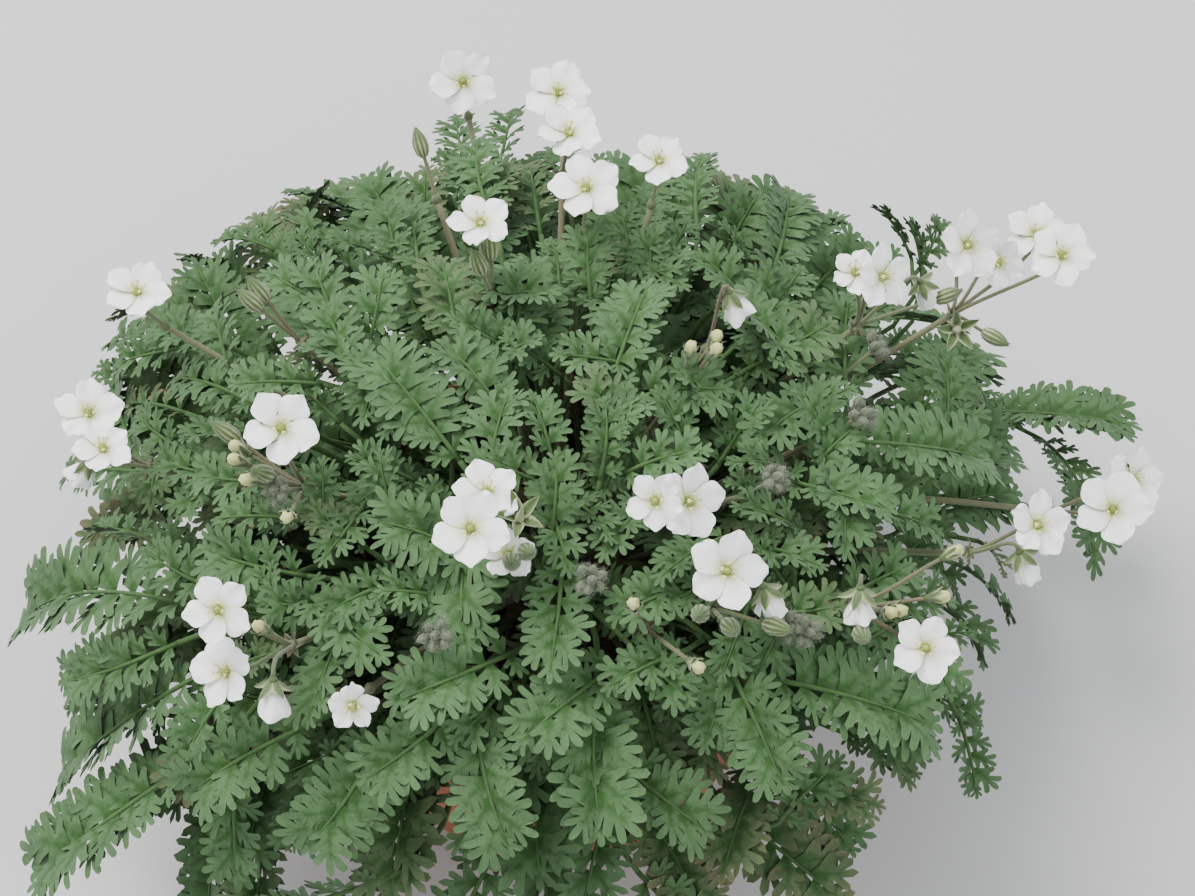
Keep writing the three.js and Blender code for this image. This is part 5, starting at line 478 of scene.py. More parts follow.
# umbels: crown point, middle, branching point, parts
UMBELS = [
    ((-2.9, 15, 83.6), (-16.5, 73.8, 123.1), (-27.7, 121.9, 150),
     [("F", (-29, 124.4, 162.3), (0.061, -0.666, 0.743), 20.9)]),
    ((0.2, 11.7, 86.4), (1.5, 48.1, 132.3), (2.6, 77.9, 164.4),
     [("F", (1.2, 100.8, 177.2), (0.016, -0.424, 0.905), 20.1),
      ("F", (4.8, 71.1, 186.7), (0.011, -0.246, 0.969), 19.2)]),
    ((0.1, 7.1, 88.4), (5, 28.4, 136.3), (9, 45.9, 170.1),
     [("F", (9.8, 46.5, 186.9), (0.005, -0.397, 0.918), 19.8)]),
    ((4.4, 9, 87.3), (17.7, 36.6, 135), (28.6, 59.2, 168.5),
     [("F", (30.5, 61, 184.7), (-0.025, -0.343, 0.939), 17.3)]),
    ((-4, 4.2, 88.8), (-10.4, 14, 133.3), (-15.6, 22, 164.3),
     [("F", (-18.7, 25.4, 193.1), (0.046, -0.265, 0.963), 17),
      ("B", (-16.6, 29.1, 180.6), (-0.059, 0.402, 0.914), 0),
      ("B", (-19.7, 22.3, 180.5), (-0.244, 0.019, 0.97), 0)]),
    ((-4.4, 9.8, 86.9), (-21.2, 45.9, 128.1), (-35, 75.5, 156.3),
     [("B", (-39.8, 85.7, 169.7), (-0.274, 0.581, 0.766), 0)]),
    ((-14.3, 1.5, 84.5), (-67.5, 16.6, 123.1), (-111, 29, 149.3),
     [("F", (-116.8, 29.5, 163.5), (0.172, -0.176, 0.969), 18.3)]),
    ((-17.3, -1.6, 81.1), (-68.8, -8.5, 114.6), (-111, -14.1, 136.6),
     [("F", (-124.9, -11.6, 157.1), (0.212, -0.301, 0.93), 18.2),
      ("F", (-119.9, -21.9, 154.4), (0.196, -0.195, 0.961), 15.9),
      ("D", (-128.3, -17, 139.1), (-0.424, -0.07, -0.903), 0)]),
    ((-9.3, -5, 87), (-39.5, -20, 123.9), (-64.2, -32.2, 148.6),
     [("F", (-68.1, -36.4, 177.7), (0.143, -0.484, 0.863), 19.5),
      ("B", (-85.1, -25.8, 164.3), (-0.778, 0.238, 0.582), 0),
      ("B", (-73.8, -41.3, 165.5), (-0.449, -0.424, 0.786), 0),
      ("C", (-81.1, -30.6, 162.9), (-0.761, 0.072, 0.645), 0),
      ("C", (-81, -34.3, 162.2), (-0.773, -0.094, 0.627), 0),
      ("C", (-77.4, -40.8, 162.1), (-0.636, -0.414, 0.652), 0),
      ("C", (-66.3, -53.1, 162.3), (-0.084, -0.835, 0.544), 0),
      ("Z", (-70.9, -42.9, 160.6), (-0.384, -0.615, 0.689), 0)]),
    ((13.1, 6, 84.4), (53.6, 18.7, 122.5), (86.7, 29.1, 148.2),
     [("F", (92.4, 23.2, 174.1), (0.452, -0.648, 0.613), 17.7),
      ("F", (84.4, 26.2, 173.9), (-0.103, -0.273, 0.957), 13.7),
      ("D", (107.1, 37.8, 155.1), (0.409, 0.175, -0.896), 0),
      ("B", (114.7, 41, 150), (0.918, 0.392, 0.06), 0)]),
    ((16.9, 5.4, 80.5), (72.1, 26.3, 116.1), (117.2, 43.4, 139.7),
     [("F", (120.9, 51, 160.5), (0.399, -0.676, 0.62), 20.3),
      ("F", (143.8, 67.6, 150.5), (-0.18, -0.348, 0.92), 19.7),
      ("F", (146.4, 45.2, 162.3), (-0.203, -0.482, 0.852), 19),
      ("F", (132.1, 57.1, 148.1), (0.309, -0.696, 0.649), 16.2),
      ("K", (115, 23.5, 153.2), (-0.093, -0.824, 0.558), 0),
      ("B", (128.9, 33.7, 139.8), (0.769, -0.639, 0.004), 0)]),
    ((5.3, 3.3, 88.7), (25.9, 6.1, 131.3), (42.8, 8.4, 160.7),
     [("D", (49.7, 9.8, 177.1), (0.284, 0.058, -0.957), 0)]),
    ((7.3, -0.9, 88.4), (22.4, -3.1, 128.7), (34.7, -4.9, 156.3),
     [("C", (37.6, -7.4, 176.4), (0.141, -0.122, 0.983), 0),
      ("C", (44.2, -2.9, 175.7), (0.436, 0.09, 0.895), 0),
      ("C", (44, -7.2, 175.5), (0.434, -0.109, 0.894), 0)]),
    ((11.1, 1.8, 86.6), (48.9, 6.9, 121.9), (79.9, 11, 145.4),
     [("Z", (91.7, 12.6, 158.1), (0.675, 0.092, 0.732), 0)]),
    ((12.5, -3, 85.7), (46.2, -8.6, 122.3), (73.8, -13.1, 146.8),
     [("Z", (85, -15, 160.1), (0.64, -0.112, 0.76), 0)]),
    ((19.2, 2.2, 76.3), (91, 15.9, 87.7), (152.3, 19.7, 78.7),
     [("F", (169.1, 12.6, 88.1), (-0.224, -0.36, 0.906), 24.3),
      ("F", (179.7, 28.2, 83.2), (0.354, -0.615, 0.705), 20.8)]),
    ((16.2, -4.5, 81.9), (69.9, -23.1, 111), (113.8, -38.4, 129.3),
     [("F", (130.1, -43.4, 147), (0.252, -0.621, 0.742), 17.5),
      ("D", (127.7, -46.3, 133.7), (0.385, -0.218, -0.897), 0)]),
    ((14.6, -9.7, 80.8), (50, -38.1, 113.5), (78.9, -61.3, 134.8),
     [("F", (95.2, -86.1, 150.1), (0.019, -0.596, 0.802), 17.5),
      ("D", (79.5, -73.7, 151.7), (0.02, -0.386, -0.922), 0),
      ("B", (79.8, -80.5, 148), (0.039, -0.822, 0.568), 0),
      ("C", (87.3, -72.1, 146.7), (0.463, -0.596, 0.655), 0),
      ("C", (89.8, -71, 146), (0.591, -0.526, 0.612), 0),
      ("C", (106.2, -51.3, 145), (0.886, 0.325, 0.331), 0),
      ("C", (101.4, -64.3, 142.9), (0.933, -0.125, 0.337), 0)]),
    ((3.4, -7.4, 88.1), (16.4, -31.4, 130.4), (27.1, -51, 159.6),
     [("F", (27.2, -62.1, 178.6), (-0.027, -0.65, 0.759), 14.7),
      ("F", (36.6, -59.6, 175.4), (0.502, -0.562, 0.657), 19.5)]),
    ((6.9, -10.3, 85.9), (26, -42.2, 121), (41.6, -68.3, 144.2),
     [("F", (45.1, -77.8, 170.5), (0.211, -0.611, 0.763), 20.4),
      ("B", (38.5, -81.4, 157.9), (-0.161, -0.681, 0.714), 0),
      ("B", (46.2, -83.8, 155.4), (0.236, -0.788, 0.568), 0),
      ("B", (57.9, -82.4, 153.9), (0.69, -0.596, 0.41), 0),
      ("D", (56.2, -76.6, 157.4), (0.383, -0.217, -0.898), 0)]),
    ((7.9, -5.6, 87.5), (31.9, -22.2, 124.7), (51.5, -35.8, 149.7),
     [("Z", (59.8, -41.5, 164.1), (0.473, -0.323, 0.82), 0)]),
    ((1.9, -11.8, 86.2), (6.4, -39, 121.4), (10, -61.2, 144.8),
     [("Z", (11.6, -71.5, 159), (0.092, -0.583, 0.807), 0)]),
    ((-1.3, -8.4, 87.9), (-5.5, -34, 126), (-8.9, -54.9, 151.7),
     [("F", (-18.2, -71, 178.9), (0.059, -0.508, 0.859), 19),
      ("F", (-14.8, -54.8, 174.4), (0.045, -0.171, 0.984), 17.4),
      ("F", (-9.6, -65.1, 161.9), (0.038, -0.214, 0.976), 13.8),
      ("K", (-6.4, -60.6, 171.4), (0.12, -0.274, 0.954), 0),
      ("B", (-4.6, -68.2, 166.2), (0.212, -0.662, 0.719), 0),
      ("B", (-8.4, -70.6, 165.1), (0.027, -0.76, 0.65), 0)]),
    ((-3.2, -12.5, 85.6), (-14.6, -45.2, 118.1), (-23.9, -72, 139.2),
     [("Z", (-27.7, -83.3, 151.8), (-0.218, -0.651, 0.727), 0)]),
    ((-11.4, -11.1, 82.9), (-41.2, -46.5, 115.8), (-65.5, -75.4, 137.3),
     [("F", (-80.7, -84.1, 163.1), (-0.073, -0.609, 0.79), 16.8),
      ("F", (-81, -90.4, 145.9), (-0.467, -0.52, 0.716), 18),
      ("D", (-68, -95.7, 142.6), (-0.055, -0.437, -0.898), 0),
      ("C", (-71.8, -79.1, 149.2), (-0.448, -0.268, 0.853), 0)]),
    ((-7.2, -14.4, 82.7), (-28, -54.4, 114.1), (-45, -87.1, 134.4),
     [("V", (-47.6, -100.2, 144.3), (0.1, -0.888, 0.448), 12.6)]),
    ((10.3, -12.7, 82.5), (34.7, -42.5, 114.3), (54.6, -66.8, 134.8),
     [("Z", (66.9, -78.9, 147.2), (0.578, -0.57, 0.584), 0),
      ("Z", (61.7, -78.6, 148.9), (0.36, -0.598, 0.716), 0)]),
    ((5.4, -14.6, 83.3), (16.2, -45.9, 117.2), (25, -71.5, 139.4),
     [("C", (22.1, -78.9, 158.3), (-0.141, -0.359, 0.923), 0),
      ("C", (37.3, -91, 149.7), (0.485, -0.773, 0.409), 0)]),
    ((-10.4, 4.2, 86.7), (-43.3, 12.5, 125.4), (-70.2, 19.3, 151.7),
     [("B", (-81.6, 24.3, 168.1), (-0.554, 0.244, 0.796), 0),
      ("B", (-83.6, 21.1, 167.3), (-0.648, 0.087, 0.757), 0)]),
]

# ------------------------------------------------------------------ helpers
def unit(v):
    v = np.asarray(v, float)
    n = np.linalg.norm(v)
    return v / n if n > 1e-12 else np.array([0.0, 0.0, 1.0])


def square_to(v, d):
    """v without its part along d, as a unit vector"""
    w = np.asarray(v, float) - d * float(np.dot(v, d))
    if np.linalg.norm(w) < 1e-6:
        w = np.array([d[1], -d[0], 0.0]) if abs(d[2]) < 0.9 else np.array([1.0, 0.0, 0.0])
        w = w - d * float(np.dot(w, d))
    return unit(w)


class Bag:
    """Gathers the triangles of one piece, in millimetres."""

    def __init__(self):
        self.v, self.f, self.c, self.m, self.rim = [], [], [], [], []
        self.n = 0

    def add(self, V, F, C, mat=0, rim=None):
        V = np.asarray(V, float).reshape(-1, 3)
        F = np.asarray(F, int).reshape(-1, 3)
        C = np.asarray(C, float)
        if C.ndim == 1:
            C = np.tile(C, (len(V), 1))
        self.v.append(V)
        self.f.append(F + self.n)
        self.c.append(C)
        self.m.append(np.full(len(F), mat, int))
        if rim is not None and len(rim):
            self.rim.append(np.asarray(rim, int) + self.n)
        self.n += len(V)

    def tris(self):
        return sum(len(f) for f in self.f)

    def build(self, name, materials, attribute="tint"):
        V = np.concatenate(self.v) * MM
        F = np.concatenate(self.f)
        C = np.concatenate(self.c)
        M = np.concatenate(self.m)
        me = bpy.data.meshes.new(name)
        me.vertices.add(len(V))
        me.vertices.foreach_set("co", V.astype(np.float32).ravel())
        me.loops.add(len(F) * 3)
        me.loops.foreach_set("vertex_index", F.astype(np.int32).ravel())
        me.polygons.add(len(F))
        me.polygons.foreach_set("loop_start", np.arange(0, len(F) * 3, 3, dtype=np.int32))
        me.update(calc_edges=True)
        for material in materials:
            me.materials.append(material)
        me.polygons.foreach_set("material_index", M.astype(np.int32))
        me.polygons.foreach_set("use_smooth", np.ones(len(F), bool))
        layer = me.color_attributes.new(attribute, "FLOAT_COLOR", "POINT")
        layer.data.foreach_set("color", C.astype(np.float32).ravel())
        if self.rim:
            R = np.concatenate(self.rim)
            E = np.zeros(len(me.edges) * 2, np.int32)
            me.edges.foreach_get("vertices", E)
            E = np.sort(E.reshape(-1, 2), axis=1).astype(np.int64)
            R = np.sort(R, axis=1).astype(np.int64)
            k = np.isin(E[:, 0] * self.n + E[:, 1], R[:, 0] * self.n + R[:, 1])
            sharp = me.attributes.get("sharp_edge") or me.attributes.new("sharp_edge", "BOOLEAN", "EDGE")
            sharp.data.foreach_set("value", k)
        me.update()
        ob = bpy.data.objects.new(name, me)
        bpy.context.scene.collection.objects.link(ob)
        return ob


def frames(pts):
    """Directions along a row of points, and two directions square to each that turn with it."""
    P = np.asarray(pts, float)
    D = np.gradient(P, axis=0)
    D = D / np.maximum(np.linalg.norm(D, axis=1), 1e-9)[:, None]
    u = square_to(np.array([0.31, 0.17, 0.94]), D[0])
    U, W = [], []
    for d in D:
        u = square_to(u, d)
        U.append(u)
        W.append(np.cross(d, u))
    return P, D, np.array(U), np.array(W)


def tube(bag, pts, radii, sides, colours, mat=0, lumps=None, round_end=False):
    P, D, U, W = frames(pts)
    m = len(P)
    R = np.broadcast_to(np.asarray(radii, float), (m,))
    a = 2 * np.pi * np.arange(sides) / sides
    ring = U[:, None] * np.cos(a)[None, :, None] + W[:, None] * np.sin(a)[None, :, None]
    rr = R[:, None] * np.ones((1, sides))
    if lumps is not None:
        rr = rr * lumps
    V = (P[:, None] + ring * rr[:, :, None]).reshape(-1, 3)
    i = np.arange(m - 1)[:, None] * sides
    j = np.arange(sides)[None]
    A = (i + j).ravel()
    B = (i + (j + 1) % sides).ravel()
    F = [np.stack([A, B, B + sides], 1), np.stack([A, B + sides, A + sides], 1)]
    C = np.asarray(colours, float)
    C = np.tile(C, (m, 1)) if C.ndim == 1 else C
    C = np.repeat(C, sides, axis=0)
    o0, o1 = len(V), len(V) + 1
    e0 = P[0] - D[0] * R[0] * 0.3
    e1 = P[-1] + D[-1] * R[-1] * (0.8 if round_end else 0.2)
    V = np.vstack([V, e0, e1])
    C = np.vstack([C, C[0], C[-1]])
    k = np.arange(sides)
    k2 = (k + 1) % sides
    F += [np.stack([np.full(sides, o0), k2, k], 1), np.stack([np.full(sides, o1), k + (m - 1) * sides, k2 + (m - 1) * sides], 1)]
    bag.add(V, np.concatenate(F), C, mat)


def spline(points, n):
    """A smooth curve through the points (Catmull-Rom), n points per span."""
    P = [np.asarray(p, float) for p in points]
    P = [2 * P[0] - P[1]] + P + [2 * P[-1] - P[-2]]
    out = []
    for i in range(1, len(P) - 2):
        p0, p1, p2, p3 = P[i - 1:i + 3]
        for t in np.linspace(0, 1, n, endpoint=False):
            out.append(0.5 * (2 * p1 + (p2 - p0) * t + (2 * p0 - 5 * p1 + 4 * p2 - p3) * t * t + (3 * p1 - p0 - 3 * p2 + p3) * t ** 3))
    out.append(P[-2])
    return np.array(out)


def bezier(a, b, c, d, n):
    t = np.linspace(0, 1, n)[:, None]
    return a * (1 - t) ** 3 + 3 * b * t * (1 - t) ** 2 + 3 * c * t * t * (1 - t) + d * t ** 3


def hairs(bag, P, D, length, radius, colour, mat=0):
    """Thin closed cones that stand on P and point along D."""
    P = np.asarray(P, float).reshape(-1, 3)
    if not len(P):
        return
    D = np.asarray(D, float).reshape(-1, 3)
    D = D / np.maximum(np.linalg.norm(D, axis=1), 1e-9)[:, None]
    ref = np.where(np.abs(D[:, 2:3]) < 0.9, np.array([[0.0, 0.0, 1.0]]), np.array([[1.0, 0.0, 0.0]]))
    U = np.cross(D, ref)
    U = U / np.linalg.norm(U, axis=1)[:, None]
    W = np.cross(D, U)
    L = np.broadcast_to(np.asarray(length, float), (len(P),))[:, None]
    V = []
    for k in range(3):
        a = 2 * math.pi * k / 3
        V.append(P - D * radius + (U * math.cos(a) + W * math.sin(a)) * radius)
    V.append(P + D * L)
    V = np.stack(V, 1).reshape(-1, 3)
    base = np.array([[0, 1, 3], [1, 2, 3], [2, 0, 3], [0, 2, 1]])
    F = (base[None] + 4 * np.arange(len(P))[:, None, None]).reshape(-1, 3)
    bag.add(V, F, colour, mat)


def turned(bag, centre, axis, zs, rs, sides, colour, mat=0, swell=None, ref=None):
    """A closed body turned round an axis: zs along it, rs its radius. colour(theta, share) may vary."""
    d = unit(axis)
    u = square_to(ref if ref is not None else np.array([0.2, 0.9, 0.35]), d)
    w = np.cross(d, u)
    zs, rs = np.asarray(zs, float), np.asarray(rs, float)
    m = len(zs)
    a = 2 * np.pi * np.arange(sides) / sides
    rad = rs[1:-1, None] * np.ones((1, sides))
    if swell is not None:
        rad = rad * swell(a[None], (zs[1:-1, None] - zs[0]) / (zs[-1] - zs[0]))
    body = centre + d * zs[1:-1, None, None] + (u * np.cos(a)[None, :, None] + w * np.sin(a)[None, :, None]) * rad[:, :, None]
    V = np.vstack([centre + d * zs[0], body.reshape(-1, 3), centre + d * zs[-1]])
    F = []
    k = np.arange(sides)
    k2 = (k + 1) % sides
    F.append(np.stack([np.zeros(sides, int), 1 + k2, 1 + k], 1))
    for i in range(m - 3):
        A, B = 1 + i * sides + k, 1 + i * sides + k2
        F += [np.stack([A, B, B + sides], 1), np.stack([A, B + sides, A + sides], 1)]
    o = 1 + (m - 3) * sides
    F.append(np.stack([o + k, o + k2, np.full(sides, len(V) - 1)], 1))
    if callable(colour):
        share = (zs - zs[0]) / (zs[-1] - zs[0])
        C = [colour(np.zeros(1), np.zeros(1))]
        for s in share[1:-1]:
            C.append(colour(a, np.full(sides, s)))
        C.append(colour(np.zeros(1), np.ones(1)))
        C = np.vstack(C)
    else:
        C = colour
    bag.add(V, np.concatenate(F), C, mat)


# ------------------------------------------------------------------ leaf parts
class Pinna:
    """The flat outline of one lobed segment of a leaf, 1 long, with its triangles."""

    def __init__(self, rng, pairs, bare=0.24, spread=(56, 33), side_scale=(1.0, 1.0), fine=True):
        for attempt in range(20):
            if self.make(rng, pairs, bare, spread, side_scale, fine, 1.0 - 0.04 * attempt):
                return
        raise RuntimeError("no clean outline")

    def make(self, rng, pairs, bare, spread, side_scale, fine, calm):
        lobes = {1: [], -1: []}
        end = 0.52
        for s in (1, -1):
            for k in range(pairs):
                f = k / max(pairs - 1, 1) if pairs > 1 else 0.3
                at = bare + (end - bare) * f + 0.03 * s + rng.uniform(-0.018, 0.018) * calm
                phi = math.radians(spread[0] + (spread[1] - spread[0]) * f + rng.uniform(-5, 5) * calm)
                reach = (0.47 - 0.06 * abs(f - 0.45) - 0.08 * (pairs == 1)) * rng.uniform(0.9, 1.12) * side_scale[0 if s > 0 else 1]
                half = 0.082 * rng.uniform(0.92, 1.12) * (3.1 / (pairs + 1.1)) ** 0.35
                lobes[s].append((at, phi, reach, half))
        tip = (end + 0.02, 0.0, 1.0 - end - 0.02, 0.088 * (3.1 / (pairs + 1.1)) ** 0.35)
        out, kind, inner, ikind = [], [], [], []

        def point(lobe, s, f, g):
            at, phi, reach, half = lobe
            c, n = math.cos(phi), math.sin(phi) * s
            # g > 0 is the side of the lobe that looks back to the base
            return np.array([at + c * reach * f - abs(n) * half * g, n * reach * f + c * s * half * g])

        base = 0.052
        out.append((0.0, base)); kind.append(0.0)
        for s in (1, -1):
            seq = lobes[s] if s > 0 else lobes[s][::-1]
            rows = []
            for lobe in seq:
                blunt = rng.uniform() < 0.5 and fine
                edge_back = [(0.62, 1.02), (0.88, 0.92)]
                head = [(0.99, 0.46), (0.99, -0.46)] if blunt else [(1.0, 0.0)]
                if not fine:
                    edge_back = [(0.80, 0.98)]
                    head = [(1.0, 0.0)]
                edge_front = [(f, -g) for f, g in edge_back[::-1]]
                pts = [(point(lobe, s, f, g), 0.5 + 0.5 * f) for f, g in edge_back + head + edge_front]
                rows.append(pts if s > 0 else pts[::-1])
            if s > 0:
                first = lobes[s][0]
                out.append(tuple((point(first, s, 0.30, 1.15) * 0.72 + np.array([0.0, base]) * 0.28 + np.array([-0.02, 0.0])).tolist())); kind.append(0.25)
                for i, row in enumerate(rows):
                    for p, v in row:
                        out.append(tuple(p.tolist())); kind.append(v)
                    nxt = lobes[s][i + 1] if i + 1 < len(rows) else None
                    a = point(lobes[s][i], s, 0.34, -0.9)
                    b = point(nxt, s, 0.30, 0.9) if nxt else point(tip, s, 0.22, 1.0)
                    out.append(tuple(((a + b) / 2).tolist())); kind.append(0.55)
                # the end lobe
                for f, g in [(0.62, 1.0), (0.88, 0.8), (1.0, 0.3), (1.0, -0.3), (0.88, -0.8), (0.62, -1.0)] if fine else [(0.7, 0.95), (1.0, 0.0), (0.7, -0.95)]:
                    out.append((tip[0] + tip[2] * f, tip[3] * g)); kind.append(0.5 + 0.5 * f)
            else:
                for i, row in enumerate(rows):
                    cur = len(rows) - 1 - i  # from the tip to the base
                    lobe = lobes[s][cur]
                    a = point(lobe, s, 0.34, -0.9)
                    b = point(lobes[s][cur + 1], s, 0.30, 0.9) if cur + 1 < len(rows) else point(tip, s, 0.22, 1.0)
                    out.append(tuple(((a + b) / 2).tolist())); kind.append(0.55)
                    for p, v in row:
                        out.append(tuple(p.tolist())); kind.append(v)
                first = lobes[s][0]
                out.append(tuple((point(first, s, 0.30, 1.15) * 0.72 + np.array([0.0, -base]) * 0.28 + np.array([-0.02, 0.0])).tolist())); kind.append(0.25)
        out.append((0.0, -base)); kind.append(0.0)
        # clockwise or not, it is turned to run counter-clockwise
        P = np.array(out)
        area = 0.5 * np.sum(P[:, 0] * np.roll(P[:, 1], -1) - np.roll(P[:, 0], -1) * P[:, 1])
        if area < 0:
            P, kind = P[::-1], kind[::-1]
        for x in ([0.13] if fine else []) + [(l[0] + r[0]) / 2 for l, r in zip(lobes[1], lobes[-1])] + [tip[0] + 0.02]:
            inner.append((x, 0.0)); ikind.append(0.08 if x < 0.3 else 0.18)
        for s in (1, -1):
            for lobe in lobes[s]:
                p = point(lobe, s, 0.70, 0.0)
                inner.append((p[0], p[1])); ikind.append(0.55)
        inner.append((tip[0] + tip[2] * 0.6, 0.0)); ikind.append(0.55)
        n = len(P)
        pts = [Vector((float(x), float(y))) for x, y in P] + [Vector((float(x), float(y))) for x, y in inner]
        vo, eo, fo, ov, oe, of = delaunay_2d_cdt(pts, [], [list(range(n))], 1, 1e-6)
        if len(vo) != len(pts) or any(len(o) != 1 for o in ov):
            return False
        back = [o[0] for o in ov]
        F = np.array([[back[i] for i in f] for f in fo])
        Q = np.vstack([P, np.array(inner)])
        x, y = Q[F][:, :, 0], Q[F][:, :, 1]
        ar = (x[:, 1] - x[:, 0]) * (y[:, 2] - y[:, 0]) - (x[:, 2] - x[:, 0]) * (y[:, 1] - y[:, 0])
        F[ar < 0] = F[ar < 0][:, ::-1]
        Q, F, vals = self.clear_chords(Q, F, n, list(kind) + ikind)
        self.Q, self.n, self.k = Q, n, len(Q) - n
        self.v = np.array(vals)
        under = F.copy()
        under = np.where(under >= n, under + self.k, under)[:, ::-1]
        self.F = np.vstack([F, under])
        r = np.arange(n)
        self.rim = np.stack([r, (r + 1) % n], 1)
        return True

    @staticmethod
    def clear_chords(Q, F, n, vals):
        """The upper and the under face share the rim, so no other edge may join two rim points: such edges are turned, or split in the middle."""
        Q, F, vals = [tuple(q) for q in Q], [list(map(int, f)) for f in F], list(vals)

        def cross(o, a, b):
            return (Q[a][0] - Q[o][0]) * (Q[b][1] - Q[o][1]) - (Q[a][1] - Q[o][1]) * (Q[b][0] - Q[o][0])

        def chord(a, b):
            return a < n and b < n and (a - b) % n not in (1, n - 1)

        for split in (False, True):
            again = True
            while again:
                again = False
                where = {}
                for i, f in enumerate(F):
                    for a, b in ((f[0], f[1]), (f[1], f[2]), (f[2], f[0])):
                        where[(a, b)] = i
                for (a, b), i in where.items():
                    if a > b or not chord(a, b) or (b, a) not in where:
                        continue
                    j = where[(b, a)]
                    c = next(x for x in F[i] if x not in (a, b))
                    d = next(x for x in F[j] if x not in (a, b))
                    if not split:
                        # the other diagonal of the two triangles
                        if not chord(c, d) and cross(c, d, b) > 1e-5 and cross(d, c, a) > 1e-5:
                            F[i], F[j] = [c, d, b], [d, c, a]
                            again = True
                            break
                    else:
                        m = len(Q)
                        Q.append(((Q[a][0] + Q[b][0]) / 2, (Q[a][1] + Q[b][1]) / 2))
                        vals.append((vals[a] + vals[b]) / 2)
                        F[i], F[j] = [a, m, c], [b, m, d]
                        F += [[m, b, c], [m, a, d]]
                        again = True
                        break
        return np.array(Q), np.array(F), vals


rng0 = np.random.default_rng(5)
PINNAE = {
    (3, True): [Pinna(rng0, 3, 0.17, (64, 42)) for _ in range(6)],
    (2, True): [Pinna(rng0, 2, 0.25, (57, 43)) for _ in range(8)],
    (1, True): [Pinna(rng0, 1, 0.34, (44, 44)) for _ in range(5)],
    (2, False): [Pinna(rng0, 2, 0.25, (57, 43), fine=False) for _ in range(6)],
    (1, False): [Pinna(rng0, 1, 0.34, (44, 44), fine=False) for _ in range(4)],
}


def add_pinna(bag, pinna, origin, D, S, U, length, width, tone, brown, rng, curl, lift, groove=0.30, thick=0.34):
    """One segment: D along it, S across it, U its upper side; lengths in mm."""
    x, y = pinna.Q[:, 0], pinna.Q[:, 1]
    n, k = pinna.n, pinna.k
    v = pinna.v
    z = np.zeros(len(x))
    z[:n] = groove * np.clip(v[:n] * 1.4 - 0.1, 0, 1)
    # it rises from the rachis and then bends down, and each lobe goes its own way
    z += lift * np.sin(np.clip(x, 0, 1) * math.pi * 0.62) * length * 0.12
    z -= curl * length * (x ** 2) * 0.22
    z -= curl * length * (y * width) ** 2 * 0.55
    ph = rng.uniform(0, 6.28)
    z += np.sin(x * 9 + ph) * np.sign(y) * np.abs(y) * length * 0.07
    z += (np.sin(np.arctan2(y, x - 0.2) * 5 + ph) * v ** 2) * 0.32
    Q = origin + np.outer(x * length, D) + np.outer(y * length * width, S) + np.outer(z, U)
    low = Q[n:] - U * thick
    V = np.vstack([Q, low])
    t = np.full(len(V), tone)
    t += rng.uniform(-0.03, 0.03)
    vv = np.concatenate([v, v[n:] * 0.8])
    C = np.stack([vv, t, np.full(len(V), brown) * np.clip(vv * 1.6 - 0.4, 0, 1), np.zeros(len(V))], 1)
    bag.add(V, pinna.F, C, 0, pinna.rim)


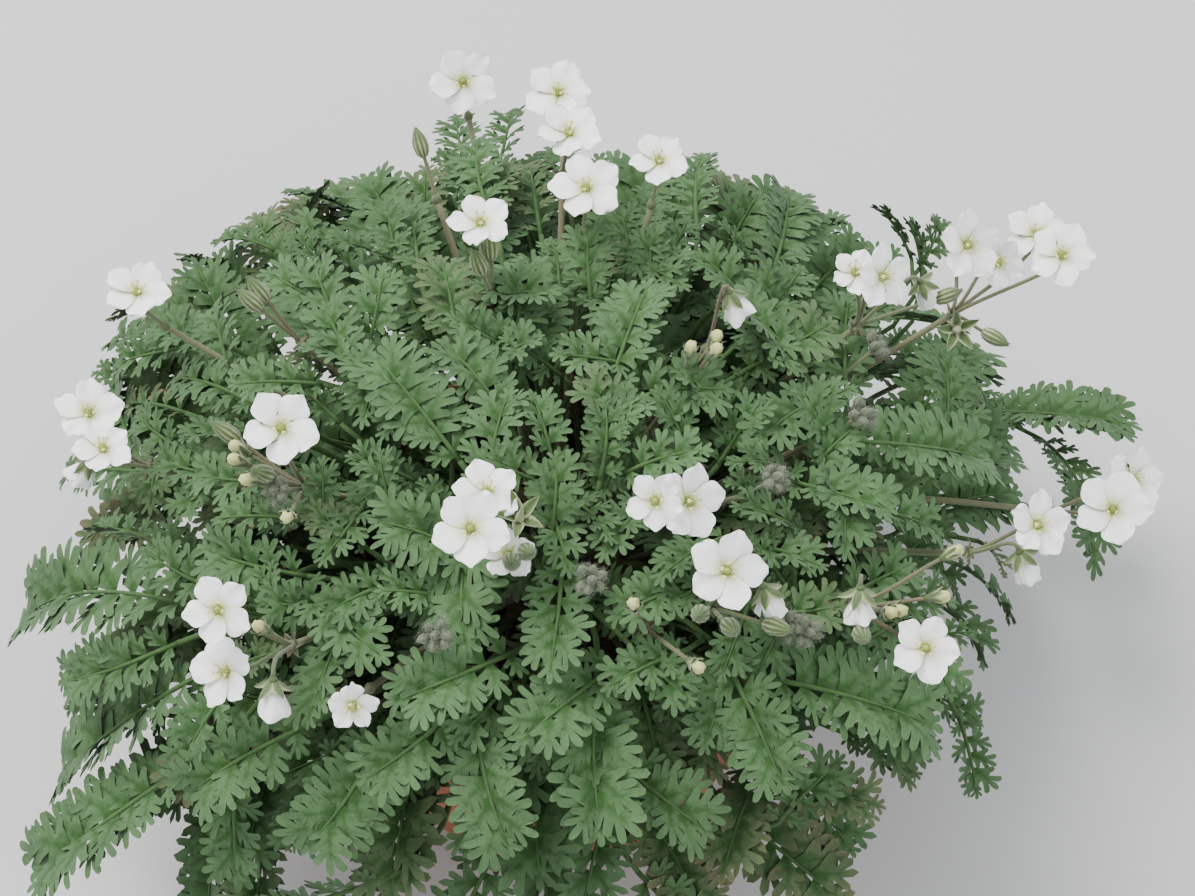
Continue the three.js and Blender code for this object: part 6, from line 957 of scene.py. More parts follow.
def add_leaf(bag, base, tip, normal, width, arch, layer, attach, stem_dir, rng):
    d = unit(tip - base)
    S = unit(np.cross(d, normal))
    U = np.cross(S, d)
    L = float(np.linalg.norm(tip - base))
    fine = layer not in ("u", "b") or rng.uniform() < 0.25
    sway = rng.uniform(-0.05, 0.05) * L
    droop = rng.uniform(0.0, 0.05) * L * (2.0 if layer in ("L", "") else 1.0)

    def centre(t):
        t = np.asarray(t, float)[..., None]
        return base + (tip - base) * t + U * (arch * 3.4 * t * (1 - t)) + S * (sway * np.sin(math.pi * t)) - U * (droop * np.clip(t - 0.55, 0, 1) ** 2 * 3)

    # tone by layer is painted shade: the top leaves (L) lighter, the lower and hidden ones (b, d, u) darker, plus a
    # random spread per leaf; it colours the blade, the rachis and the leaf stalk
    tone = {"L": 0.62, "": 0.50, "d": 0.36, "b": 0.46, "u": 0.30}[layer] + rng.uniform(-0.10, 0.10)
    brown = 0.0
    if layer in ("d", "u", "b") and rng.uniform() < 0.22:
        brown = rng.uniform(0.25, 0.9)
    elif rng.uniform() < 0.06:
        brown = rng.uniform(0.15, 0.5)
    # rachis
    end = 0.80
    ts = np.linspace(0, end + 0.1, 9)
    P = centre(ts)
    rad = np.interp(ts, [0, 0.5, end + 0.1], [0.78, 0.55, 0.24]) * (0.8 + 0.2 * min(L / 45, 1.2))
    ribc = np.array([0.2, tone, 0.0, 1.0])
    tube(bag, P + U * 0.10, rad, 6 if fine else 5, ribc)
    # leaf stalk
    gap = float(np.linalg.norm(base - attach))
    t0 = unit(centre(0.04) - centre(0.0))
    pts = bezier(attach, attach + unit(unit(base - attach) + stem_dir * 0.5 + np.array([0, 0, 0.25])) * gap * 0.34, base - t0 * gap * 0.33, base + U * 0.10, 8)
    cs = np.array([[0.2, tone, 0.35 * (1 - s) ** 2, 1.0] for s in np.linspace(0, 1, 8)])
    tube(bag, pts, np.linspace(1.05, 0.80, 8) * (0.85 + 0.15 * min(L / 45, 1.2)), 6 if fine else 5, cs)
    # segments in pairs
    n = int(np.clip(round(L / 6.9), 4, 9))
    half = width * 0.5 * 1.06
    env = lambda t: float(np.interp(t, [0, 0.10, 0.28, 0.5, 0.75, 0.95], [0.62, 0.82, 1.0, 0.98, 0.74, 0.42]))
    keel = rng.uniform(8, 24) * (1 if layer != "b" else 0.7)
    fold = rng.uniform(0.5, 1.1)
    for j in range(n):
        for s in (1, -1):
            off = 0.30 / n if s > 0 else 0.0
            t = 0.02 + (end - 0.02) * ((j + 0.15) / n) ** 0.94 + off * (end if j < n - 1 else 0.6) + rng.uniform(-0.008, 0.008)
            psi = math.radians(np.interp(t, [0, 0.35, 0.85], [74, 58, 34]) + rng.uniform(-5, 5))
            O = centre(t)
            dd = unit(centre(t + 0.03) - centre(t - 0.03))
            Ss = square_to(S, dd)
            Us = np.cross(Ss, dd)
            e = env(t) * rng.uniform(0.93, 1.07)
            length = half * e / math.sin(psi) * 1.0
            length = min(length, half * 1.28)
            kl = math.radians(keel + rng.uniform(-6, 6))
            side = Ss * s
            D = unit(dd * math.cos(psi) + (side * math.cos(kl) + Us * math.sin(kl)) * math.sin(psi))
            up = square_to(Us * math.cos(kl) - side * math.sin(kl), D)
            A = np.cross(up, D)
            # each segment is tipped about its own line, the edge that looks to the tip a little lower
            roll = math.radians(-s * rng.uniform(4, 16))
            up2 = up * math.cos(roll) + np.cross(D, up) * math.sin(roll)
            A = np.cross(up2, D)
            pairs = 3 if (length > 11.5 and fine) else 2 if length > 6.2 else 1
            if not fine:
                pairs = min(pairs, 2)
            bank = PINNAE[(pairs, fine)]
            pin = bank[int(rng.integers(len(bank)))]
            wd = rng.uniform(0.92, 1.12) * (0.93 if t < 0.3 else 1.03)
            add_pinna(bag, pin, O + side * 0.15, D, A, up2, length, wd, tone, brown * rng.uniform(0.4, 1.0), rng, fold * rng.uniform(0.6, 1.4), rng.uniform(0.4, 1.4))
    # the end segment
    O = centre(end)
    dd = unit(centre(end + 0.08) - centre(end - 0.02))
    Ss = square_to(S, dd)
    Us = np.cross(Ss, dd)
    length = (1 - end) * L * 1.04
    bank = PINNAE[(2, fine)]
    pin = bank[int(rng.integers(len(bank)))]
    add_pinna(bag, pin, O, dd, -Ss, Us, length, min(half * 1.1 / length, 1.3), tone, brown, rng, fold, 0.5)


# ------------------------------------------------------------------ flowers
def blade(bag, base, D, U, length, half, shape, rows, cols, colour, mat=0, cup=0.0, curl=0.0, wave=0.0, phase=0.0, thick=0.2, round_tip=0.12, notch=0.0):
    """A petal or sepal as one thin closed body. shape: pairs (share of the length, share of the half width)."""
    S = np.cross(D, U)
    t = np.linspace(0, 1, rows + 1)
    u = np.linspace(-1, 1, cols + 1)
    Tt, Uu = np.meshgrid(t, u, indexing="ij")
    f = np.interp(Tt, [p[0] for p in shape], [p[1] for p in shape])
    x = length * (Tt - round_tip * Uu ** 2 * Tt ** 3 - notch * np.exp(-(Uu / 0.28) ** 2) * Tt ** 6)
    y = half * f * Uu
    z = cup * length * (Uu ** 2) * f * 0.35 + curl * length * Tt ** 2
    z = z + wave * np.sin(Uu * 5.2 + phase) * Tt ** 2 + wave * 0.6 * np.sin(Tt * 9 + phase * 1.7 + Uu * 2) * Tt * np.abs(Uu)
    Q = base + x[..., None] * D + y[..., None] * S + z[..., None] * U
    n0, n1 = Q.shape[:2]
    idx = np.arange(n0 * n1).reshape(n0, n1)
    V = Q.reshape(-1, 3)
    inner = np.zeros((n0, n1), bool)
    inner[1:-1, 1:-1] = True
    low = idx.copy()
    k = int(inner.sum())
    low[inner] = len(V) + np.arange(k)
    V = np.vstack([V, V[idx[inner]] - U * thick])

    turn = np.zeros((n0 - 1, n1 - 1), bool)
    turn[-1, 0] = turn[0, -1] = True
    turn = turn.ravel()

    def faces(g):
        a, b, c, d = g[:-1, :-1].ravel(), g[1:, :-1].ravel(), g[1:, 1:].ravel(), g[:-1, 1:].ravel()
        return np.vstack([np.stack([a, b, np.where(turn, d, c)], 1), np.stack([np.where(turn, b, a), c, d], 1)])

    up, down = faces(idx), faces(low)[:, ::-1]
    F = np.vstack([up, down])
    # the upper faces look along U
    a, b, c = V[up[len(up) // 2]]
    if np.dot(np.cross(b - a, c - a), U) < 0:
        F = F[:, ::-1]
    ring = np.concatenate([idx[0, :], idx[1:, -1], idx[-1, -2::-1], idx[-2:0:-1, 0]])
    C = colour(Tt.ravel(), Uu.ravel())
    C = np.vstack([C, C[idx[inner]]])
    bag.add(V, F, C, mat, np.stack([ring, np.roll(ring, -1)], 1))


def rgba(*a):
    return np.array(a, float)


PETAL = [(0, 0.24), (0.12, 0.42), (0.26, 0.67), (0.42, 0.88), (0.58, 0.99), (0.70, 1.0), (0.82, 0.92), (0.92, 0.74), (1, 0.48)]
SEPAL = [(0, 0.45), (0.2, 0.85), (0.42, 1.0), (0.7, 0.72), (0.9, 0.30), (1, 0.05)]


def petal_tint(t, u):
    return np.stack([t, u * 0.5 + 0.5, np.full(len(t), 0.5), np.zeros(len(t))], 1)


def sepal_tint(tone, brown=0.0):
    def tint(t, u):
        pale = np.clip((np.abs(u) - 0.55) * 2.4, 0, 1) * (1 - 0.4 * t) + 0.25 * (np.cos(u * 14) > 0.55)
        return np.stack([np.clip(pale, 0, 1), np.full(len(t), tone), np.full(len(t), brown), np.zeros(len(t))], 1)
    return tint


def star(bag, centre, n, reach, half, count, opening, tint, rng, mat=0, turn=0.0, hair=True, curl=0.05, stalk_bag=None):
    """A ring of sepals round n; opening is the angle between a sepal and n, in degrees."""
    ref = square_to(np.array([0.13, 0.31, 0.94]), n)
    side = np.cross(n, ref)
    for i in range(count):
        a = turn + 2 * math.pi * i / count + rng.uniform(-0.08, 0.08)
        r = ref * math.cos(a) + side * math.sin(a)
        op = math.radians(opening + rng.uniform(-6, 6))
        D = unit(r * math.sin(op) + n * math.cos(op))
        U = unit(n * math.sin(op) - r * math.cos(op))
        blade(bag, centre + r * 0.5, D, U, reach * rng.uniform(0.92, 1.06), half, SEPAL, 5, 4, tint, mat, cup=0.5, curl=curl, thick=0.25, round_tip=0.0)
        if hair:
            k = 9
            t = rng.uniform(0.1, 0.95, k)
            P = centre + r * 0.5 + np.outer(t * reach, D) - U * 0.25 + np.outer(rng.uniform(-0.8, 0.8, k) * half * 0.7, np.cross(D, U))
            Dh = -U + rng.normal(0, 0.35, (k, 3)) + D * 0.3
            hairs(bag, P, Dh, rng.uniform(0.5, 0.95, k), 0.045, rgba(0.8, 0.7, 0, 1), mat)
    return


def open_flower(bloom, green, P, n, dia, rng, quality=True):
    n = unit(n)
    ref = square_to(np.array([0.13, 0.31, 0.94]), n)
    side = np.cross(n, ref)
    R = dia * 0.5
    turn = rng.uniform(0, 2 * math.pi)
    cupping = rng.uniform(0.02, 0.16)
    c0 = P - n * (1.3 + R * cupping * 0.5)
    for i in range(5):
        a = turn + 2 * math.pi * i / 5 + rng.uniform(-0.06, 0.06)
        r = ref * math.cos(a) + side * math.sin(a)
        op = math.radians(78 - cupping * 60 + rng.uniform(-5, 5))
        D = unit(r * math.sin(op) + n * math.cos(op))
        U = unit(n * math.sin(op) - r * math.cos(op))
        w = np.cross(D, U)
        roll = math.radians(rng.uniform(7, 15))
        U2 = U * math.cos(roll) + w * math.sin(roll)
        size = R * rng.uniform(0.96, 1.06)
        blade(bloom, c0 + r * 0.35, D, U2, size, size * rng.uniform(0.405, 0.455), PETAL, 10, 8, petal_tint, 0,
              cup=rng.uniform(-0.02, 0.12), curl=-rng.uniform(0.02, 0.16), wave=rng.uniform(0.28, 0.55), phase=rng.uniform(0, 6.28), thick=0.16, round_tip=rng.uniform(0.08, 0.15), notch=rng.uniform(-0.04, 0.035))
    # middle: ovary and stigmas, five long stamens with anthers, five short ones
    turned(bloom, c0, n, [-0.6, 0.2, 1.0, 1.9, 2.5], [0, 1.0, 0.95, 0.5, 0], 8, rgba(0.30, 0.5, 0, 0), 1)
    tube(bloom, [c0 + n * 1.6, c0 + n * 3.2], [0.32, 0.24], 5, rgba(0.35, 0.5, 0, 0), 1)
    for i in range(5):
        a = turn + 0.3 + 2 * math.pi * i / 5
        r = ref * math.cos(a) + side * math.sin(a)
        hairs(bloom, [c0 + n * 3.1], [r * 1.2 + n * 0.5], 1.0, 0.16, rgba(0.5, 0.5, 0, 0), 1)
    for i in range(10):
        a = turn + math.pi * i / 5 + 0.31
        r = ref * math.cos(a) + side * math.sin(a)
        long = i % 2 == 0
        b = c0 + r * 0.8 + n * 0.2
        e = c0 + r * (1.9 if long else 1.3) + n * (3.3 if long else 1.6) + rng.normal(0, 0.12, 3)
        tube(bloom, [b, (b + e) / 2 + r * 0.15, e], [0.20, 0.15, 0.11], 4, rgba(0.75, 0.5, 0, 0), 1)
        if long:
            ax = unit(side * math.cos(a) - ref * math.sin(a) + n * 0.4)
            turned(bloom, e + n * 0.1, ax, [-0.62, -0.4, 0.4, 0.62], [0, 0.34, 0.34, 0], 6, rgba(1.0, 0.5, 0, 0), 1)
    star(green, c0 - n * 1.9, n, R * 0.60, R * 0.16, 5, 68, sepal_tint(0.45), rng, 0, turn + math.pi / 5, quality)
    turned(green, c0 - n * 1.6, n, [-1.5, -1.0, 0.0, 1.2], [0, 0.9, 1.3, 0], 8, rgba(0.1, 0.5, 0.05, 0))
    return c0 - n * 2.9


def bud_tint(tone, stripes=5, brown=0.0):
    def tint(a, s):
        pale = 0.5 + 0.5 * np.cos(a * stripes * 2)
        fine = 0.5 + 0.5 * np.cos(a * stripes * 4 + 1.0)
        p = np.clip(pale ** 2 * 0.75 + fine * 0.12, 0, 1) * np.clip(1.25 - s, 0.35, 1)
        return np.stack([p, np.full(len(a), tone), np.full(len(a), brown), np.zeros(len(a))], 1)
    return tint


def skin_hairs(bag, centre, axis, zs, rs, count, length, rng, colour, mat=0, lean=0.25, radius=0.045):
    d = unit(axis)
    u = square_to(np.array([0.2, 0.9, 0.35]), d)
    w = np.cross(d, u)
    z = rng.uniform(zs[0], zs[-1], count)
    r = np.interp(z, zs, rs)
    a = rng.uniform(0, 2 * math.pi, count)
    out = np.outer(np.cos(a), u) + np.outer(np.sin(a), w)
    P = centre + np.outer(z, d) + out * (r * 0.97)[:, None]
    D = out + d * lean + rng.normal(0, 0.25, (count, 3))
    hairs(bag, P, D, rng.uniform(0.6, 1.0, count) * length, radius, colour, mat)


def striped_bud(green, P, d, rng, length=9.4, radius=2.35):
    d = unit(d)
    zs = np.array([-0.50, -0.46, -0.34, -0.14, 0.08, 0.26, 0.40, 0.47, 0.52]) * length
    rs = np.array([0, 0.42, 0.80, 1.0, 0.94, 0.70, 0.38, 0.16, 0]) * radius
    turned(green, P, d, zs, rs, 20, bud_tint(rng.uniform(0.40, 0.6)), 0, swell=lambda a, s: 1 + 0.05 * np.cos(a * 10) * (1 - s))
    for i in range(5):
        a = 2 * math.pi * i / 5
        u = square_to(np.array([0.2, 0.9, 0.35]), d)
        w = np.cross(d, u)
        r = u * math.cos(a) + w * math.sin(a)
        hairs(green, [P + d * length * 0.43 + r * radius * 0.2], [d + r * 0.25], 1.5, 0.16, rgba(0.2, 0.4, 0.4, 0))
    skin_hairs(green, P, d, zs, rs, 80, 0.95, rng, rgba(0.9, 0.75, 0, 1))
    return P - d * length * 0.5


def cream_bud(bloom, green, P, d, rng, length=6.6, radius=1.55):
    d = unit(d)
    zs = np.array([-0.42, -0.30, -0.05, 0.22, 0.40, 0.47, 0.50]) * length
    rs = np.array([0, 0.6, 0.90, 1.0, 0.86, 0.55, 0]) * radius
    col = lambda a, s: np.stack([np.full(len(a), 0.30) + 0.25 * s, 0.5 + 0.2 * np.cos(a * 5), np.full(len(a), 0.9), np.zeros(len(a))], 1)
    turned(bloom, P, d, zs, rs, 15, col, 0, swell=lambda a, s: 1 + 0.16 * np.cos(a * 5 + s * 4) + 0.07 * np.cos(a * 3 - s * 5))
    c = P - d * length * 0.45
    star(green, c, d, length * 0.74, radius * 0.74, 5, 19, sepal_tint(0.5), rng, 0, rng.uniform(0, 6), True, curl=-0.10)
    turned(green, c, d, [-0.8, -0.5, 0.3, 1.0], [0, 0.75, 1.15, 0], 8, rgba(0.1, 0.5, 0.05, 0))
    return c - d * 0.6


def furry_cluster(green, P, d, rng, size=4.6):
    d = unit(d)
    ref = square_to(np.array([0.13, 0.31, 0.94]), d)
    side = np.cross(d, ref)
    count = 7
    root = P - d * size * 0.85
    for i in range(count):
        if i == 0:
            o = np.zeros(3)
            ax = d
        else:
            a = 2 * math.pi * i / (count - 1) + rng.uniform(-0.3, 0.3)
            r = ref * math.cos(a) + side * math.sin(a)
            o = r * size * rng.uniform(0.50, 0.74) - d * rng.uniform(0, 1.8)
            ax = unit(d + r * rng.uniform(0.5, 1.0))
        c = P + o
        ln = rng.uniform(3.4, 4.6)
        rd = ln * 0.36
        zs = np.array([-0.5, -0.38, -0.1, 0.2, 0.42, 0.52]) * ln
        rs = np.array([0, 0.6, 1.0, 0.86, 0.4, 0]) * rd
        turned(green, c, ax, zs, rs, 10, lambda a, s: np.stack([0.25 + 0.25 * np.cos(a * 5), np.full(len(a), 0.18), np.full(len(a), 0.10), np.full(len(a), 0.45)], 1), 0)
        skin_hairs(green, c, ax, zs, rs, 62, 1.9, rng, rgba(0.8, 0.28, 0.0, 1), lean=0.5, radius=0.05)
        tube(green, [root, (root + c) / 2 - ax * 0.6, c - ax * ln * 0.45], [0.42, 0.36, 0.36], 5, rgba(0.2, 0.4, 0.25, 0.2))
    return root


def nodding(bloom, green, P, d, rng, length=12.0):
    """A flower that has begun to fade: half-closed petals, sepals bent back at its top."""
    d = unit(d)
    ref = square_to(np.array([0.13, 0.31, 0.94]), d)
    side = np.cross(d, ref)
    top = P - d * length * 0.42
    turn = rng.uniform(0, 6.28)
    for i in range(5):
        a = turn + 2 * math.pi * i / 5 + rng.uniform(-0.1, 0.1)
        r = ref * math.cos(a) + side * math.sin(a)
        op = math.radians(rng.uniform(12, 34))
        D = unit(r * math.sin(op) + d * math.cos(op))
        U = unit(d * math.sin(op) - r * math.cos(op))
        size = length * rng.uniform(0.72, 0.86)
        blade(bloom, top + r * 0.4 + d * 0.8, D, U, size, size * rng.uniform(0.30, 0.38), PETAL, 8, 6, petal_tint, 0,
              cup=rng.uniform(0.5, 0.9), curl=rng.uniform(-0.10, 0.10), wave=0.35, phase=rng.uniform(0, 6.28), thick=0.16, round_tip=0.08)
    turned(bloom, top + d * 1.2, d, [0, 1.0, 3.4, 4.8], [0, 0.9, 0.4, 0], 6, rgba(0.3, 0.5, 0, 0), 1)
    star(green, top, d, length * 0.50, length * 0.13, 5, rng.uniform(38, 60), sepal_tint(0.5), rng, 0, turn + 0.6, True)
    turned(green, top, d, [-1.0, -0.6, 0.3, 1.2], [0, 0.85, 1.25, 0], 8, rgba(0.1, 0.5, 0.05, 0))
    return top - d * 0.8


def spent_calyx(green, P, d, rng, size=8.0):
    d = unit(d)
    c = P - d * 2.5
    star(green, c, d, size * 0.95, size * 0.20, 5, 58, sepal_tint(0.62), rng, 0, rng.uniform(0, 6), True)
    turned(green, c, d, [-0.9, -0.4, 1.0, 2.6, 4.5, 7.5], [0, 0.9, 1.35, 1.0, 0.45, 0], 10, bud_tint(0.5, 5))
    skin_hairs(green, c, d, np.array([0, 1.0, 2.6, 4.5]), np.array([0.9, 1.35, 1.0, 0.45]), 40, 0.8, rng, rgba(0.9, 0.7, 0, 1))
    return c - d * 0.8


# ------------------------------------------------------------------ materials
def new_material(name):
    m = bpy.data.materials.new(name)
    m.use_nodes = True
    nt = m.node_tree
    nt.nodes.clear()
    out = nt.nodes.new("ShaderNodeOutputMaterial")
    bsdf = nt.nodes.new("ShaderNodeBsdfPrincipled")
    nt.links.new(bsdf.outputs["BSDF"], out.inputs["Surface"])
    return m, nt, bsdf


class Net:
    """Short names for the nodes of one material."""

    def __init__(self, name):
        self.m, self.nt, self.bsdf = new_material(name)
        tc = self.nt.nodes.new("ShaderNodeTexCoord")
        self.obj = tc.outputs["Object"]

    def link(self, a, b):
        self.nt.links.new(a, b)

    def attr(self, name="tint"):
        a = self.nt.nodes.new("ShaderNodeAttribute")
        a.attribute_name = name
        s = self.nt.nodes.new("ShaderNodeSeparateColor")
        self.link(a.outputs["Color"], s.inputs["Color"])
        return s.outputs["Red"], s.outputs["Green"], s.outputs["Blue"], a.outputs["Alpha"]

    def noise(self, scale, detail=3.0, rough=0.55, vector=None):
        n = self.nt.nodes.new("ShaderNodeTexNoise")
        n.inputs["Scale"].default_value = scale
        n.inputs["Detail"].default_value = detail
        n.inputs["Roughness"].default_value = rough
        self.link(vector if vector is not None else self.obj, n.inputs["Vector"])
        return n.outputs["Fac"]

    def math(self, op, a, b=None, c=None, clamp=False):
        n = self.nt.nodes.new("ShaderNodeMath")
        n.operation = op
        n.use_clamp = clamp
        for i, x in enumerate((a, b, c)):
            if x is None:
                continue
            if isinstance(x, (int, float)):
                n.inputs[i].default_value = x
            else:
                self.link(x, n.inputs[i])
        return n.outputs[0]

    def remap(self, x, a, b, c=0.0, d=1.0, smooth=True):
        n = self.nt.nodes.new("ShaderNodeMapRange")
        n.interpolation_type = "SMOOTHSTEP" if smooth else "LINEAR"
        self.link(x, n.inputs["Value"])
        for k, v in zip(("From Min", "From Max", "To Min", "To Max"), (a, b, c, d)):
            n.inputs[k].default_value = v
        return n.outputs["Result"]

    def mix(self, f, a, b, kind="MIX"):
        n = self.nt.nodes.new("ShaderNodeMix")
        n.data_type = "RGBA"
        n.blend_type = kind
        n.clamp_factor = True
        for x, s in ((f, n.inputs[0]), (a, n.inputs[6]), (b, n.inputs[7])):
            if isinstance(x, (int, float)):
                s.default_value = x
            elif isinstance(x, tuple):
                s.default_value = (*x, 1.0)
            else:
                self.link(x, s)
        return n.outputs[2]

    def scale(self, col, k):
        """colour times a number"""
        n = self.nt.nodes.new("ShaderNodeMix")
        n.data_type = "RGBA"
        n.blend_type = "MULTIPLY"
        n.inputs[0].default_value = 1.0
        self.link(col, n.inputs[6])
        c = self.nt.nodes.new("ShaderNodeCombineColor")
        for ch in ("Red", "Green", "Blue"):
            self.link(k, c.inputs[ch])
        self.link(c.outputs["Color"], n.inputs[7])
        return n.outputs[2]

    def bump(self, height, strength, distance):
        n = self.nt.nodes.new("ShaderNodeBump")
        n.inputs["Strength"].default_value = strength
        n.inputs["Distance"].default_value = distance
        self.link(height, n.inputs["Height"])
        self.link(n.outputs["Normal"], self.bsdf.inputs["Normal"])

    def color(self, col):
        self.link(col, self.bsdf.inputs["Base Color"])

    def set(self, **kw):
        for k, v in kw.items():
            self.bsdf.inputs[k.replace("_", " ")].default_value = v


def srgb(r, g, b):
    f = lambda c: (c / 255 / 12.92) if c / 255 <= 0.04045 else ((c / 255 + 0.055) / 1.055) ** 2.4
    return (f(r), f(g), f(b))


def leaf_material():
    n = Net("felted_leaf")
    v, tone, old, rib = n.attr()
    big = n.noise(90, 2)
    mid = n.noise(420, 3)
    felt = n.noise(2600, 2, 0.6)
    # darker green by the midribs and in the notches, partly the leaf's own colour and partly painted shade of the
    # folds; grey felt out on the lobes
    f = n.remap(n.math("ADD", v, n.math("MULTIPLY", n.math("SUBTRACT", mid, 0.5), 0.45)), 0.02, 0.50)
    col = n.mix(f, srgb(*LEAF_GREEN), srgb(*LEAF_GREY))
    col = n.mix(n.math("MULTIPLY", rib, 0.85), col, srgb(*LEAF_RIB))
    # each leaf's colour is scaled by its tone: painted shade from its layer in the mound, plus a random spread per leaf
    k = n.math("MULTIPLY_ADD", tone, 0.62, 0.66)
    k = n.math("MULTIPLY", k, n.remap(big, 0.3, 0.7, 0.90, 1.08))
    k = n.math("MULTIPLY", k, n.remap(mid, 0.25, 0.75, 0.88, 1.10))
    k = n.math("MULTIPLY", k, n.remap(felt, 0.25, 0.75, 0.90, 1.12))
    col = n.scale(col, k)
    col = n.mix(n.math("MULTIPLY", old, n.remap(mid, 0.3, 0.6, 0.5, 1.0)), col, srgb(106, 92, 70))
    n.color(col)
    n.link(n.remap(mid, 0.2, 0.8, 0.62, 0.82), n.bsdf.inputs["Roughness"])
    n.set(Sheen_Weight=0.08, Sheen_Roughness=0.5, Specular_IOR_Level=0.18)
    n.bsdf.inputs["Sheen Tint"].default_value = (0.86, 0.95, 0.86, 1)
    n.bump(n.math("ADD", n.math("MULTIPLY", felt, 0.6), n.noise(900, 3)), 0.35, 0.00025)
    return n.m


def petal_material():
    n = Net("white_petal")
    v, u, yellow, _ = n.attr()
    mid = n.noise(500, 3)
    soft = n.noise(160, 2)
    # faint lines run from the middle outwards
    lines = n.math("SINE", n.math("MULTIPLY", n.math("ADD", u, n.math("MULTIPLY", mid, 0.05)), 62.0))
    lines = n.math("MULTIPLY", n.remap(lines, 0.1, 1.0, 0.0, 1.0), n.remap(v, 0.10, 0.85, 1.0, 0.12))
    white = n.mix(n.remap(soft, 0.3, 0.7), srgb(250, 251, 248), srgb(243, 246, 240))
    col = n.mix(n.math("MULTIPLY", lines, 0.34), white, srgb(200, 211, 186))
    throat = n.remap(v, 0.08, 0.42, 1.0, 0.0)
    col = n.mix(n.math("MULTIPLY", throat, 0.85), col, srgb(194, 204, 132))
    # the very base of each petal is darker green: painted shade in the gaps between the petal claws
    col = n.mix(n.remap(v, 0.06, 0.15, 0.8, 0.0), col, srgb(118, 132, 62))
    cream = n.remap(yellow, 0.55, 0.9, 0.0, 1.0)
    col = n.mix(n.math("MULTIPLY", cream, 0.92), col, srgb(176, 181, 108))
    n.color(col)
    n.set(Roughness=0.55, Specular_IOR_Level=0.35, Sheen_Weight=0.12, Sheen_Roughness=0.4)
    n.bsdf.inputs["Subsurface Weight"].default_value = 0.12
    n.bsdf.inputs["Subsurface Radius"].default_value = (0.9, 1.0, 0.8)
    n.bsdf.inputs["Subsurface Scale"].default_value = 0.0012
    n.bump(n.math("ADD", n.math("MULTIPLY", lines, 0.5), mid), 0.25, 0.0003)
    return n.m


def stamen_material():
    n = Net("flower_middle")
    v, _, _, _ = n.attr()
    col = n.mix(n.remap(v, 0.35, 0.95), srgb(150, 168, 84), srgb(226, 218, 150))
    col = n.scale(col, n.remap(n.noise(1800, 2), 0.3, 0.7, 0.85, 1.1))
    n.color(col)
    n.set(Roughness=0.6, Specular_IOR_Level=0.3)
    n.bump(n.noise(3000, 2), 0.3, 0.0002)
    return n.m


def stalk_material():
    n = Net("hairy_stalk")
    pale, tone, red, hair = n.attr()
    mid = n.noise(500, 3)
    fine = n.noise(2400, 2)
    col = n.mix(n.remap(pale, 0.15, 0.85), srgb(88, 112, 62), srgb(196, 202, 156))
    col = n.mix(n.math("MULTIPLY", red, n.remap(mid, 0.3, 0.65, 0.55, 1.0)), col, srgb(122, 96, 74))
    col = n.mix(n.math("MULTIPLY", hair, 0.8), col, srgb(158, 164, 150))
    col = n.scale(col, n.math("MULTIPLY_ADD", tone, 0.6, 0.36))
    col = n.scale(col, n.remap(mid, 0.25, 0.75, 0.85, 1.12))
    n.color(col)
    n.set(Roughness=0.72, Specular_IOR_Level=0.28, Sheen_Weight=0.25, Sheen_Roughness=0.5)
    n.bump(n.math("ADD", mid, fine), 0.4, 0.0002)
    return n.m


def clay_material():
    n = Net("fired_clay")
    big = n.noise(14, 4, 0.6)
    mid = n.noise(70, 4, 0.6)
    grit = n.noise(1400, 3, 0.6)
    sep = n.nt.nodes.new("ShaderNodeSeparateXYZ")
    n.link(n.obj, sep.inputs[0])
    z = sep.outputs["Z"]
    # turning lines run round the wall
    wob = n.math("ADD", n.math("MULTIPLY", z, 1900.0), n.math("MULTIPLY", mid, 6.0))
    lines = n.math("SINE", wob)
    col = n.mix(n.remap(big, 0.35, 0.65), srgb(164, 104, 78), srgb(147, 90, 67))
    col = n.mix(n.remap(mid, 0.52, 0.75, 0.0, 0.55), col, srgb(186, 128, 98))
    # a chalky bloom low on the wall and in patches
    bloom = n.math("MULTIPLY", n.remap(n.noise(38, 5, 0.65), 0.50, 0.72), n.remap(z, 0.062, 0.0, 0.15, 0.85))
    col = n.mix(n.math("MULTIPLY", bloom, 0.55), col, srgb(192, 170, 150))
    # the damp rim is a little darker and greener at its inside
    damp = n.math("MULTIPLY", n.remap(z, 0.070, 0.079), n.remap(n.noise(55, 3), 0.45, 0.65))
    col = n.mix(n.math("MULTIPLY", damp, 0.30), col, srgb(120, 104, 72))
    col = n.scale(col, n.remap(grit, 0.3, 0.7, 0.92, 1.06))
    n.color(col)
    n.link(n.remap(mid, 0.3, 0.7, 0.78, 0.92), n.bsdf.inputs["Roughness"])
    n.set(Specular_IOR_Level=0.25)
    n.bump(n.math("ADD", n.math("MULTIPLY", grit, 0.8), n.math("ADD", n.math("MULTIPLY", lines, 0.10), mid)), 0.35, 0.0005)
    return n.m


def soil_material():
    n = Net("compost")
    big = n.noise(160, 4, 0.6)
    mid = n.noise(650, 4, 0.65)
    col = n.mix(n.remap(big, 0.35, 0.65), srgb(50, 38, 30), srgb(78, 60, 46))
    col = n.mix(n.remap(mid, 0.62, 0.74), col, srgb(120, 98, 74))
    n.color(col)
    n.set(Roughness=0.95, Specular_IOR_Level=0.15)
    n.bump(n.math("ADD", mid, n.math("MULTIPLY", big, 1.5)), 0.8, 0.0012)
    return n.m


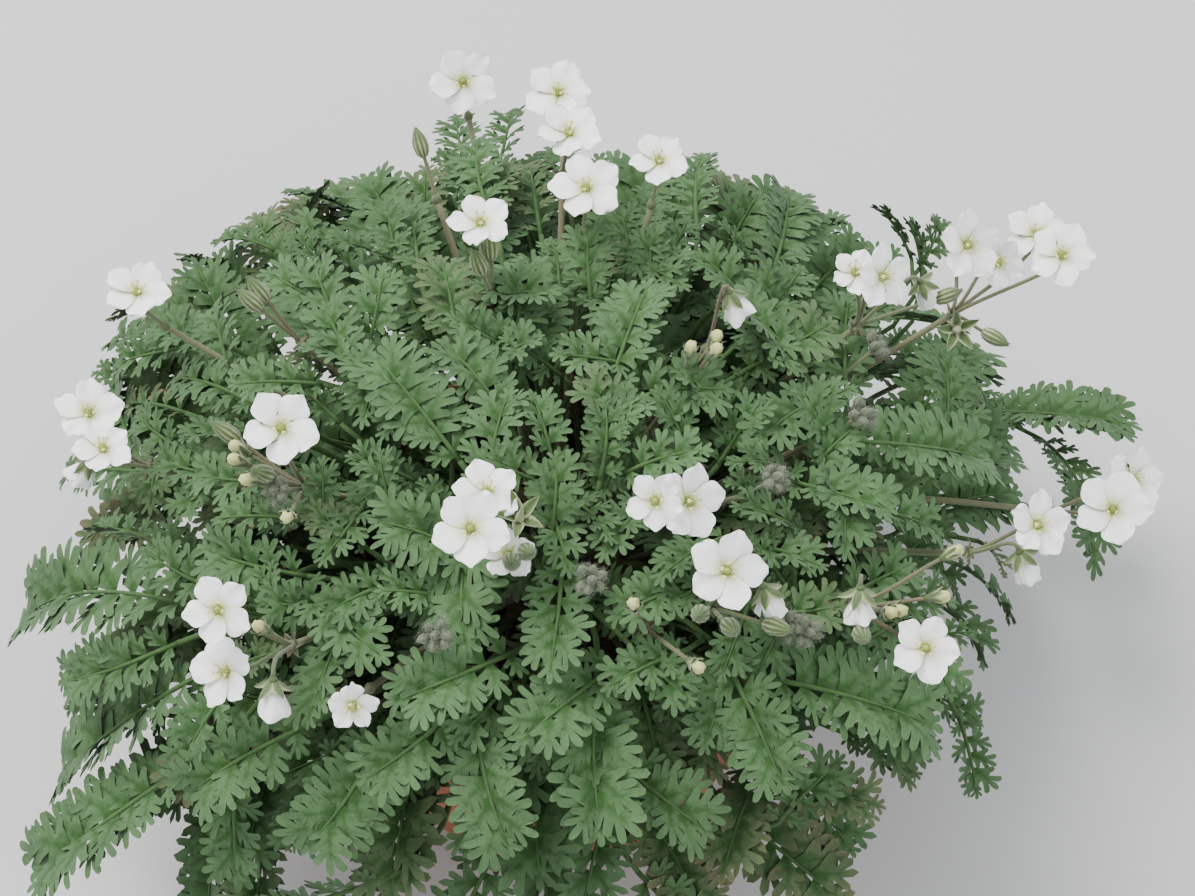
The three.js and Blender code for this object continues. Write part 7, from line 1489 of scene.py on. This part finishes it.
def bark_material():
    n = Net("woody_bark")
    v, tone, _, _ = n.attr()
    mp = n.nt.nodes.new("ShaderNodeMapping")
    mp.inputs["Scale"].default_value = (1.0, 1.0, 0.35)
    n.link(n.obj, mp.inputs["Vector"])
    grain = n.noise(520, 5, 0.65, mp.outputs[0])
    big = n.noise(120, 3)
    col = n.mix(n.remap(grain, 0.32, 0.66), srgb(66, 50, 38), srgb(126, 102, 80))
    col = n.mix(n.remap(big, 0.5, 0.7, 0.0, 0.5), col, srgb(142, 128, 104))
    col = n.scale(col, n.math("MULTIPLY_ADD", tone, 0.6, 0.7))
    n.color(col)
    n.set(Roughness=0.9, Specular_IOR_Level=0.2)
    n.bump(grain, 0.8, 0.0010)
    return n.m


# LEAF_GREEN is the midrib green, partly the leaf's own colour and partly painted shade of the folds
LEAF_GREEN = (43, 74, 30)
LEAF_GREY = (70, 97, 62)
LEAF_RIB = (64, 92, 50)

M_LEAF = leaf_material()
M_PETAL = petal_material()
M_STAMEN = stamen_material()
M_STALK = stalk_material()
M_CLAY = clay_material()
M_SOIL = soil_material()
M_BARK = bark_material()

# CAD nodes carry a procedural material too, whether they are shown or not
for name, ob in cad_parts.items():
    mat = M_CLAY if name == "pot" else M_SOIL if name == "soil" else M_BARK if name == "crown" else M_LEAF if name.startswith("leaf") else M_PETAL
    ob.data.materials.clear()
    ob.data.materials.append(mat)


def place(piece, node):
    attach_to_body(piece, "root")
    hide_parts(node)
    return piece


# ------------------------------------------------------------------ leafy shoots
def on_stem(stem, share):
    a, b, c = stem
    l1, l2 = np.linalg.norm(b - a), np.linalg.norm(c - b)
    x = share * (l1 + l2)
    return a + (b - a) * (x / l1) if x < l1 else b + (c - b) * min((x - l1) / l2, 1)


for k, stem in enumerate(STEMS):
    rng = np.random.default_rng(100 + k)
    stem = [np.array(p, float) for p in stem]
    bag = Bag()
    pts = spline(stem, 7)
    m = len(pts)
    sides = 8
    lumps = 1 + 0.10 * rng.normal(size=(m, sides)).clip(-1.5, 1.5) + 0.12 * (np.arange(m)[:, None] % 3 == 0)
    cs = np.array([[0.2, 0.25, 0.85 - 0.5 * s, 0.35] for s in np.linspace(0, 1, m)])
    tube(bag, pts, np.linspace(2.1, 1.45, m), sides, cs, lumps=lumps, round_end=True)
    # dry bases of old leaf stalks
    for i in range(7):
        s = rng.uniform(0.15, 0.95)
        P = on_stem(stem, s)
        out = unit(rng.normal(size=3) + np.array([0, 0, 0.4]))
        out = square_to(out, unit(stem[2] - stem[0]))
        D = unit(out + unit(stem[2] - stem[0]) * 0.8)
        tube(bag, [P + out * 0.8, P + out * 1.6 + D * 1.6, P + out * 1.8 + D * rng.uniform(3.0, 5.0)], [0.95, 0.75, 0.35], 5, rgba(0.1, 0.4, 1.0, 0.1))
    sd = unit(stem[2] - stem[0])
    for row in [r for r in LEAVES if r[0] == k]:
        _, share, B, T, N, w, a, layer = row
        B, T, N = np.array(B, float), np.array(T, float), np.array(N, float)
        if share < 0:
            best = min(np.linspace(0.3, 1.0, 15), key=lambda s: np.linalg.norm(on_stem(stem, s) - B) + rng.uniform(0, 4))
            share = float(best)
        A = on_stem(stem, share)
        add_leaf(bag, B, T, N, w, a, layer, A, sd, rng)
    place(bag.build("leaves_%02d" % (k + 1), [M_LEAF]), "leaf_rosette_%02d" % (k + 1))

# ------------------------------------------------------------------ umbels
for k, (s, mid, J, parts) in enumerate(UMBELS):
    rng = np.random.default_rng(500 + k)
    s, mid, J = (np.array(p, float) for p in (s, mid, J))
    bloom, green = Bag(), Bag()
    red = rng.uniform(0.15, 0.75)
    main = spline([s, mid, J], 8)
    m = len(main)
    cs = np.array([[0.35, 0.5, red * (0.5 + 0.5 * t), 0.05] for t in np.linspace(0, 1, m)])
    tube(green, main, np.linspace(1.25, 0.88, m), 8, cs)
    # hairs of the main stalk, on its upper half
    up = main[m // 3:]
    _, Dm, Um, Wm = frames(main)
    nh = 150
    i = rng.integers(m // 3, m, nh)
    a = rng.uniform(0, 6.283, nh)
    out = Um[i] * np.cos(a)[:, None] + Wm[i] * np.sin(a)[:, None]
    base = main[i] + Dm[i] * rng.uniform(-1.8, 1.8, nh)[:, None] + out * 0.8
    hairs(green, base, out + rng.normal(0, 0.25, (nh, 3)), rng.uniform(0.5, 1.1, nh), 0.04, rgba(0.8, 0.7, 0, 1))
    # the swelling and its small bracts
    e = unit(J - mid)
    turned(green, J, e, [-2.2, -1.2, 0.0, 1.3, 2.2], [0, 0.95, 1.55, 1.15, 0], 10, rgba(0.2, 0.5, red * 0.6, 0.1))
    if len(parts) > 1 or parts[0][0] in "C":
        star(green, J - e * 0.2, e, 3.4, 0.85, 6, 75, sepal_tint(0.4, 0.7), rng, 0, rng.uniform(0, 6), True)
    for kind, P, d, dia in parts:
        P, d = np.array(P, float), unit(d)
        if kind in "FV":
            end = open_flower(bloom, green, P, d, dia, rng)
            axis = d
        elif kind == "B":
            end = striped_bud(green, P, d, rng)
            axis = d
        elif kind == "C":
            end = cream_bud(bloom, green, P, d, rng)
            axis = d
        elif kind == "Z":
            end = furry_cluster(green, P, d, rng)
            axis = d
        elif kind == "D":
            end = nodding(bloom, green, P, d, rng)
            axis = d
        else:
            end = spent_calyx(green, P, d, rng)
            axis = d
        gap = float(np.linalg.norm(end - J))
        start = J + unit(end - J) * min(0.8, gap * 0.2)
        pts = bezier(start, start + unit(unit(end - J) + e * 0.7) * gap * 0.36, end - axis * gap * 0.34, end + axis * 0.3, 10)
        r2 = np.clip(red + rng.uniform(-0.2, 0.2), 0, 0.9)
        tube(green, pts, np.linspace(0.62, 0.55, 10), 6, rgba(0.30, 0.5, r2, 0.08))
        _, Dp, Up, Wp = frames(pts)
        nh = 60
        i = rng.integers(0, 10, nh)
        a = rng.uniform(0, 6.283, nh)
        out = Up[i] * np.cos(a)[:, None] + Wp[i] * np.sin(a)[:, None]
        base = pts[i] + Dp[i] * (rng.uniform(-0.5, 0.5, nh) * gap / 9)[:, None] + out * 0.45
        hairs(green, base, out + rng.normal(0, 0.25, (nh, 3)), rng.uniform(0.4, 0.9, nh), 0.035, rgba(0.8, 0.7, 0, 1))
    node = "umbel_%02d" % (k + 1)
    place(green.build(node + "_stalks", [M_STALK]), node)
    if bloom.n:
        place(bloom.build(node + "_bloom", [M_PETAL, M_STAMEN]), node)

# ------------------------------------------------------------------ crown
rng = np.random.default_rng(31)
bag = Bag()
nu, nv = 64, 22
foot = 68.3
th = np.linspace(0, 2 * np.pi, nu, endpoint=False)
start = math.asin((foot - 74) / 15)
rows = []
for ph in np.linspace(start, math.pi / 2 * 0.97, nv):
    r = 19 * math.cos(ph)
    z = 74 + 15 * math.sin(ph)
    knob = (np.sin(th * 5 + ph * 3) * 0.8 + np.sin(th * 11 - ph * 5 + 1) * 0.5 + np.sin(th * 3 + 2) * 0.9 + np.sin(th * 23 + ph * 9) * 0.25) * (0.25 + 0.75 * math.cos(ph))
    rr = r + knob * 0.9 - 0.6
    rows.append(np.stack([rr * np.cos(th), rr * np.sin(th), np.full(nu, z) - 0.4 * (ph > start + 0.05)], 1))
V = np.vstack(rows + [[[0, 0, 88.2]], [[0, 0, foot]]])
F = []
k = np.arange(nu)
k2 = (k + 1) % nu
for i in range(nv - 1):
    A, B = i * nu + k, i * nu + k2
    F += [np.stack([A, B, B + nu], 1), np.stack([A, B + nu, A + nu], 1)]
F.append(np.stack([(nv - 1) * nu + k, (nv - 1) * nu + k2, np.full(nu, nv * nu)], 1))
F.append(np.stack([k2, k, np.full(nu, nv * nu + 1)], 1))
bag.add(V, np.concatenate(F), rgba(0.3, 0.5, 0, 0))
for i in range(46):
    a = rng.uniform(0, 2 * math.pi)
    ph = rng.uniform(0.0, 1.35)
    n = unit([math.cos(a) * math.cos(ph) / 19, math.sin(a) * math.cos(ph) / 19, math.sin(ph) / 15])
    P = np.array([19 * math.cos(ph) * math.cos(a), 19 * math.cos(ph) * math.sin(a), 74 + 15 * math.sin(ph)]) - n * 1.2
    D = unit(n + np.array([0, 0, 0.5]) + rng.normal(0, 0.15, 3))
    ln = rng.uniform(2.5, 6.0)
    tube(bag, [P, P + D * ln * 0.5, P + D * ln], [1.3, 1.0, 0.5], 7, rgba(0.4, rng.uniform(0.3, 0.8), 0, 0), lumps=1 + 0.12 * rng.normal(size=(3, 7)).clip(-1, 1))
place(bag.build("crown_wood", [M_BARK]), "crown")

# ------------------------------------------------------------------ soil
rng = np.random.default_rng(41)
bag = Bag()
nu, nr = 120, 34
wall = lambda z: 51.5 + (75.5 - 51.5) * (z - 7) / (77 - 7) - 0.6
th = np.linspace(0, 2 * np.pi, nu, endpoint=False)
waves = [(rng.uniform(0.05, 0.45), rng.uniform(0, 6.28), rng.uniform(0, 6.28)) for _ in range(26)]


def lumpy(x, y):
    z = np.zeros_like(x)
    for f, p, q in waves:
        z = z + np.sin(x * f * 2.2 * math.cos(q) + y * f * 2.2 * math.sin(q) + p) * 0.13 / (0.4 + f)
    return z


rows = []
top_r = wall(66.8)
for i in range(nr + 1):
    r = top_r * (1 - i / (nr + 0.4))
    x, y = r * np.cos(th), r * np.sin(th)
    z = np.interp(r, [0, 27, top_r], [67.7, 67.7, 66.3]) + np.clip(lumpy(x, y), -1.2, 0.9) * (0.55 if r < 24 else 1.0) * (1 if i else 0.4)
    rows.append(np.stack([x, y, z], 1))
low = np.stack([wall(7.4) * np.cos(th), wall(7.4) * np.sin(th), np.full(nu, 7.4)], 1)
mid_ring = np.stack([wall(40) * np.cos(th), wall(40) * np.sin(th), np.full(nu, 40.0)], 1)
V = np.vstack([low, mid_ring] + rows + [[[0, 0, 67.7]], [[0, 0, 7.4]]])
F = []
k = np.arange(nu)
k2 = (k + 1) % nu
m = nr + 3
for i in range(m - 1):
    A, B = i * nu + k, i * nu + k2
    F += [np.stack([A, B, B + nu], 1), np.stack([A, B + nu, A + nu], 1)]
F.append(np.stack([(m - 1) * nu + k, (m - 1) * nu + k2, np.full(nu, m * nu)], 1))
F.append(np.stack([k2, k, np.full(nu, m * nu + 1)], 1))
bag.add(V, np.concatenate(F), rgba(0.3, 0.5, 0, 0))
# crumbs of compost and a few flakes of bark
OCT = np.array([[1, 0, 0], [-1, 0, 0], [0, 1, 0], [0, -1, 0], [0, 0, 1], [0, 0, -1]], float)
OF = np.array([[0, 2, 4], [2, 1, 4], [1, 3, 4], [3, 0, 4], [2, 0, 5], [1, 2, 5], [3, 1, 5], [0, 3, 5]])
for i in range(700):
    r = 70 * math.sqrt(rng.uniform(0.10, 1))
    a = rng.uniform(0, 2 * math.pi)
    x, y = r * math.cos(a), r * math.sin(a)
    z = float(np.interp(r, [0, 27, top_r], [67.7, 67.7, 66.3]) + np.clip(lumpy(np.array(x), np.array(y)), -1.2, 0.9))
    flake = rng.uniform() < 0.12
    s = rng.uniform(0.6, 1.6) * (1.6 if flake else 1)
    sc = np.array([s * rng.uniform(0.8, 1.8), s * rng.uniform(0.6, 1.1), s * (0.28 if flake else rng.uniform(0.5, 0.9))])
    ang = rng.uniform(0, 6.28)
    c, sn = math.cos(ang), math.sin(ang)
    Q = OCT * sc * rng.uniform(0.75, 1.15, (6, 1))
    Q = np.stack([Q[:, 0] * c - Q[:, 1] * sn, Q[:, 0] * sn + Q[:, 1] * c, Q[:, 2] + 0.15 * Q[:, 0]], 1)
    bag.add(Q + np.array([x, y, min(z + sc[2] * 0.35, 69.2)]), OF, rgba(0.3, rng.uniform(0.3, 0.8), 0, 0), 1 if flake else 0)
place(bag.build("compost_bed", [M_SOIL, M_BARK]), "soil")

# ------------------------------------------------------------------ pot
bag = Bag()
nu = 168
prof = [(0.0, 0.0), (30.0, 0.0), (54.0, 0.0), (56.8, 0.0)]
for i in range(1, 5):
    a = math.pi / 2 * i / 4
    prof.append((56.8 + 1.2 * math.sin(a), 1.2 - 1.2 * math.cos(a)))
for z in (8, 18, 28, 38, 48, 56, 59.5):
    prof.append((58 + (75 - 58) * (z - 1.2) / (61 - 1.2), z))
prof += [(74.75, 60.6), (75.4, 61.6), (77.2, 62.3), (79.4, 62.7), (80.8, 63.3), (81.6, 64.3), (82.0, 66.0)]
prof += [(82.0, 69.0), (82.0, 72.0), (82.0, 75.0), (82.0, 77.0)]
for i in range(1, 9):
    a = math.pi / 2 * i / 8
    prof.append((78.4 + 3.6 * math.cos(a), 77.0 + 3.0 * math.sin(a)))
prof += [(77.2, 79.7), (76.3, 79.0), (75.75, 78.1), (75.5, 77.0)]
for z in (72, 64, 54, 44, 34, 24, 14, 9.5):
    prof.append((51.5 + (75.5 - 51.5) * (z - 7) / 70, z))
prof += [(51.2, 7.9), (49.6, 7.05), (46.0, 7.0), (30.0, 7.0), (0.0, 7.0)]
th = np.linspace(0, 2 * np.pi, nu, endpoint=False)
body = prof[1:-1]
rows = []
for i, (r, z) in enumerate(body):
    wob = 0.10 * np.sin(2 * th + 0.7) + 0.06 * np.sin(5 * th + z * 0.05)
    if z < 1.5 and r < 60:
        wob = wob * 0
    rows.append(np.stack([(r + wob) * np.cos(th), (r + wob) * np.sin(th), np.full(nu, z)], 1))
V = np.vstack(rows + [[[0, 0, 0]], [[0, 0, 7.0]]])
m = len(body)
F = []
k = np.arange(nu)
k2 = (k + 1) % nu
for i in range(m - 1):
    A, B = i * nu + k, i * nu + k2
    F += [np.stack([A, B, B + nu], 1), np.stack([A, B + nu, A + nu], 1)]
F.append(np.stack([k2, k, np.full(nu, m * nu)], 1))
F.append(np.stack([(m - 1) * nu + k, (m - 1) * nu + k2, np.full(nu, m * nu + 1)], 1))
bag.add(V, np.concatenate(F), rgba(0.3, 0.5, 0, 0))
pot = bag.build("clay_pot", [M_CLAY])
for i in range(3):
    a = math.pi / 2 + 2 * math.pi * i / 3
    cutter = Bag()
    turned(cutter, np.array([33 * math.cos(a), 33 * math.sin(a), 3.5]), np.array([0, 0, 1.0]), [-9, -8.9, 8.9, 9], [0, 8.5, 8.5, 0], 40, rgba(0.3, 0.5, 0, 0))
    co = cutter.build("cutter", [M_CLAY])
    mod = pot.modifiers.new("hole", "BOOLEAN")
    mod.object = co
    mod.operation = "DIFFERENCE"
    mod.solver = "EXACT"
    bpy.context.view_layer.update()
    dg = bpy.context.evaluated_depsgraph_get()
    cut = bpy.data.meshes.new_from_object(pot.evaluated_get(dg))
    pot.modifiers.clear()
    pot.data = cut
    bpy.data.objects.remove(co)
pot.data.polygons.foreach_set("use_smooth", np.ones(len(pot.data.polygons), bool))
pot.data.set_sharp_from_angle(angle=math.radians(42))
place(pot, "pot")

# ------------------------------------------------------------------ floor and light
fm, fnt, fb = new_material("pale_floor")
fb.inputs["Base Color"].default_value = (0.50, 0.50, 0.497, 1)
fb.inputs["Roughness"].default_value = 0.9
me = bpy.data.meshes.new("floor")
s = 6.0
me.from_pydata([(-s, -s, 0), (s, -s, 0), (s, s, 0), (-s, s, 0)], [], [(0, 1, 2, 3)])
me.materials.append(fm)
floor = bpy.data.objects.new("floor", me)
bpy.context.scene.collection.objects.link(floor)

world = bpy.data.worlds.new("studio")
bpy.context.scene.world = world
world.use_nodes = True
bg = world.node_tree.nodes["Background"]
bg.inputs["Color"].default_value = (0.93, 0.96, 1.0, 1)
bg.inputs["Strength"].default_value = 1.35


def area(name, loc, target, size, power, color=(1, 1, 1)):
    d = bpy.data.lights.new(name, "AREA")
    d.shape = "DISK"
    d.size = size
    d.energy = power
    d.color = color
    o = bpy.data.objects.new(name, d)
    o.location = loc
    o.rotation_euler = (Vector(target) - Vector(loc)).to_track_quat("-Z", "Y").to_euler()
    bpy.context.scene.collection.objects.link(o)
    return o


area("key", (-0.75, 0.35, 1.7), (0, 0.02, 0.1), 1.3, 56, (1.0, 0.985, 0.96))
area("fill", (1.1, -1.3, 1.3), (0, 0, 0.08), 1.5, 13, (0.96, 0.98, 1.0))
